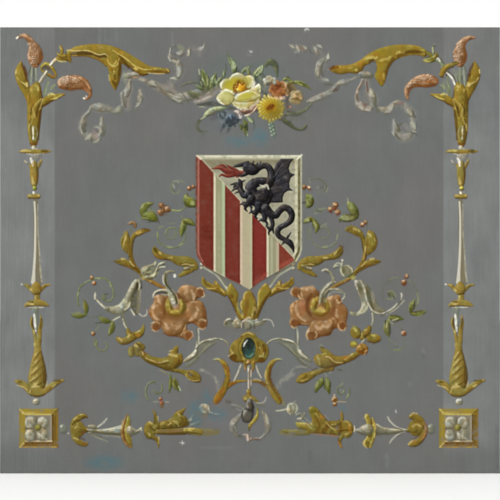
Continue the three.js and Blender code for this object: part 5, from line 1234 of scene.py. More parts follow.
ACORN = ((38, 34, 28), (56, 50, 42), (76, 70, 58), (100, 95, 82), (150, 148, 136))
model(ACORN, [(4, -303, 12), (5, -312, 15), (5, -320, 14)])
model(ACORN, oval(0, -331, 11.5, 14, 10), strength=0.95)
touch((96, 92, 80), oval(0, -332, 6.5, 9, 5), strength=0.6, soft=4)
touch((34, 28, 24), [(-10, -322, 2), (-12, -332, 2.4), (-8, -343, 2), (0, -346, 2)], [(9, -306, 3), (12, -316, 4), (12, -328, 3)], [(-4, -318, 3), (6, -320, 4)], strength=0.7)
touch((168, 166, 150), [(-9, -326, 1.2), (-6, -321, 1.6), (-1, -320, 1.2)], [(-2, -306, 1.4), (-3, -312, 1.6)], strength=0.5)
touch((170, 168, 156), [(-32, -308, 1.4), (-20, -312, 2), (-8, -318, 1.6)], [(-24, -316, 1.2), (-12, -321, 1.6)], strength=0.6)
model(OLIVE_GOLD, [(18, -316, 2), (20, -326, 5), (16, -337, 8), (9, -345, 7), (4, -352, 6), (3, -360, 2)])
touch((170, 166, 82), [(19, -328, 1.5), (14, -340, 3), (6, -348, 2)], strength=0.6)
touch((52, 50, 26), [(3, -354, 3), (3, -361, 2)], strength=0.6)

# The ribbons: two grey-white silks, tied in a knot at each corner arm, that flutter out to a loop on
# the outer side and inwards to the bunch of flowers, with one loose end curling up.
RIBBON_SHADE = (84, 82, 68)
RIBBON_LIGHT = (176, 174, 157)
TAUPE = (146, 134, 118)

side = 1
touch((138, 136, 126), [(-316, 280, 6), (-328, 264, 12), (-331, 247, 17), (-325, 234, 17), (-313, 227, 18), (-300, 225, 16), (-291, 237, 14), (-291, 252, 11)],
      [(-312, 285, 10), (-298, 285, 19), (-284, 284, 15), (-270, 280, 9)], strength=0.4, soft=5)
touch((142, 136, 126), [(-236, 336, 8), (-238, 322, 15), (-245, 308, 18), (-246, 294, 15), (-240, 284, 10)],
      [(-215, 320, 8), (-214, 307, 13), (-217, 296, 11), (-224, 284, 6)], strength=0.42, soft=4)
touch((140, 137, 126), [(292, 262, 6), (295, 248, 16), (299, 236, 19), (309, 227, 20), (321, 228, 18), (330, 238, 14), (332, 250, 13), (327, 262, 9)],
      [(262, 284, 7), (274, 281, 12), (286, 286, 14), (297, 294, 11), (308, 293, 12), (318, 285, 16), (326, 276, 18), (333, 265, 10)], strength=0.42, soft=5)
touch((142, 137, 124), [(247, 322, 5), (250, 308, 17), (252, 294, 16), (246, 285, 12)], [(221, 322, 6), (220, 306, 10), (222, 292, 13), (233, 285, 13)],
      strength=0.42, soft=4)
touch(TAUPE, [(-235, 348, 8), (-240, 340, 12), (-238, 325, 14), (-240, 310, 14), (-240, 296, 12), (-236, 284, 8)], strength=0.3, soft=5)
touch((136, 128, 116), [(-252, 344, 10), (-240, 350, 18), (-226, 348, 14), (-216, 344, 8)], strength=0.5, soft=4)
model(RIBBON, [(-246, 348, 8), (-236, 350, 13), (-224, 351, 10), (-218, 347, 5)], strength=0.8)
touch((140, 156, 124), [(-246, 356, 5), (-246, 342, 8), (-245, 336, 3)], strength=0.5, soft=4)
touch((186, 178, 160), [(-240, 353, 2), (-228, 353, 4), (-220, 352, 2)], strength=0.7)
touch((92, 76, 44), [(-238, 345, 1.5), (-230, 346, 4), (-222, 350, 3)], strength=0.7)
touch((190, 152, 112), [(-232, 345, 1), (-226, 346.5, 2.6), (-219, 346, 2)], strength=0.75)
model(RIBBON, [(-234, 340, 6), (-237, 330, 8), (-240, 321, 12), (-245, 313, 14), (-248, 305, 13), (-247, 296, 11), (-246, 288, 7)], strength=0.7)
touch(RIBBON_LIGHT, [(-236, 334, 1.5), (-236, 326, 3), (-237, 321, 1)], [(-241, 322, 2), (-246, 316, 2)], [(-253, 315, 3), (-254, 311, 3), (-251, 304, 1.6), (-251, 293, 1.6)],
      [(-244, 316, 2), (-245, 310, 3)], strength=0.65)
touch((84, 76, 60), [(-235, 338, 2), (-234, 326, 2.6), (-236, 314, 2), (-240, 307, 3)], [(-249, 316, 2), (-250, 306, 3), (-247, 294, 4), (-244, 285, 1.5)], strength=0.6)
touch((134, 130, 118), [(-214, 342, 8), (-200, 337, 12), (-188, 332, 16), (-172, 322, 16), (-154, 313, 16), (-138, 307, 20), (-120, 307, 20)], strength=0.5, soft=4)
model(RIBBON, [(-214, 343, 6), (-208, 341, 8), (-200, 336, 8), (-193, 334, 13), (-184, 331, 12), (-176, 323, 11), (-168, 317, 11),
               (-156, 311, 12), (-142, 306, 17), (-128, 306, 19), (-112, 310, 20), (-98, 315, 16), (-84, 320, 14), (-66, 327, 12), (-56, 330, 10)], strength=0.8)
touch(RIBBON_SHADE, [(-166, 313, 1.5), (-154, 302, 2), (-142, 296, 3), (-130, 293, 2)], [(-132, 316, 2), (-122, 302, 3), (-118, 294, 2)], strength=0.5)
touch(RIBBON_LIGHT, [(-216, 342, 3), (-208, 340, 4)], [(-196, 338, 2), (-190, 335, 7), (-184, 331, 3)], [(-160, 311, 2), (-146, 307, 3), (-134, 306, 2)],
      [(-150, 305, 1.5), (-138, 298, 4), (-134, 300, 2)], strength=0.65)
touch((84, 78, 66), [(-196, 327, 1.5), (-188, 327, 3), (-180, 326, 1.5)], [(-203, 337, 2), (-196, 340, 3)], [(-186, 336, 1), (-178, 328, 3), (-170, 319, 4), (-156, 316, 3), (-146, 312, 2)],
      [(-176, 317, 1.5), (-160, 311, 2), (-150, 307, 1)], strength=0.6)
touch(TAUPE, [(-178, 330, 6), (-166, 328, 9), (-154, 326, 8), (-146, 318, 6)], strength=0.6, soft=4)
touch(RIBBON_LIGHT, [(-164, 328, 3), (-160, 325, 5)], [(-154, 334, 3), (-150, 328, 4)], strength=0.45, soft=3)
model(RIBBON, [(-215, 318, 7), (-214, 306, 12), (-215, 298, 10), (-219, 291, 7), (-224, 282, 4), (-228, 276, 2)], strength=0.65)
touch(RIBBON_LIGHT, [(-215, 318, 2), (-212, 308, 3), (-212, 303, 2)], [(-214, 302, 3), (-217, 294, 3), (-221, 289, 3)], strength=0.6)
touch(RIBBON_SHADE, [(-212, 308, 3), (-211, 301, 3)], [(-216, 296, 1), (-222, 298, 2)], [(-222, 286, 1), (-229, 278, 2)], strength=0.6)
model(RIBBON, [(-250, 290, 5), (-256, 283, 12), (-262, 278, 11), (-268, 276, 8), (-276, 279, 8)], strength=0.7)
touch((188, 190, 158), [(-256, 284, 4), (-261, 280, 6)], strength=0.65)
touch((104, 104, 82), [(-250, 276, 2), (-258, 272, 3)], [(-270, 281, 4), (-280, 282, 6), (-286, 285, 4)], strength=0.6)
touch((128, 128, 112), [(-256, 280, 8), (-270, 279, 9), (-284, 283, 14), (-298, 284, 16), (-308, 286, 8)], strength=0.5, soft=4)
model(RIBBON, [(-276, 281, 8), (-284, 283, 12), (-293, 285, 18), (-303, 286, 16), (-311, 287, 6)], strength=0.65)
touch(RIBBON_LIGHT, [(-290, 290, 3), (-295, 288, 4)], [(-286, 280, 2), (-290, 281, 2)], strength=0.5)
model(RIBBON, [(-313, 287, 4), (-317, 278, 6), (-323, 270, 9), (-328, 260, 12), (-330, 248, 15), (-328, 237, 16), (-320, 229, 17), (-309, 224, 18), (-300, 225, 16),
               (-293, 232, 14), (-290, 241, 13), (-291, 251, 11), (-292, 260, 8), (-290, 267, 3)], strength=0.68)
touch((84, 82, 70), [(-322, 252, 3), (-328, 245, 6), (-324, 239, 4)], [(-331, 238, 3), (-326, 236, 4)], strength=0.55, soft=3)
touch(RIBBON_LIGHT, [(-314, 285, 1.6), (-318, 278, 2), (-324, 272, 1.5)], [(-293, 264, 2), (-293, 256, 5), (-296, 250, 2)], [(-324, 222, 3), (-319, 226, 6), (-314, 232, 3)],
      [(-308, 216, 2), (-302, 218, 4), (-297, 222, 2)], [(-308, 246, 2), (-301, 247, 4), (-297, 243, 2)], [(-334, 248, 1.5), (-331, 234, 2)], strength=0.65)
touch(RIBBON_SHADE, [(-314, 275, 3), (-322, 270, 4), (-327, 263, 4)], [(-326, 254, 3), (-330, 246, 7), (-327, 238, 6)], [(-312, 225, 3), (-312, 220, 5)],
      [(-290, 246, 5), (-289, 236, 5), (-293, 229, 4)], [(-307, 240, 3), (-300, 236, 4)], strength=0.6)
touch((150, 134, 130), [(-308, 240, 6), (-304, 232, 10), (-302, 226, 6)], strength=0.6, soft=4)

model(RIBBON, [(-148, 411, 2), (-153, 405, 4), (-155, 396, 4), (-156, 386, 8), (-154, 378, 5)], strength=0.75)
touch((206, 204, 188), [(-154, 404, 1.5), (-156, 394, 2), (-155, 388, 2)], [(-158, 386, 2), (-155, 380, 3)], strength=0.55)
touch((84, 92, 82), [(-154, 402, 1.6), (-149, 405, 2.8), (-142, 408, 1.8)], [(-146, 392, 2), (-144, 386, 2)], strength=0.55)
touch((134, 140, 112), [(-138, 408, 6), (-133, 405, 10), (-130, 399, 8)], strength=0.5, soft=4)
touch((128, 120, 104), [(-154, 388, 8), (-146, 381, 12), (-138, 374, 12)], strength=0.5, soft=4)
touch(RIBBON_SHADE, [(-148, 410, 1.5), (-153, 406, 3)], [(-152, 382, 4), (-148, 380, 5), (-144, 378, 3)], strength=0.6)
touch((132, 130, 120), [(-146, 378, 8), (-138, 368, 16), (-137, 352, 16), (-150, 340, 14), (-158, 330, 14), (-162, 322, 8)], strength=0.45, soft=4)
model(RIBBON, [(-152, 379, 6), (-144, 376, 10), (-139, 376, 10), (-136, 366, 14), (-136, 356, 13), (-138, 348, 9)], strength=0.8)
touch(RIBBON_LIGHT, [(-142, 372, 3), (-140, 376, 6), (-138, 378, 3)], [(-138, 366, 4), (-137, 354, 5), (-140, 348, 4)], strength=0.65)
touch(RIBBON_SHADE, [(-138, 372, 3), (-133, 374, 4), (-131, 368, 2)], [(-146, 384, 2), (-142, 380, 3)], strength=0.6)
model(RIBBON, [(-141, 343, 4), (-148, 344, 5), (-154, 342, 3), (-150, 334, 4), (-146, 326, 4)], strength=0.7)
touch((188, 190, 168), [(-154, 344, 2), (-147, 344, 4), (-142, 342, 2)], strength=0.6)
touch((92, 86, 64), [(-136, 388, 2), (-131, 390, 4), (-126, 395, 2.4)], strength=0.65)
model(RIBBON, [(-142, 394, 3), (-136, 395, 8), (-130, 399, 5)], [(-119, 389, 5), (-118, 396, 8), (-116, 404, 4)], strength=0.7)
touch((206, 202, 186), [(-141, 394, 2), (-136, 393, 4), (-131, 397, 2)], [(-118, 400, 1.6), (-117.5, 395, 3), (-118, 391, 2)], strength=0.55)
touch((92, 94, 84), [(-115, 402, 1.6), (-114, 396, 3), (-115, 390, 2)], strength=0.55)
touch((130, 125, 118), [(-108, 405, 9), (-100, 402, 14), (-92, 403, 11)], ball(-97, 392, 8), strength=0.5, soft=5)
model(RIBBON, [(-100, 401, 5), (-95, 403, 8), (-90, 405, 6), (-87, 409, 4), (-86, 414, 2)], strength=0.65)
touch((190, 186, 178), [(-98, 400, 3), (-93, 403, 5), (-88, 407, 2)], strength=0.5)

touch(TAUPE, [(238, 344, 8), (240, 328, 13), (238, 312, 14), (236, 298, 12), (238, 288, 8)], strength=0.3, soft=5)
model(RIBBON, [(222, 352, 3), (228, 353, 10), (240, 352, 11), (248, 350, 6), (250, 345, 3)], strength=0.85)
touch(RIBBON_LIGHT, [(225, 355, 2), (234, 354, 5), (242, 353, 3)], strength=0.6)
touch((84, 84, 60), [(224, 346, 2), (232, 345, 3), (242, 345, 4), (248, 347, 6), (249, 353, 3)], strength=0.7)
touch((176, 160, 136), [(226, 343, 1), (232, 342, 2)], strength=0.6)
model(PINK_RIBBON, [(230, 341, 5), (227, 332, 6), (222, 324, 6), (219, 316, 6), (218, 306, 8), (219, 298, 9), (223, 291, 13), (230, 286, 16), (238, 283, 14), (245, 284, 9)],
      strength=0.72)
touch(RIBBON_LIGHT, [(228, 340, 2), (225, 332, 1.6)], [(220, 320, 2), (218, 314, 3)], [(216, 300, 1.6), (218, 292, 2)], [(222, 288, 2), (230, 282, 3)], [(236, 281, 3), (243, 281, 6), (246, 284, 3)],
      [(226, 296, 3), (230, 293, 3)], strength=0.65)
touch((104, 80, 66), [(229, 338, 1.4), (223, 322, 2)], [(218, 312, 3), (218, 305, 4), (221, 298, 2)], [(230, 294, 3), (234, 290, 6), (238, 292, 3)], strength=0.6)
model(PINK_RIBBON, [(236, 341, 3), (237, 332, 3), (239, 320, 4), (242, 311, 4), (246, 306, 3)], strength=0.75)
touch((92, 60, 44), [(238, 336, 1.4), (239, 324, 2.4), (242, 314, 3)], strength=0.65)
model(RIBBON, [(246, 322, 5), (248, 312, 15), (250, 304, 15), (251, 294, 13), (249, 285, 8)], strength=0.75)
touch((192, 186, 160), [(247, 318, 3), (248, 310, 6), (253, 308, 3)], strength=0.7)
touch((94, 92, 58), [(254, 312, 2), (256, 302, 4), (254, 292, 4)], [(256, 288, 3), (260, 284, 6), (261, 277, 3)], strength=0.6)
model(RIBBON, [(262, 284, 7), (272, 281, 12), (280, 280, 14), (286, 284, 13), (291, 291, 10), (298, 296, 7)], strength=0.68)
touch(RIBBON_LIGHT, [(275, 276, 2), (282, 279, 5), (287, 284, 5), (290, 291, 2)], strength=0.6)
touch((98, 90, 76), [(274, 273, 1.5), (282, 273, 3), (287, 277, 2)], strength=0.6)
model(PINK_RIBBON, [(292, 295, 5), (299, 296, 8), (308, 294, 9), (315, 292, 6)], strength=0.55)
touch((122, 88, 92), [(303, 295, 2), (309, 295, 4), (312, 294, 2)], strength=0.6)
model(RIBBON, [(316, 292, 6), (319, 284, 12), (323, 277, 16), (329, 269, 9), (333, 264, 4)], [(329, 263, 6), (331, 253, 14), (332, 245, 13), (332, 237, 7)], strength=0.7)
touch(RIBBON_LIGHT, [(318, 282, 2), (322, 277, 6), (326, 272, 3)], [(328, 256, 3), (332, 250, 6), (334, 244, 3)], [(330, 238, 3), (334, 237, 4)], strength=0.6)
touch((70, 64, 50), [(331, 278, 2), (332, 271, 3), (336, 266, 2)], [(327, 236, 2), (335, 233, 2), (338, 230, 1)], strength=0.6)
touch((108, 112, 78), [(320, 234, 3), (326, 232, 7), (328, 227, 3)], strength=0.5, soft=3)
model(RIBBON, [(292, 261, 3), (294, 253, 9), (297, 245, 15), (296, 237, 14), (293, 231, 6)], strength=0.72)
model(RIBBON, [(300, 234, 8), (307, 227, 14), (317, 226, 15), (326, 231, 9)], strength=0.5)
touch(RIBBON_LIGHT, [(292, 262, 1.6), (294, 254, 2), (298, 250, 2)], [(289, 236, 2), (293, 231, 3)], strength=0.65)
touch((86, 84, 64), [(298, 254, 2), (300, 249, 4), (306, 252, 4), (310, 254, 2)], [(300, 243, 2), (304, 241, 4), (299, 238, 3)], [(295, 233, 3), (300, 226, 4), (304, 223, 2)], strength=0.6)
touch((150, 140, 130), [(304, 232, 8), (312, 224, 12), (320, 228, 8)], [(314, 250, 8), (320, 244, 8)], strength=0.45, soft=6)

model(RIBBON, [(224, 346, 3), (216, 345, 5), (208, 341, 5), (198, 337, 10), (188, 336, 10), (180, 332, 7), (172, 323, 8), (160, 314, 10), (146, 307, 13), (132, 301, 12), (120, 297, 6)],
      strength=0.8)
touch((200, 196, 182), [(218, 344, 1.6), (208, 341, 2)], [(192, 336, 4), (183, 335, 5), (181, 333, 2)], [(160, 312, 2), (168, 316, 2)], [(144, 306, 3), (136, 302, 4), (126, 299, 4)], strength=0.45)
touch((130, 126, 116), [(206, 342, 6), (190, 336, 14), (174, 326, 16), (158, 314, 16), (140, 304, 15), (124, 298, 12)], strength=0.25, soft=4)
touch((84, 56, 44), [(172, 318, 2), (178, 322, 6), (183, 327, 3)], strength=0.65)
touch((96, 94, 80), [(122, 295, 1.6), (136, 297, 2), (152, 302, 2), (168, 308, 1.6)], [(182, 329, 2), (192, 331, 2), (198, 329, 1)], strength=0.6)
touch((84, 84, 48), [(154, 332, 2), (160, 331, 5), (168, 332, 3)], strength=0.6)
touch((92, 94, 82), [(257, 291, 3), (258, 285, 6), (257, 280, 4)], [(254, 305, 4), (253, 297, 6), (255, 291, 4)], [(219, 309, 3), (219, 304, 5)], strength=0.5, soft=3)
touch((186, 182, 172), [(222, 294, 3), (226, 290, 6), (229, 285, 4)], [(238, 283, 4), (243, 283, 6)], [(284, 284, 4), (286, 280, 6), (282, 276, 3)], strength=0.45, soft=3)
touch((88, 86, 68), [(297, 252, 3), (301, 247, 4)], [(300, 240, 2), (305, 239, 3)], [(298, 229, 2), (303, 223, 4), (307, 221, 2)], strength=0.5, soft=2.4)
touch((176, 174, 148), [(319, 280, 4), (323, 276, 8), (327, 272, 4)], [(330, 256, 4), (333, 249, 7), (333, 243, 4)], strength=0.45, soft=3)
touch((176, 178, 158), [(150, 342, 2), (158, 341, 5), (161, 339, 2)], strength=0.6)
touch((110, 120, 110), [(126, 294, 2), (122, 286, 5), (112, 278, 6), (100, 276, 3)], strength=0.5, soft=4)
model(RIBBON, [(162, 395, 2), (161, 386, 7), (157, 378, 5), (150, 378, 8)], strength=0.75)
touch(CHALK, [(161, 392, 2), (161, 385, 5)], [(151, 381, 3), (147, 372, 3)], strength=0.55)
touch((136, 134, 122), [(158, 388, 8), (148, 374, 16), (142, 360, 16), (142, 346, 10), (152, 340, 8)], strength=0.45, soft=4)
model(RIBBON, [(152, 382, 7), (144, 374, 12), (142, 366, 13), (141, 357, 13), (140, 350, 9), (143, 344, 3)], strength=0.75)
touch(RIBBON_LIGHT, [(147, 376, 3), (143, 372, 5)], [(139, 364, 3), (140, 352, 4)], strength=0.5)
touch((82, 84, 66), [(152, 374, 2), (148, 366, 4), (148, 356, 4), (150, 349, 3)], strength=0.65)
touch((134, 131, 120), [(134, 404, 12), (139, 396, 15), (146, 392, 12), (152, 384, 12)], [(88, 408, 8), (100, 404, 14), (112, 403, 12), (118, 402, 6)], strength=0.5, soft=5)
model(RIBBON, [(134, 406, 5), (136, 401, 9), (138, 396, 8), (141, 391, 5)], [(139, 409, 4), (144, 408, 8), (149, 404, 4)], strength=0.7)
touch((186, 186, 172), [(135, 405, 3), (136, 401, 4), (137, 398, 2)], [(141, 409, 3), (145, 407.5, 4), (148, 405, 2)], [(160, 390, 2), (159.5, 385, 4)], strength=0.55)
touch((90, 90, 82), [(123, 404, 2), (124.5, 399, 4), (129, 394, 4), (134, 391, 2)], strength=0.5, soft=3)
model(RIBBON, [(84, 411, 3), (90, 407, 6), (95, 403, 4)], [(98, 410, 4), (101, 404, 8), (104, 399, 6)], [(112, 407, 5), (116, 404, 8), (118, 400, 3)], strength=0.65)
touch((192, 182, 164), [(99, 407, 2), (101, 402, 4), (103, 398, 2)], [(86, 409.5, 2), (91, 406, 3)], [(114, 406, 2), (116, 404, 4)], strength=0.5)
touch((126, 98, 76), [(104, 406, 3), (109, 404, 6), (112, 400, 3)], strength=0.5, soft=3)
touch((148, 152, 148), [(95, 396, 4), (99, 396, 6)], strength=0.5, soft=3)
touch((82, 88, 82), [(98, 393, 3), (99, 390, 3)], [(112, 397, 2), (117, 397, 2.4)], strength=0.55)

# The bunch of flowers: leaves and grasses first, then small dark and pale blossoms, an open cream
# flower, a yellow daisy, a red-brown flower and a little rose.
SAGE_LEAF = ((52, 58, 36), (74, 82, 52), (100, 110, 72), (132, 140, 98), (172, 178, 138))
DARK_LEAF = ((42, 46, 28), (58, 64, 38), (78, 84, 50), (102, 108, 66), (138, 142, 94))
CREAM = ((98, 84, 34), (134, 124, 66), (178, 170, 114), (206, 198, 150), (228, 222, 182))
SLATE = (74, 82, 88)

touch((90, 104, 96), oval(-84, 336, 26, 24, 9), oval(30, 360, 42, 22, 9), oval(-40, 368, 34, 26, 9), strength=0.35, soft=14)
touch((90, 98, 104), oval(-52, 262, 42, 22, 9), strength=0.28, soft=14)
touch((96, 90, 70), oval(84, 300, 36, 34, 9), strength=0.3, soft=14)
touch((72, 74, 46), oval(-82, 326, 15, 11, 5), oval(-78, 316, 10, 9, 4), [(-92, 332, 5), (-94, 346, 8), (-92, 356, 4)], strength=0.65, soft=6)
for start, end, width, bend in (((-80, 322), (-92, 363), 15, -0.04), ((-76, 322), (-80, 350), 6, 0.1), ((-72, 320), (-63, 354), 14, 0.04),
                                ((-70, 320), (-74, 344), 7, 0.0), ((-60, 322), (-50, 348), 9, 0.1), ((-88, 322), (-104, 332), 7, 0.1),
                                ((-48, 345), (-46, 362), 6, 0.0)):
    green_leaf(start, end, width, bend, SAGE_LEAF)
touch((72, 76, 28), [(-84, 336, 2), (-88, 348, 5), (-92, 358, 3)], [(-64, 344, 3), (-66, 352, 2)], strength=0.6)
touch((186, 196, 152), [(-80, 330, 1.5), (-80, 342, 2.6)], [(-63, 334, 4), (-65, 342, 4)], [(-92, 330, 1), (-94, 336, 2)], [(-71, 336, 2), (-73, 344, 2)], [(-98, 362, 1.6), (-96, 352, 3)], strength=0.55)
touch((66, 68, 38), [(-90, 320, 3), (-88, 328, 4)], [(-72, 326, 3), (-78, 318, 4)], [(-62, 330, 3), (-58, 338, 3)], strength=0.6)
for start, end, width, bend in (((-24, 358), (-40, 388), 12, -0.05), ((-26, 352), (-30, 376), 10, 0.0), ((2, 346), (-2, 366), 7, -0.1), ((-12, 352), (6, 368), 7, 0.1),
                                ((10, 346), (32, 371), 14, -0.05), ((14, 338), (20, 358), 7, 0.1)):
    green_leaf(start, end, width, bend, SAGE_LEAF)
touch((186, 200, 160), [(-32, 378, 3), (-26, 370, 6), (-28, 362, 2)], [(30, 368, 2), (26, 358, 5), (18, 350, 3)], [(-3, 360, 2), (2, 366, 2)], strength=0.6)
touch((58, 68, 50), [(-22, 366, 2), (-20, 358, 6), (-26, 354, 3)], [(12, 352, 3), (16, 344, 5), (20, 336, 3)], [(-44, 372, 2), (-42, 360, 2)], strength=0.6, soft=3)
touch((92, 96, 74), [(-42, 398, 1.6), (-38, 388, 3), (-36, 380, 2)], strength=0.6)
model(DARK_LEAF, [(36, 368, 5), (41, 375, 9), (48, 376, 14), (55, 370, 12), (58, 360, 8), (59, 348, 3)], strength=0.75, soft=3)
touch((64, 74, 54), [(37, 370, 4), (43, 376, 8), (52, 373, 8)], strength=0.4, soft=4)
for start, end, width, bend in (((70, 338), (84, 346), 7, 0.05), ((88, 336), (127, 320), 9, 0.12), ((78, 344), (92, 335), 6, 0.0), ((76, 336), (86, 330), 7, 0.0)):
    green_leaf(start, end, width, bend, ((58, 58, 30), (80, 82, 42), (104, 106, 54), (132, 134, 76), (168, 168, 108)))
touch((176, 172, 84), [(84, 337, 2), (88, 337, 4)], [(100, 334, 2), (108, 331, 3)], strength=0.45)
touch((54, 58, 30), [(76, 346, 1.5), (82, 346, 4)], [(84, 332, 3), (92, 336, 2)], [(104, 336, 2), (116, 330, 2)], strength=0.6)
touch((98, 104, 78), [(24, 344, 8), (30, 340, 10), (34, 330, 7)], [(26, 330, 6), (34, 322, 8), (38, 312, 5)], strength=0.6, soft=4)
touch((60, 64, 40), [(28, 320, 4), (34, 314, 7), (38, 308, 4)], [(30, 352, 2), (36, 344, 3)], strength=0.6, soft=3)
touch((150, 152, 116), [(22, 350, 1.5), (26, 342, 3)], [(30, 324, 2), (34, 318, 3)], strength=0.5)

model(DARK_LEAF, [(-120, 318, 3), (-114, 314, 10), (-104, 310, 14), (-96, 306, 9), (-92, 303, 3)], strength=0.6, soft=3)
touch((70, 74, 58), [(-118, 316, 4), (-108, 309, 8), (-98, 304, 5)], strength=0.45, soft=4)
model(DARK_LEAF, [(-136, 327, 2), (-122, 333, 4), (-108, 336, 4), (-96, 334, 3)], strength=0.55)
touch((160, 147, 134), [(-104, 298, 8), (-90, 304, 14), (-76, 312, 15), (-62, 322, 13), (-54, 330, 8)], strength=0.65, soft=5)
touch((200, 194, 176), [(-104, 297, 2), (-92, 301, 3), (-80, 306, 4), (-74, 308, 2)], [(-86, 310, 2), (-76, 316, 3)], strength=0.45)
touch((54, 56, 38), [(-100, 291, 2), (-86, 292, 6), (-70, 293, 9), (-58, 290, 8), (-50, 285, 4)], strength=0.7, soft=4)
touch((58, 58, 40), [(-50, 288, 6), (-36, 284, 9), (-26, 283, 6)], strength=0.6, soft=4)
touch((168, 166, 142), [(-98, 287, 1), (-90, 287, 2.5), (-84, 285, 1)], strength=0.55)
model(((64, 70, 46), (92, 100, 68), (122, 130, 92), (152, 160, 120), (184, 190, 152)), [(-89, 264, 2), (-82, 272, 10), (-71, 278, 15), (-60, 282, 12), (-51, 284, 8), (-43, 284, 3)], soft=2)
touch((194, 202, 156), [(-82, 273, 4), (-76, 276, 6), (-70, 278, 2)], [(-66, 284, 2), (-60, 286, 3), (-52, 286, 1)], strength=0.6)
touch((94, 102, 60), [(-76, 272, 2), (-68, 275, 3), (-58, 280, 2)], strength=0.5)
touch((78, 82, 48), [(-85, 267, 2), (-92, 263, 4), (-98, 257, 6), (-101, 249, 7), (-98, 241, 6), (-90, 237, 3), (-80, 238, 1)], strength=0.75, soft=2.4)
touch((212, 214, 186), [(-84, 268, 1.5), (-89, 265, 2), (-94, 262, 1)], strength=0.7)

touch((92, 84, 88), oval(-66, 270, 13, 10, 4), strength=0.55, soft=6)
touch((98, 108, 118), oval(-40, 270, 12, 12, 5), strength=0.55, soft=6)
touch(SLATE, oval(-54, 270, 9, 9, 4), strength=0.6, soft=4)
touch((126, 142, 138), coil(-52, 270, 7, 6, 150, 330, 2.4), [(-54, 273, 3), (-50, 271, 4)], strength=0.55)
touch((44, 52, 54), [(-56, 274, 2), (-54, 266, 4), (-48, 264, 3)], [(-50, 278, 3), (-44, 274, 3), (-46, 268, 2)], strength=0.6)
touch((116, 124, 128), [(-58, 262, 3), (-52, 257, 7), (-46, 254, 4)], [(-42, 268, 4), (-38, 276, 5)], strength=0.5, soft=4)
model(((32, 38, 44), (44, 52, 58), (60, 68, 74), (84, 94, 100), (122, 134, 138)), oval(-30, 262, 14, 11, 8), oval(-36, 255, 9, 8, 6), strength=0.8, rough=0.3)
for path in ([(-38, 262, 8), (-44, 254, 7), (-49, 246, 5), (-54, 237, 2)], [(-34, 256, 8), (-36, 247, 7), (-38, 240, 4), (-41, 235, 1.5)], [(-28, 254, 6), (-26, 248, 4)],
             [(-20, 262, 5), (-14, 260, 3)]):
    touch((48, 56, 60), path, strength=0.7, soft=2.5)
touch((30, 34, 40), [(-32, 268, 2), (-28, 262, 6), (-34, 258, 3)], [(-44, 252, 2), (-40, 258, 3)], strength=0.55)
touch((112, 124, 130), [(-40, 246, 1), (-46, 254, 2), (-48, 258, 1)], [(-22, 268, 3), (-18, 264, 3)], strength=0.55)
model(((74, 66, 58), (112, 98, 88), (148, 130, 118), (186, 168, 156), (222, 208, 198)), [(-26, 278, 4), (-20, 276, 9), (-15, 270, 9), (-14, 264, 4)], strength=0.8)
touch((222, 222, 222), [(-17, 270, 2), (-15, 265, 4), (-12, 268, 2)], [(-24, 279, 2), (-20, 277, 4)], strength=0.6)
model(((70, 48, 38), (100, 72, 56), (128, 96, 76), (160, 126, 102), (202, 174, 150)), [(-12, 280, 8), (-4, 278, 12), (6, 280, 14), (16, 288, 14), (22, 294, 8)], strength=0.9)
touch((74, 52, 38), [(-10, 274, 3), (-2, 276, 6), (6, 278, 4)], [(8, 288, 3), (14, 294, 5), (20, 296, 3)], [(18, 278, 4), (24, 284, 5)], strength=0.6)
touch((234, 214, 188), [(-6, 269, 1), (0, 271, 3), (8, 275, 2.4), (13, 280, 2), (17, 286, 2.4), (22, 290, 2)], strength=0.8)
touch((92, 72, 54), [(16, 300, 6), (24, 296, 8), (26, 304, 6)], strength=0.6, soft=3)
for start, end, width, bend, tones in (((-8, 262), (-4, 228), 10, 0.06, DARK_LEAF), ((-16, 252), (-12, 240), 7, 0.1, DARK_LEAF), ((-1, 267), (13, 254), 8, 0.0, SAGE_LEAF),
                                       ((-3, 258), (-8, 244), 8, 0.1, DARK_LEAF)):
    green_leaf(start, end, width, bend, tones)
touch((112, 112, 40), [(-14, 248, 2), (-10, 242, 5), (-8, 236, 4)], [(-6, 236, 2), (-3, 230, 3)], [(-6, 256, 5), (0, 254, 3)], strength=0.5)
touch((184, 196, 152), [(0, 264, 2), (6, 259, 5), (10, 256, 2)], [(-2, 238, 1), (-1, 230, 2)], strength=0.6)
touch((82, 92, 90), [(9, 272, 2), (12, 258, 3), (13, 246, 4), (11, 240, 2)], strength=0.6)
for index in range(8):
    x, z = 46 + 0.9 * index + 2.5 * (-1) ** index, 254 - 3.6 * index
    touch((92, 112, 92), ball(x, z, 9 - 0.4 * index), strength=0.6, soft=2.4)
    touch((178, 192, 172), ball(x - 1.6, z + 1.4, 3.4), strength=0.55)
    touch((60, 80, 58), ball(x + 2.6, z - 1.6, 3), strength=0.5)
model(DARK_LEAF, [(70, 262, 3), (77, 257, 9), (85, 251, 9), (94, 244, 6), (104, 241, 5), (112, 243, 6), (117, 249, 5)], strength=0.8, soft=2.5)
touch((60, 60, 46), [(72, 256, 4), (80, 254, 7), (86, 258, 3)], strength=0.5, soft=3)
touch((66, 70, 56), [(72, 258, 2), (82, 252, 5), (90, 246, 4), (104, 241, 3), (116, 246, 4)], strength=0.5, soft=3)
model(DARK_LEAF, [(76, 272, 3), (88, 272, 8), (100, 273, 9), (110, 277, 6), (120, 284, 4), (128, 293, 3)], strength=0.6, soft=3)
touch((98, 98, 84), [(84, 262, 3), (96, 265, 6), (108, 266, 5), (118, 262, 2)], strength=0.4, soft=3)
touch((62, 54, 30), [(64, 262, 6), (72, 262, 7), (76, 270, 5)], [(80, 278, 4), (92, 276, 5)], strength=0.55, soft=4)
touch((60, 40, 26), [(78, 288, 6), (80, 300, 7), (82, 312, 6)], [(26, 278, 6), (24, 268, 5)], strength=0.45, soft=6)
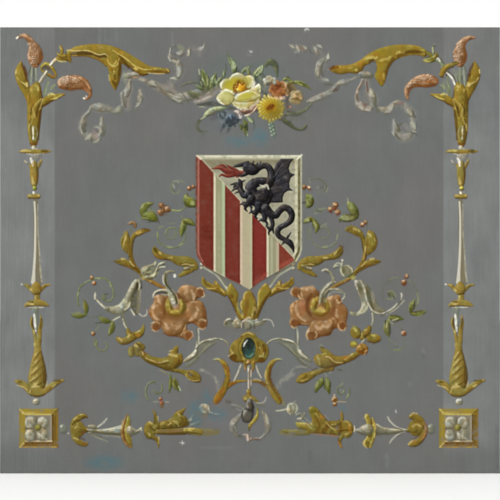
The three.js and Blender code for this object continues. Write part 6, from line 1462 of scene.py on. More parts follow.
touch((112, 78, 66), [(78, 286, 4), (84, 288, 6), (88, 284, 4)], strength=0.55, soft=3)
touch((200, 152, 120), ball(85, 287, 3.5), strength=0.6)

PETAL_BASE = (168, 160, 66)


def petal(outline, tones=CREAM, crown=9.0, soft=1.4, rough=0.12):
    model(tones, shape(outline, crown, smooth=True), soft=soft, rough=rough)


petal([(-30, 291), (-15, 283), (0, 283), (10, 291), (22, 297), (26, 308), (8, 308), (-20, 302), (-30, 298)])
touch((196, 178, 108), [(-22, 290, 3), (-8, 288, 4), (4, 290, 4), (8, 296, 4)], strength=0.5, soft=3)
touch((150, 132, 74), [(-26, 297, 2), (-10, 298, 3), (8, 300, 3), (18, 302, 2)], strength=0.6)
petal([(-2, 322), (12, 325), (18, 331), (23, 333), (27, 326), (26, 316), (24, 306), (24, 299), (8, 299), (-4, 308)])
touch((214, 204, 160), [(4, 300, 2), (12, 302, 4), (22, 308, 3)], strength=0.5)
touch((152, 132, 80), [(12, 310, 1.5), (20, 312, 3), (26, 313, 2)], [(8, 320, 2), (16, 318, 3)], strength=0.5)
touch((250, 246, 226), [(22, 332, 2), (24, 326, 4), (24, 318, 3)], [(10, 326, 2), (18, 328, 3)], strength=0.7)
petal([(-53, 322), (-54, 334), (-47, 342), (-36, 343), (-31, 350), (-22, 355), (-12, 353), (-6, 348), (3, 350), (9, 347), (13, 339), (11, 328), (4, 322), (-10, 316), (-30, 314), (-46, 318)])
touch((152, 148, 118), oval(-20, 346, 14, 7, 4, -6), oval(-44, 334, 9, 8, 4), strength=0.6, soft=5)
touch(PETAL_BASE, oval(-26, 334, 22, 13, 6), oval(-3, 336, 11, 11, 5), oval(-38, 328, 12, 10, 5), strength=0.6, soft=7)
touch((172, 158, 30), oval(-32, 329, 12, 11, 5), oval(-24, 338, 12, 7, 4), strength=0.6, soft=6)
touch((136, 132, 66), [(-50, 326, 3), (-44, 334, 4), (-34, 340, 3)], [(-10, 340, 2), (-4, 346, 3)], [(2, 334, 3), (4, 326, 3)], strength=0.4, soft=4)
touch((246, 243, 224), [(-53, 324, 2), (-54, 332, 4), (-50, 338, 2)], [(4, 349, 2), (10, 343, 5), (12, 333, 5), (8, 325, 2)], [(-36, 343, 1.5), (-30, 350, 2), (-20, 354, 2)], strength=0.7)
touch((222, 220, 196), [(-2, 326, 2), (4, 328, 4), (8, 336, 4)], strength=0.5)
touch((74, 70, 18), [(-50, 318, 2), (-40, 317, 2)], [(-6, 346, 1.2), (0, 338, 1.5)], strength=0.3)
petal([(-62, 303), (-60, 310), (-52, 317), (-44, 321), (-34, 319), (-28, 315), (-26, 302), (-32, 294), (-42, 290), (-53, 294)])
touch((186, 184, 108), oval(-42, 308, 13, 9, 5, 10), strength=0.65, soft=6)
touch((150, 148, 78), [(-46, 314, 3), (-38, 314, 5), (-32, 308, 4)], [(-52, 302, 2), (-42, 298, 3), (-34, 300, 3)], strength=0.45, soft=4)
touch((250, 247, 228), [(-61, 303, 3), (-56, 297, 4), (-48, 292, 3)], [(-54, 318, 2), (-44, 321, 3), (-36, 319, 3), (-28, 314, 4)], strength=0.75)
touch((100, 78, 30), [(-34, 314, 1), (-28, 308, 2), (-27, 300, 1)], strength=0.45)
touch((232, 229, 204), [(-27, 290, 3), (-15, 284, 5), (-2, 284, 4)], [(6, 287, 3), (16, 293, 5), (22, 299, 4)], strength=0.65, soft=2)
touch((158, 146, 96), [(-16, 283, 1.5), (-13, 291, 2)], [(3, 283, 1.5), (2, 291, 2)], [(15, 290, 1.5), (10, 296, 2)], [(-56, 296, 1.4), (-48, 304, 2)],
      [(-46, 291, 1.4), (-42, 299, 2)], strength=0.5)
petal([(-26, 300), (-24, 307), (-14, 314), (0, 320), (10, 320), (22, 314), (26, 308), (16, 301), (4, 297), (-14, 296)], crown=7)
touch((176, 168, 52), oval(-6, 307, 14, 7, 4, 14), oval(4, 311, 9, 5, 4, 14), strength=0.7, soft=5)
touch((146, 132, 52), [(-22, 299, 2), (-10, 300, 3), (6, 304, 3)], [(8, 314, 1.5), (16, 310, 2)], strength=0.5)
touch((250, 247, 230), [(-26, 306, 2), (-18, 313, 5), (-8, 317, 3), (2, 319, 2)], strength=0.75)
touch((110, 80, 20), [(-28, 316, 4), (-20, 315, 4), (-10, 318, 4), (0, 322, 2)], strength=0.55)
touch((122, 92, 26), coil(-16, 326, 14, 10, 20, 200, 8), strength=0.6, soft=4)
model(((120, 78, 14), (164, 116, 22), (200, 148, 32), (222, 174, 50), (240, 208, 96)), oval(-13, 325, 10, 7.5, 6), rough=0.3)
for x, z in ((-28, 325), (-27, 329), (-24, 332), (-20, 334), (-14, 334), (-9, 333), (-4, 329), (-2, 324), (-24, 318), (-27, 321), (-18, 336), (-11, 331), (-22, 326), (-20, 330)):
    touch((112, 58, 20), ball(x, z, 3.8), strength=0.75)
for x, z in ((-25, 327), (-22, 332), (-16, 332), (-12, 333), (-6, 330), (-25, 322)):
    touch((226, 176, 70), ball(x - 0.5, z + 0.5, 1.6), strength=0.7)
touch((90, 70, 10), [(-17, 340, 1), (-19, 337, 2)], strength=0.7)

touch((150, 128, 44), oval(47, 284, 23, 23, 8), strength=0.85, soft=5)
touch((176, 150, 40), oval(47, 286, 17, 17, 7), strength=0.8, soft=5)
for ring, count, reach, tone in ((0, 22, 26, (196, 176, 74)), (1, 18, 19, (184, 156, 42))):
    for index in range(count):
        angle = 2 * math.pi * (index + 0.5 * ring) / count + 0.06
        cos, sin = math.cos(angle), math.sin(angle)
        length = reach * (1 + 0.08 * math.sin(7 * angle + ring))
        shade = 0.9 + 0.16 * (0.6 * sin - 0.55 * cos)
        base = tuple(channel * shade for channel in tone)
        edge = tuple(channel * shade * 0.62 for channel in tone)
        light = (min(255, 232 * shade), min(255, 218 * shade), 140 * shade)
        path = [(46 + 5 * cos, 286 + 5 * sin, 3), (46 + 0.6 * length * cos, 285 + 0.6 * length * sin, 7 - ring),
                (46 + 0.92 * length * cos, 284 + 0.92 * length * sin, 5.4 - ring), (46 + length * cos, 284 + length * sin, 2)]
        touch(edge, [(x + 0.7 * sin + 0.5, z - 0.7 * cos - 0.5, w + 1.2) for x, z, w in path], strength=0.55)
        touch(base, path, strength=0.9)
        touch(light, [(46 + 0.7 * length * cos, 286 + 0.7 * length * sin, 1.4), (46 + 0.96 * length * cos, 286 + 0.96 * length * sin, 2.6 - ring)], strength=0.6 - 0.3 * ring)
touch((152, 112, 24), oval(46, 286, 12, 10, 5, 20), strength=0.75, soft=5)
touch((118, 66, 20), oval(45.5, 286, 8.5, 5.5, 5, 30), strength=0.9, soft=3)
touch((92, 48, 18), [(40, 283, 3), (45, 286, 5), (51, 290, 3)], strength=0.7)
touch((188, 150, 50), [(38, 289, 3), (42, 294, 3), (48, 296, 2)], [(53, 280, 3), (57, 286, 2)], strength=0.5)
touch((120, 106, 40), [(66, 300, 5), (72, 290, 6), (71, 278, 4)], strength=0.4, soft=4)

RUSSET = ((76, 42, 18), (106, 68, 34), (136, 96, 54), (168, 130, 84), (206, 172, 128))
for angle in range(0, 360, 45):
    cos, sin = math.cos(math.radians(angle + 12)), math.sin(math.radians(angle + 12))
    model(RUSSET, oval(61 + 10.5 * cos, 322 + 9 * sin, 9.5, 7.5, 6, angle + 12), soft=1.6, rough=0.2)
touch((224, 186, 148), [(70, 337, 2), (77, 331, 6), (81, 321, 7), (79, 311, 5)], [(54, 306, 3), (62, 304, 6), (72, 305, 5)], [(44, 314, 2), (44, 308, 4), (50, 305, 2)], strength=0.7, soft=3)
touch((162, 104, 66), [(72, 332, 2), (76, 324, 3)], [(74, 318, 3), (76, 312, 2)], strength=0.5)
touch((112, 46, 22), oval(57, 324, 11, 10, 6), strength=0.6, soft=6)
touch((158, 96, 56), [(50, 332, 2), (58, 335, 4), (68, 334, 3)], [(52, 316, 3), (58, 312, 5), (66, 312, 3)], [(66, 322, 3), (70, 318, 4)], strength=0.55, soft=3)
touch((76, 34, 16), [(48, 324, 3), (54, 320, 5), (60, 322, 3)], [(56, 330, 3), (64, 328, 4)], [(66, 314, 2), (72, 312, 3)], strength=0.5, soft=2.5)
touch((250, 226, 200), ball(66, 304, 5), [(80, 322, 2), (81, 316, 3)], strength=0.6)
touch((200, 128, 70), [(58, 318, 2), (62, 318, 3)], strength=0.6)

for x, z, across, up in ((36, 340, 6, 5), (43, 344, 7, 5.5), (51, 341, 6, 5), (43, 338, 5, 4), (54, 335, 4, 4), (36, 334, 4, 4)):
    model(((96, 92, 76), (124, 120, 102), (156, 152, 132), (184, 180, 160), (212, 208, 190)), oval(x, z, across, up, 4), soft=2, rough=0.2)
touch((54, 48, 30), [(38, 333, 3), (43, 332, 6), (48, 334, 3)], strength=0.65, soft=2)
touch((158, 142, 96), ball(44, 340, 4), strength=0.6)
touch((150, 144, 118), [(34, 332, 4), (36, 326, 5)], [(52, 332, 3), (56, 336, 3)], strength=0.5)

touch((104, 84, 46), oval(86, 322, 10, 13, 5, -14), strength=0.75, soft=3)
touch((70, 52, 26), [(80, 330, 4), (84, 322, 6), (86, 312, 5)], strength=0.6, soft=3)
touch((138, 120, 66), [(88, 332, 2), (94, 326, 3), (96, 320, 2)], strength=0.55)
ROSE = ((84, 64, 32), (110, 92, 54), (136, 120, 78), (162, 146, 104), (190, 172, 132))
for x, z, across, up in ((92, 311, 8, 8), (101, 313, 8, 7), (104, 305, 8, 7), (90, 301, 8, 7), (98, 299, 9, 7), (96, 308, 8, 7)):
    model(ROSE, oval(x, z, across, up, 5), soft=2.6, strength=0.8, rough=0.2)
touch((226, 178, 136), [(92, 312, 2), (95, 309, 5), (92, 306, 2)], [(103, 308, 3), (106, 304, 4)], strength=0.55, soft=2)
touch((92, 66, 32), [(96, 313, 2), (100, 310, 3)], [(90, 302, 2), (96, 303, 3), (102, 300, 2)], [(97, 306, 2), (99, 302, 2)], strength=0.5)
touch((150, 138, 102), [(86, 298, 4), (94, 294, 6), (104, 296, 4)], strength=0.45, soft=4)

# The ground's own history: blue-grey retouching, rubbed places, chips down to the white priming, and
# a bruise or two.
side = 1
touch((88, 113, 119), oval(25, 226, 14, 18, 9), oval(-104, -326, 14, 26, 9), oval(-82, -294, 9, 12, 6), oval(-290, -424, 38, 12, 9),
      oval(-236, -292, 14, 9, 6), oval(-60, -330, 18, 12, 8), oval(-20, 218, 28, 10, 8), oval(190, -316, 6, 6, 4), strength=0.85, soft=12, patchy=0.4)
touch((119, 112, 116), oval(52, 20, 4, 4, 2), oval(20, -280, 34, 30, 9), oval(150, -230, 30, 16, 9), oval(-60, -345, 20, 10, 8), oval(190, 60, 30, 20, 9),
      oval(290, -170, 20, 30, 9), oval(-250, -210, 40, 30, 9), oval(330, 80, 30, 60, 9), strength=0.2, soft=14)
touch((92, 95, 94), [(124, -404, 5), (124, -414, 7), (123, -425, 4)], [(350, -206, 3), (352, -214, 3)], [(2, -430, 4), (4, -426, 4)], [(499, -350, 3), (499, -400, 3), (499, -436, 3)],
      strength=0.55, soft=4)
touch((128, 132, 132), [(278, -410, 7), (279, -424, 8), (278, -434, 4)], [(0, 396, 3), (6, 396, 3)], [(0, 390, 3), (6, 390, 3)], [(394, 100, 2), (393, 30, 3), (394, -25, 2)],
      [(349, -200, 3), (351, -206, 3)], [(323, -264, 3), (325, -270, 4)], strength=0.4, soft=3)
touch((206, 208, 204), [(-136, -385, 1), (-131, -385, 1.8), (-126, -385, 1)], [(-131, -381, 1), (-131, -389, 1)], [(115, 441, 3), (119, 443, 4), (122, 441, 2)],
      [(4, 398, 3), (7, 397, 4)], [(-130, -386, 2), (-129, -385, 2)], [(-130, -387, 2), (-128, -386, 2)], [(296, -320, 1.4), (297, -324, 2)], strength=0.6)
touch((134, 136, 132), [(-150, 436, 2), (-150, 418, 2.4), (-149, 400, 1.4)], [(-296, 442, 3), (-297, 420, 4), (-296, 404, 2)], [(-286, 440, 2), (-285, 418, 3)], [(350, -196, 2), (356, -208, 2)],
      [(-262, 444, 1.6), (-262, 418, 2)], [(-94, -394, 1.4), (-60, -395, 2), (-30, -394, 1.4)], strength=0.32, soft=3)

# The shield: a coat of arms painted as a bevelled plate, its lower left half in red and white stripes
# and its upper right half pale, with a black winged dragon that breathes a red flame.
outer = [(-103, 190), (108, 190), (108, 2), (105, -10), (99, -20), (93, -27), (60, -43), (28, -60), (4, -79),
         (-14, -69), (-42, -56), (-66, -43), (-88, -31), (-96, -20), (-101, -8), (-103, 6)]
touch((150, 146, 116), shape(outer), strength=1)
DIAGONAL = ((-92, 181), (94, -18))
SLOPE = (DIAGONAL[1][1] - DIAGONAL[0][1]) / (DIAGONAL[1][0] - DIAGONAL[0][0])


def on_diagonal(x):
    return DIAGONAL[0][1] + (x - DIAGONAL[0][0]) * SLOPE


def foot(x):
    """The height of the shield's lower edge under x."""
    points = ((-98, -8), (-94, -20), (-86, -32), (-66, -42), (-42, -55), (-14, -68), (4, -78), (28, -60), (60, -42), (94, -20), (99, -8))
    return float(np.interp(x, [p[0] for p in points], [p[1] for p in points]))


def stripe(left, right, colour, below=0.0, strength=1.0):
    """An upright stripe from the diagonal down to the shield's lower edge."""
    edge = [(x, on_diagonal(x) - 0.5) for x in (left, right)]
    base = [(x, foot(x) + below) for x in np.linspace(right, left, 7)]
    touch(colour, shape(edge + base), strength=strength, patchy=0.06)


touch((158, 155, 132), shape([DIAGONAL[0], (100, 181), (100, -4), DIAGONAL[1]]), strength=1)
for step in range(6):
    touch((140, 134, 106), shape([(-90 + 3 * step, 181), (100, 181), (100, 178 - 2.2 * step), (-84 + 4 * step, 172 - 2.2 * step)]), strength=0.16, soft=4)
touch((104, 98, 72), shape([(-88, 181), (99, 181), (99, 176), (60, 172), (-20, 166), (-68, 158)]), strength=0.5, soft=8)
touch((182, 180, 156), [(92, 150, 8), (90, 110, 14), (90, 60, 18), (88, 20, 12)], strength=0.5, soft=8)
stripe(-97, -68, (110, 46, 34))
touch((84, 26, 16), shape([(-92, 46), (-72, 46), (-72, 24), (-92, 24)]), strength=0.45, soft=16)
touch((98, 40, 30), [(-71, 140, 3), (-71, 40, 3), (-71, -34, 3)], strength=0.5, soft=3)
stripe(-68, -63.5, (208, 198, 170))
stripe(-63.5, -43, (148, 147, 114))
touch((186, 190, 160), [(-58, 118, 1), (-57, 100, 5), (-57, -20, 5), (-57, -40, 1)], strength=0.3, soft=5)
stripe(-51, -45, (170, 182, 146))
stripe(-45, -15, (113, 47, 37))
touch((88, 36, 28), [(-43.5, 120, 2.4), (-43.5, 0, 2.4), (-43, -50, 2.4)], [(-17, 90, 2.4), (-17, 0, 2.4), (-17, -62, 2)], strength=0.55, soft=3)
stripe(-15, -10, (202, 180, 154))
stripe(-10, 11, (176, 166, 136))
stripe(5, 9.5, (180, 176, 142))
stripe(9.5, 38, (114, 42, 34))
touch((136, 44, 42), shape([(14, 56), (30, 42), (30, -30), (16, -30)]), strength=0.4, soft=12)
touch((84, 34, 24), [(11.5, 62, 2.6), (11.5, 0, 2.6), (11.5, -66, 2.4)], strength=0.6, soft=3)
stripe(38, 42.5, (208, 198, 172))
stripe(42.5, 63, (146, 144, 112))
stripe(46, 50, (166, 166, 136))
stripe(57, 62.5, (176, 162, 136))
stripe(63, 95, (120, 54, 40))
touch((170, 92, 74), [(16, -64, 6), (30, -54, 5), (38, -46, 3)], [(66, -32, 6), (80, -24, 6), (90, -18, 4)], strength=0.6, soft=5)
touch((100, 42, 32), [(-42, -46, 3), (-28, -56, 5), (-16, -62, 3)], [(-95, -8, 3), (-86, -24, 4), (-72, -34, 4)], strength=0.4, soft=4)
touch((206, 198, 168), [(-91, 181, 1.5), (-40, 126, 1.6), (20, 62, 1.8), (93, -16, 1.6)], strength=0.55)
touch((108, 96, 70), [(-89, 176, 1), (-66, 150, 1.4), (-64, 148, 1)], [(44, 33, 1), (60, 16, 1)], strength=0.4)

touch((178, 180, 154), shape([(-103, 190), (108, 190), (100, 182), (-93, 182)]), strength=1)
touch((218, 211, 188), [(-84, 187.5, 3), (20, 187.5, 4), (102, 188, 3)], strength=0.75)
touch((150, 144, 118), [(-92, 182, 1.6), (99, 182, 1.6)], strength=0.7)
touch((120, 58, 46), shape([(-103, 189), (-96, 181), (-96, -6), (-92, -18), (-84, -29), (-88, -31), (-97, -20), (-102, -8), (-103, 4)]), strength=1)
touch((96, 52, 40), [(-103.5, 184, 2), (-103.5, 100, 2.4), (-103, 4, 2)], strength=0.6, soft=3)
touch((176, 116, 100), [(-98, 184, 2.4), (-98.5, 100, 2.6), (-98.5, 4, 2.6), (-96, -10, 2.6), (-90, -22, 2)], strength=0.75)
touch((232, 214, 190), [(-102, 189, 2), (-94, 183, 4)], strength=0.85)
touch((186, 183, 150), shape([(108, 190), (108, 2), (104, -12), (97, -22), (92, -18), (97, -8), (99, 2), (99.5, 182)]), strength=1)
touch((204, 199, 168), [(97, 180, 5), (97, 60, 5), (96.5, 2, 5), (92, -10, 4)], strength=0.9)
touch((84, 79, 48), [(103, 182, 4.6), (103, 60, 4.8), (102.5, 4, 4.6), (98, -10, 4), (94, -20, 2)], strength=0.9)
touch((166, 164, 146), [(106.5, 186, 2.4), (106.5, 40, 2.4), (106, 0, 2.4), (100, -16, 2)], strength=0.8)
touch((232, 228, 208), [(100, 183, 3), (108, 190.5, 3)], strength=0.85)
touch((84, 72, 56), [(6, -78, 1.6), (30, -60.5, 2), (62, -43, 2), (94, -24, 2)], strength=0.75)
touch((96, 84, 70), [(-84, -34, 1.4), (-64, -45, 1.6), (-40, -58, 1.8), (-12, -70, 1.6)], strength=0.6)
touch((196, 190, 164), [(-66, -41, 2), (-44, -54, 1.6)], strength=0.5)

for index in range(26):
    touch((150, 144, 112), ball(101.5 if index % 2 else 98.5, 176 - 6.4 * index, 1.6), strength=0.35)

FLAME = ((70, 27, 22), (88, 35, 28), (106, 44, 34), (122, 56, 44), (148, 84, 68))
model(FLAME, [(-6, 157, 6), (-18, 154, 10), (-32, 154, 13), (-44, 159, 11), (-56, 165, 7), (-72, 163, 1.5)],
      [(-20, 158, 6), (-32, 164, 6), (-42, 170, 2)], [(-26, 150, 6), (-40, 148, 6), (-52, 151, 4), (-57, 147, 1.5)],
      [(-38, 158, 6), (-50, 170, 4), (-62, 168, 1.5)], [(-12, 152, 5), (-22, 146, 3)])
touch((158, 96, 74), [(-40, 161, 2), (-54, 166, 2), (-66, 165, 1)], [(-30, 151, 1.5), (-44, 151, 2)], strength=0.45)
touch((84, 34, 26), [(-10, 152, 3), (-22, 157, 3), (-36, 155, 2)], [(-30, 163, 2), (-44, 166, 2)], strength=0.5, soft=2.4)
touch((206, 196, 170), [(-24, 144, 1.5), (-14, 143, 2.4), (-4, 144, 1.5)], strength=0.7)

DRAGON = ((10, 9, 10), (18, 16, 17), (36, 34, 35), (58, 55, 55), (96, 92, 91))
WING = ((16, 15, 16), (26, 24, 26), (46, 44, 46), (66, 64, 66), (98, 95, 96))
model(WING, shape([(42, 134), (46, 150), (52, 163), (58, 176), (66, 183), (92, 183), (85, 174), (82, 164), (84, 156), (94, 151),
                   (86, 145), (83, 134), (84, 125), (90, 120), (80, 119), (73, 114), (70, 106), (70, 96), (58, 95), (46, 95), (38, 108)], crown=5),
      [(46, 128, 8), (54, 146, 8), (66, 166, 7), (84, 181, 4)], [(46, 126, 7), (62, 140, 6), (78, 150, 5), (92, 152, 2)],
      [(46, 122, 7), (60, 124, 6), (76, 124, 4), (88, 120, 2)], [(46, 116, 6), (56, 110, 5), (66, 100, 3)])
model(DRAGON, [(-3, 168, 14), (3, 164, 24), (11, 161, 22), (19, 164, 15), (28, 168, 12), (36, 169, 12), (43, 164, 13), (47, 154, 15), (47, 144, 17), (42, 134, 19)],
      [(-2, 173, 10), (-12, 171, 8), (-22, 169, 6), (-28, 167, 2)], [(2, 158, 12), (-6, 152, 8), (-13, 149, 5), (-18, 151, 2)], [(2, 172, 6), (1, 178, 2)],
      [(9, 172, 6), (12, 178, 2)], [(16, 168, 5), (20, 175, 1.5)], [(24, 173, 3), (26, 178, 1.5)],
      [(46, 137, 14), (30, 138, 16), (14, 134, 20), (6, 124, 24), (8, 112, 28), (14, 104, 30), (24, 104, 34), (34, 112, 26), (41, 120, 12)],
      [(24, 98, 30), (30, 86, 26), (38, 78, 20)], [(42, 110, 18), (37, 98, 18)])
model(DRAGON, [(2, 114, 14), (-7, 110, 13), (-13, 119, 12), (-18, 128, 10), (-25, 133, 6), (-34, 131, 2)], [(-18, 126, 8), (-26, 123, 5), (-32, 118, 2)],
      [(-15, 118, 6), (-22, 116, 3), (-26, 113, 1.5)], [(-14, 128, 9), (-14, 136, 7), (-18, 142, 3)], [(-12, 136, 4), (-6, 140, 2)],
      [(-18, 134, 8), (-24, 130, 6), (-28, 126, 3)])
model(DRAGON, [(8, 104, 16), (2, 95, 12), (-4, 91, 10), (-9, 94, 6), (-15, 91, 2)], [(-3, 89, 8), (-5, 83, 5), (-1, 78, 2)], [(4, 92, 6), (8, 84, 4), (6, 79, 2)],
      [(22, 90, 16), (19, 80, 12), (14, 75, 9), (8, 77, 5), (3, 74, 2)], [(17, 74, 8), (15, 68, 5), (19, 63, 2)],
      [(34, 80, 14), (34, 68, 12), (33, 61, 9), (27, 61, 5), (22, 58, 2)], [(35, 60, 7), (39, 54, 5), (37, 48, 2)],
      [(42, 76, 12), (48, 62, 9), (50, 51, 8), (46, 43, 8), (40, 46, 4), (37, 49, 2)], [(46, 42, 6), (42, 36, 4), (42, 31, 2)], [(50, 42, 5), (52, 34, 2)])
model(DRAGON, [(36, 84, 18), (46, 73, 15), (56, 70, 14), (63, 78, 13), (72, 85, 13), (82, 82, 13), (88, 72, 13), (86, 60, 12), (77, 52, 11), (67, 47, 11),
               (60, 39, 11), (62, 29, 10), (71, 23, 9), (80, 20, 8)],
      [(76, 21, 6), (86, 35, 2)], [(74, 18, 6), (68, 11, 2)], [(76, 19, 10), (84, 15, 12), (90, 5, 7), (92, -4, 2)])
touch((96, 92, 92), [(18, 169, 1.5), (34, 174, 2), (46, 166, 1.5)], [(44, 156, 2), (45, 144, 2)], [(8, 138, 1.5), (22, 142, 2), (38, 141, 1.5)], [(-2, 120, 2), (2, 108, 2)],
      [(52, 146, 1.5), (64, 165, 1.5), (78, 178, 1)], [(56, 136, 1.5), (74, 149, 1.5)], [(56, 126, 1.5), (72, 126, 1.5)], [(60, 82, 1.5), (72, 91, 2), (82, 88, 1.5)],
      [(85, 70, 1.5), (83, 60, 1.5)], [(56, 44, 1.5), (57, 32, 1.5)], [(30, 92, 2), (36, 84, 1.5)], strength=0.5)
touch((20, 18, 20), [(10, 124, 3), (18, 116, 5), (28, 118, 3)], [(20, 98, 3), (30, 100, 4)], [(56, 156, 2), (66, 172, 2)], [(60, 142, 2), (78, 156, 2)], [(60, 130, 2), (80, 138, 2)],
      [(54, 114, 2), (66, 116, 3)], strength=0.55)
for index in range(9):
    touch((70, 68, 70), ball(8 + 4 * (index % 4), 130 - 3.5 * index, 2.6), strength=0.35)
touch((40, 38, 40), [(16, 116, 6), (26, 112, 8), (34, 106, 6)], strength=0.5, soft=3)
touch((120, 116, 112), [(3, 169, 1.4), (6, 168.5, 1.6)], [(8, 176, 1.4), (12, 175, 1.4)], strength=0.7)
touch((64, 62, 74), [(0, 166, 4), (6, 163, 6), (12, 164, 4)], strength=0.4, soft=3)
touch((208, 204, 184), [(-20, 164, 1.4), (-15, 162, 2), (-11, 161, 1.4)], strength=0.8)
touch((196, 192, 170), [(24, 131, 1), (31, 128, 4), (38, 130, 4), (42, 122, 2)], [(-8, 128, 1), (-6, 122, 3), (-3, 119, 1)], [(10, 82, 2), (14, 84, 2)], [(20, 68, 1.5), (28, 66, 2.4)],
      [(40, 60, 3), (42, 54, 2)], strength=0.85)

# The finished picture is taken to the panel's face as points set close where the paint changes and
# far apart where it doesn't. First the strokes melt into one another a little, then their edges are
# drawn up crisp again.
LARGEST_CELL = 32
BARE_GREY = 0.44
CRISPNESS = 0.9


def melted(values, times):
    values = values.copy()
    for again in range(times):
        values[1:-1] = 0.25 * values[:-2] + 0.5 * values[1:-1] + 0.25 * values[2:]
        values[:, 1:-1] = 0.25 * values[:, :-2] + 0.5 * values[:, 1:-1] + 0.25 * values[:, 2:]
    return values


picture = melted(picture, 2)
picture += CRISPNESS * (picture - melted(picture, 5))
picture[..., 3:] = np.clip(picture[..., 3:], 0, 1)
picture[..., :3] = np.clip(picture[..., :3], 0, picture[..., 3:])
seen_on_grey = picture.copy()
seen_on_grey[..., :3] += (1 - picture[..., 3:]) * BARE_GREY
seen_on_grey[..., 3] *= 0.2


def cell_faults(size):
    """How badly a cell of so many steps, coloured from its corners alone, would show the picture."""
    corners = seen_on_grey[::size, ::size]
    fault = np.zeros((NET_ROWS // size, NET_COLUMNS // size), dtype=np.float32)
    for down in range(size):
        for across in range(size):
            u, v = across / size, down / size
            guess = (
                corners[:-1, :-1] * ((1 - u) * (1 - v)) + corners[:-1, 1:] * (u * (1 - v))
                + corners[1:, :-1] * ((1 - u) * v) + corners[1:, 1:] * (u * v))
            there = seen_on_grey[down:NET_ROWS:size, across:NET_COLUMNS:size]
            fault = np.maximum(fault, np.abs(there - guess).max(axis=-1))
    return fault


faults = {}
size = LARGEST_CELL
while size > 1:
    faults[size] = cell_faults(size)
    size //= 2


# The panel is joined up from five upright softwood planks, glued edge to edge and planed flat before
# they were painted over as one face. Only their outer edges are eased, and thinned at the back.
JOINTS = (-0.391, -0.106, 0.106, 0.391)
CUTS = (0, *(round((at * 1000 - AXIS - xs[0]) / x_step) for at in JOINTS), NET_COLUMNS)
MOST_POINTS = 92000
RIM_THICKNESS = 0.009
BACK_BEVEL = 0.038
STRIP = 0.1


def points_kept(tolerance):
    """The points that the picture needs, so that no cell is further off than the tolerance."""
    kept = np.zeros((NET_ROWS + 1, NET_COLUMNS + 1), dtype=bool)
    kept[::LARGEST_CELL, ::LARGEST_CELL] = True
    kept[::LARGEST_CELL, CUTS] = True
    parted = np.ones((NET_ROWS // LARGEST_CELL, NET_COLUMNS // LARGEST_CELL), dtype=bool)
    for size, fault in faults.items():
        parted = parted & (fault > tolerance)
        rows, columns = np.nonzero(parted)
        half = size // 2
        for down in (0, half, size):
            for across in (0, half, size):
                kept[rows * size + down, columns * size + across] = True
        parted = np.kron(parted, np.ones((2, 2), dtype=bool))
    return kept


finest, coarsest = 0.002, 0.5
for attempt in range(9):
    tolerance = math.sqrt(finest * coarsest)
    kept = points_kept(tolerance)
    if max(kept[:, first:last + 1].sum() for first, last in zip(CUTS[:-1], CUTS[1:])) > MOST_POINTS:
        finest = tolerance
    else:
        coarsest = tolerance
kept = points_kept(coarsest)


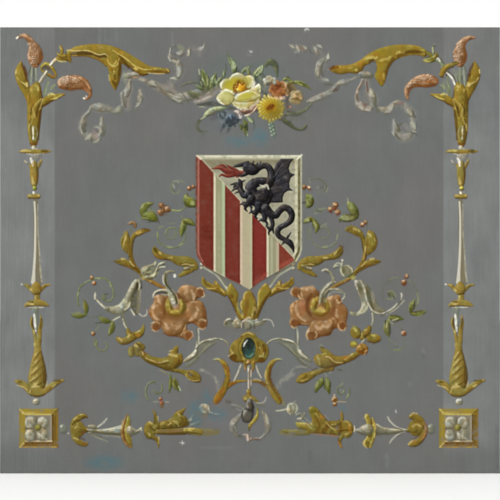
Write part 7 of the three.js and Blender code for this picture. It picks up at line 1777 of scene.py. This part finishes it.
def plank_mesh(name, first, last):
    """A plank between two columns of the net, its face joined to a net of triangles."""
    rows, columns = np.nonzero(kept[:, first:last + 1])
    flat_points = [Vector((x, z)) for x, z in zip((xs[columns + first] + AXIS) / 1000, zs[rows] / 1000)]
    points, _, faces, _, _, _ = delaunay_2d_cdt(flat_points, [], [], 0, 1e-7, False)
    face = bpy.data.meshes.new(name)
    face.from_pydata([(point.x, front_y, point.y) for point in points], [], [tuple(reversed(f)) for f in faces])
    form = bmesh.new()
    form.from_mesh(face)
    bmesh.ops.recalc_face_normals(form, faces=form.faces)
    if sum(f.normal.y for f in form.faces) > 0:
        bmesh.ops.reverse_faces(form, faces=form.faces)
    rim = [edge for edge in form.edges if edge.is_boundary]
    sides = [(xs[first] + AXIS) / 1000, (xs[last] + AXIS) / 1000]
    height = zs[-1] / 1000
    for depth, inset in ((front_y + FRONT_EASING, 0), (front_y + RIM_THICKNESS, 0), (board_high[1], BACK_BEVEL)):
        drawn = [-board_high[0] + inset if first == 0 else sides[0], board_high[0] - inset if last == NET_COLUMNS else sides[1]]
        grown = bmesh.ops.extrude_edge_only(form, edges=rim)["geom"]
        for v in grown:
            if isinstance(v, bmesh.types.BMVert):
                v.co.x = drawn[0] + (v.co.x - sides[0]) * (drawn[1] - drawn[0]) / (sides[1] - sides[0])
                v.co.z *= (board_high[2] - inset) / height
                v.co.y = depth
        rim = [e for e in grown if isinstance(e, bmesh.types.BMEdge)]
        sides = drawn
        height = board_high[2] - inset
    bmesh.ops.contextual_create(form, geom=rim)
    bmesh.ops.recalc_face_normals(form, faces=form.faces)

    # The painted face has most of the square of the OFBake map, seen straight on; the
    # back and the edges share the strip below it, squeezed along the grain.
    chart = form.loops.layers.uv.new("OFBake")
    left, right = min(v.co.x for v in form.verts), max(v.co.x for v in form.verts)
    for f in form.faces:
        for corner in f.loops:
            u = 0.002 + 0.996 * (corner.vert.co.x - left) / (right - left)
            v = 0.5 + corner.vert.co.z / (2 * board_high[2]) * 0.98
            if f.normal.y < -0.5:
                v = STRIP + (1 - STRIP) * v
            elif f.normal.y > 0.1:
                v = 0.06 * v
            elif abs(f.normal.x) > 0.5:
                u = v
                v = (0.066 if f.normal.x > 0 else 0.074) + 0.3 * (corner.vert.co.y - front_y)
            else:
                v = (0.082 if f.normal.z > 0 else 0.09) + 0.3 * (corner.vert.co.y - front_y)
            corner[chart].uv = (u, v)
    form.to_mesh(face)
    form.free()

    # Each point of the face takes the paint of its place on the net, as light and not as screen values.
    spots = np.empty(len(face.vertices) * 3, dtype=np.float32)
    face.vertices.foreach_get("co", spots)
    spots = spots.reshape(-1, 3)
    row_of = np.clip(np.rint((spots[:, 2] * 1000 - zs[0]) / z_step), 0, NET_ROWS).astype(int)
    column_of = np.clip(np.rint((spots[:, 0] * 1000 - AXIS - xs[0]) / x_step), 0, NET_COLUMNS).astype(int)
    paint = picture[row_of, column_of].copy()
    paint[spots[:, 1] > front_y + FRONT_EASING * 1.5] = 0
    cover = paint[:, 3:]
    plain = paint[:, :3] / np.maximum(cover, 1e-4)
    paint[:, :3] = np.where(plain <= 0.04045, plain / 12.92, ((plain + 0.055) / 1.055) ** 2.4) * cover
    face.color_attributes.new("paint", "FLOAT_COLOR", "POINT").data.foreach_set("color", paint.ravel())
    return face


planks = []
for name, first, last in zip(("plank_far_left", "plank_left", "plank_middle", "plank_right", "plank_far_right"),
                             CUTS[:-1], CUTS[1:]):
    plank = bpy.data.objects.new(name, plank_mesh(name, first, last))
    bpy.context.scene.collection.objects.link(plank)
    planks.append(plank)


class Tone:
    """A shader socket that can be reckoned with: each sum on it adds the node that works it out."""

    def __init__(self, tree, socket):
        self.tree = tree
        self.socket = socket

    def node(self, kind, settings=None, **inputs):
        made = self.tree.nodes.new(kind)
        for key, value in (settings or {}).items():
            if key == "stops":
                ramp = made.color_ramp.elements
                while len(ramp) < len(value):
                    ramp.new(0.5)
                for element, (at, colour) in zip(ramp, value):
                    element.position = at
                    element.color = (*colour, 1)
            else:
                setattr(made, key, value)
        for key, value in inputs.items():
            target = made.inputs[int(key[1:])] if key[0] == "_" else made.inputs[key.replace("_", " ")]
            if isinstance(value, Tone):
                self.tree.links.new(value.socket, target)
            else:
                target.default_value = value
        return made

    def out(self, made, name=0):
        return Tone(self.tree, made.outputs[name])

    def sum(self, operation, first, second):
        return self.out(self.node("ShaderNodeMath", {"operation": operation}, _0=first, _1=second))

    def __add__(self, other): return self.sum("ADD", self, other)
    def __radd__(self, other): return self.sum("ADD", other, self)
    def __sub__(self, other): return self.sum("SUBTRACT", self, other)
    def __rsub__(self, other): return self.sum("SUBTRACT", other, self)
    def __mul__(self, other): return self.sum("MULTIPLY", self, other)
    def __rmul__(self, other): return self.sum("MULTIPLY", other, self)
    def __abs__(self): return self.out(self.node("ShaderNodeMath", {"operation": "ABSOLUTE"}, _0=self))
    def __gt__(self, other): return self.sum("GREATER_THAN", self, other)
    def __lt__(self, other): return self.sum("LESS_THAN", self, other)


old_paint = bpy.data.materials.new("oil_on_grey_ground")
old_paint.use_nodes = True
tree = old_paint.node_tree
shader = tree.nodes["Principled BSDF"]
spot = Tone(tree, tree.nodes.new("ShaderNodeTexCoord").outputs["Object"])


def clouds(scale, detail, stretch=(1, 1, 1), start=spot):
    """Noise from -0.5 to 0.5 or so, of this many clouds to the metre, finer along stretched axes."""
    placed = spot.node("ShaderNodeMapping", _0=start, Scale=stretch)
    return spot.out(spot.node("ShaderNodeTexNoise", Vector=spot.out(placed), Scale=scale, Detail=detail)) - 0.5


def step(value, low, high):
    """Rises softly from 0 to 1 while value goes from low to high, or falls where high is the lower."""
    return spot.out(spot.node("ShaderNodeMapRange", {"interpolation_type": "SMOOTHSTEP"}, _0=value, _1=low, _2=high))


def mixed(share, first, second):
    return spot.out(spot.node("ShaderNodeMix", {"data_type": "RGBA"}, _0=share, _6=first, _7=second), 2)


def scaled(colour, share):
    return spot.out(spot.node("ShaderNodeVectorMath", {"operation": "SCALE"}, _0=colour, Scale=share))


parted = spot.node("ShaderNodeSeparateXYZ", _0=spot)
across_board, into_board, up_board = (spot.out(parted, axis) for axis in "XYZ")
film = spot.node("ShaderNodeAttribute", {"attribute_name": "paint"})
film_colour = spot.out(film, "Color")
film_cover = spot.out(film, "Alpha")

FIELD_GREY = (0.146, 0.155, 0.149, 1)
WARM_GREY = (0.153, 0.151, 0.145, 1)
BAND_GREY = (0.207, 0.216, 0.211, 1)
streaks = clouds(1, 3, (250, 1, 13))
broad = clouds(5, 3)
patches = clouds(26, 3, (1, 1, 0.6))
grain = clouds(330, 2)
left_band = step(across_board, -0.388, -0.3935)
right_band = step(across_board, 0.3845, 0.389)
bands = left_band + right_band
ground = mixed(step(broad, -0.13, 0.13), FIELD_GREY, WARM_GREY)
fading = step(up_board, 0.40, 0.24) * 0.5 * step(up_board, -0.42, -0.36) + 0.5 * step(up_board, -0.42, -0.36)
ground = mixed(bands * fading * (0.72 + 1.2 * broad + 0.8 * patches), ground, BAND_GREY)
# The ground is darker towards the top and lighter towards the bottom: painted shade and painted light that even out how
# the lamps fall off down the board.
ground = scaled(ground, 1 + streaks * (0.10 + 0.20 * left_band + 0.10 * right_band) + 0.22 * patches + 0.12 * grain - 0.10 * up_board)
bare = mixed(film_cover, ground, (0, 0, 0, 1))
painted = scaled(film_colour, 1 + 0.12 * grain + 0.06 * patches)
front = spot.out(spot.node("ShaderNodeVectorMath", {"operation": "ADD"}, _0=bare, _1=painted))

# Behind the painted face the planks are bare old softwood, each of its own grain and tone, darkened
# all over, with a line of old glue along their joints.
WOOD_DARK = (0.060, 0.036, 0.020, 1)
WOOD_PALE = (0.170, 0.108, 0.062, 1)
number = 0
glue = 0
tone = 1.0
for cut, change in zip(CUTS[1:-1], (0.24, -0.34, 0.42, -0.18)):
    beyond = across_board > float(xs[cut] + AXIS) / 1000
    number = number + beyond
    tone = tone + change * beyond
    glue = glue + (abs(across_board - float(xs[cut] + AXIS) / 1000) < 0.0008)
shifted = spot.out(spot.node("ShaderNodeVectorMath", {"operation": "ADD"}, _0=spot, _1=number * 0.43))
growth = clouds(1, 4, (42, 60, 2.2), shifted)
ripple = clouds(1, 2, (240, 240, 7), shifted)
wood = mixed(step(growth + 0.5 * ripple, -0.22, 0.22), WOOD_DARK, WOOD_PALE)
wood = scaled(wood, 1 + 0.5 * broad + 0.3 * grain - 0.7 * glue)
wood = scaled(wood, tone)
bare_wood = into_board > front_y + 0.45 * FRONT_EASING
tree.links.new(mixed(bare_wood, front, wood).socket, shader.inputs["Base Color"])
tree.links.new((0.56 + 0.12 * grain + 0.16 * broad + 0.14 * bare_wood).socket, shader.inputs["Roughness"])
shader.inputs["Specular IOR Level"].default_value = 0.04
ridges = spot.node("ShaderNodeBump", Strength=0.35, Distance=0.0006, Height=0.5 * streaks + 0.5 * grain + 0.4 * patches)
tree.links.new(ridges.outputs["Normal"], shader.inputs["Normal"])
for plank in planks:
    plank.data.materials.append(old_paint)
    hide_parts("painted_board")
    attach(plank, "root")
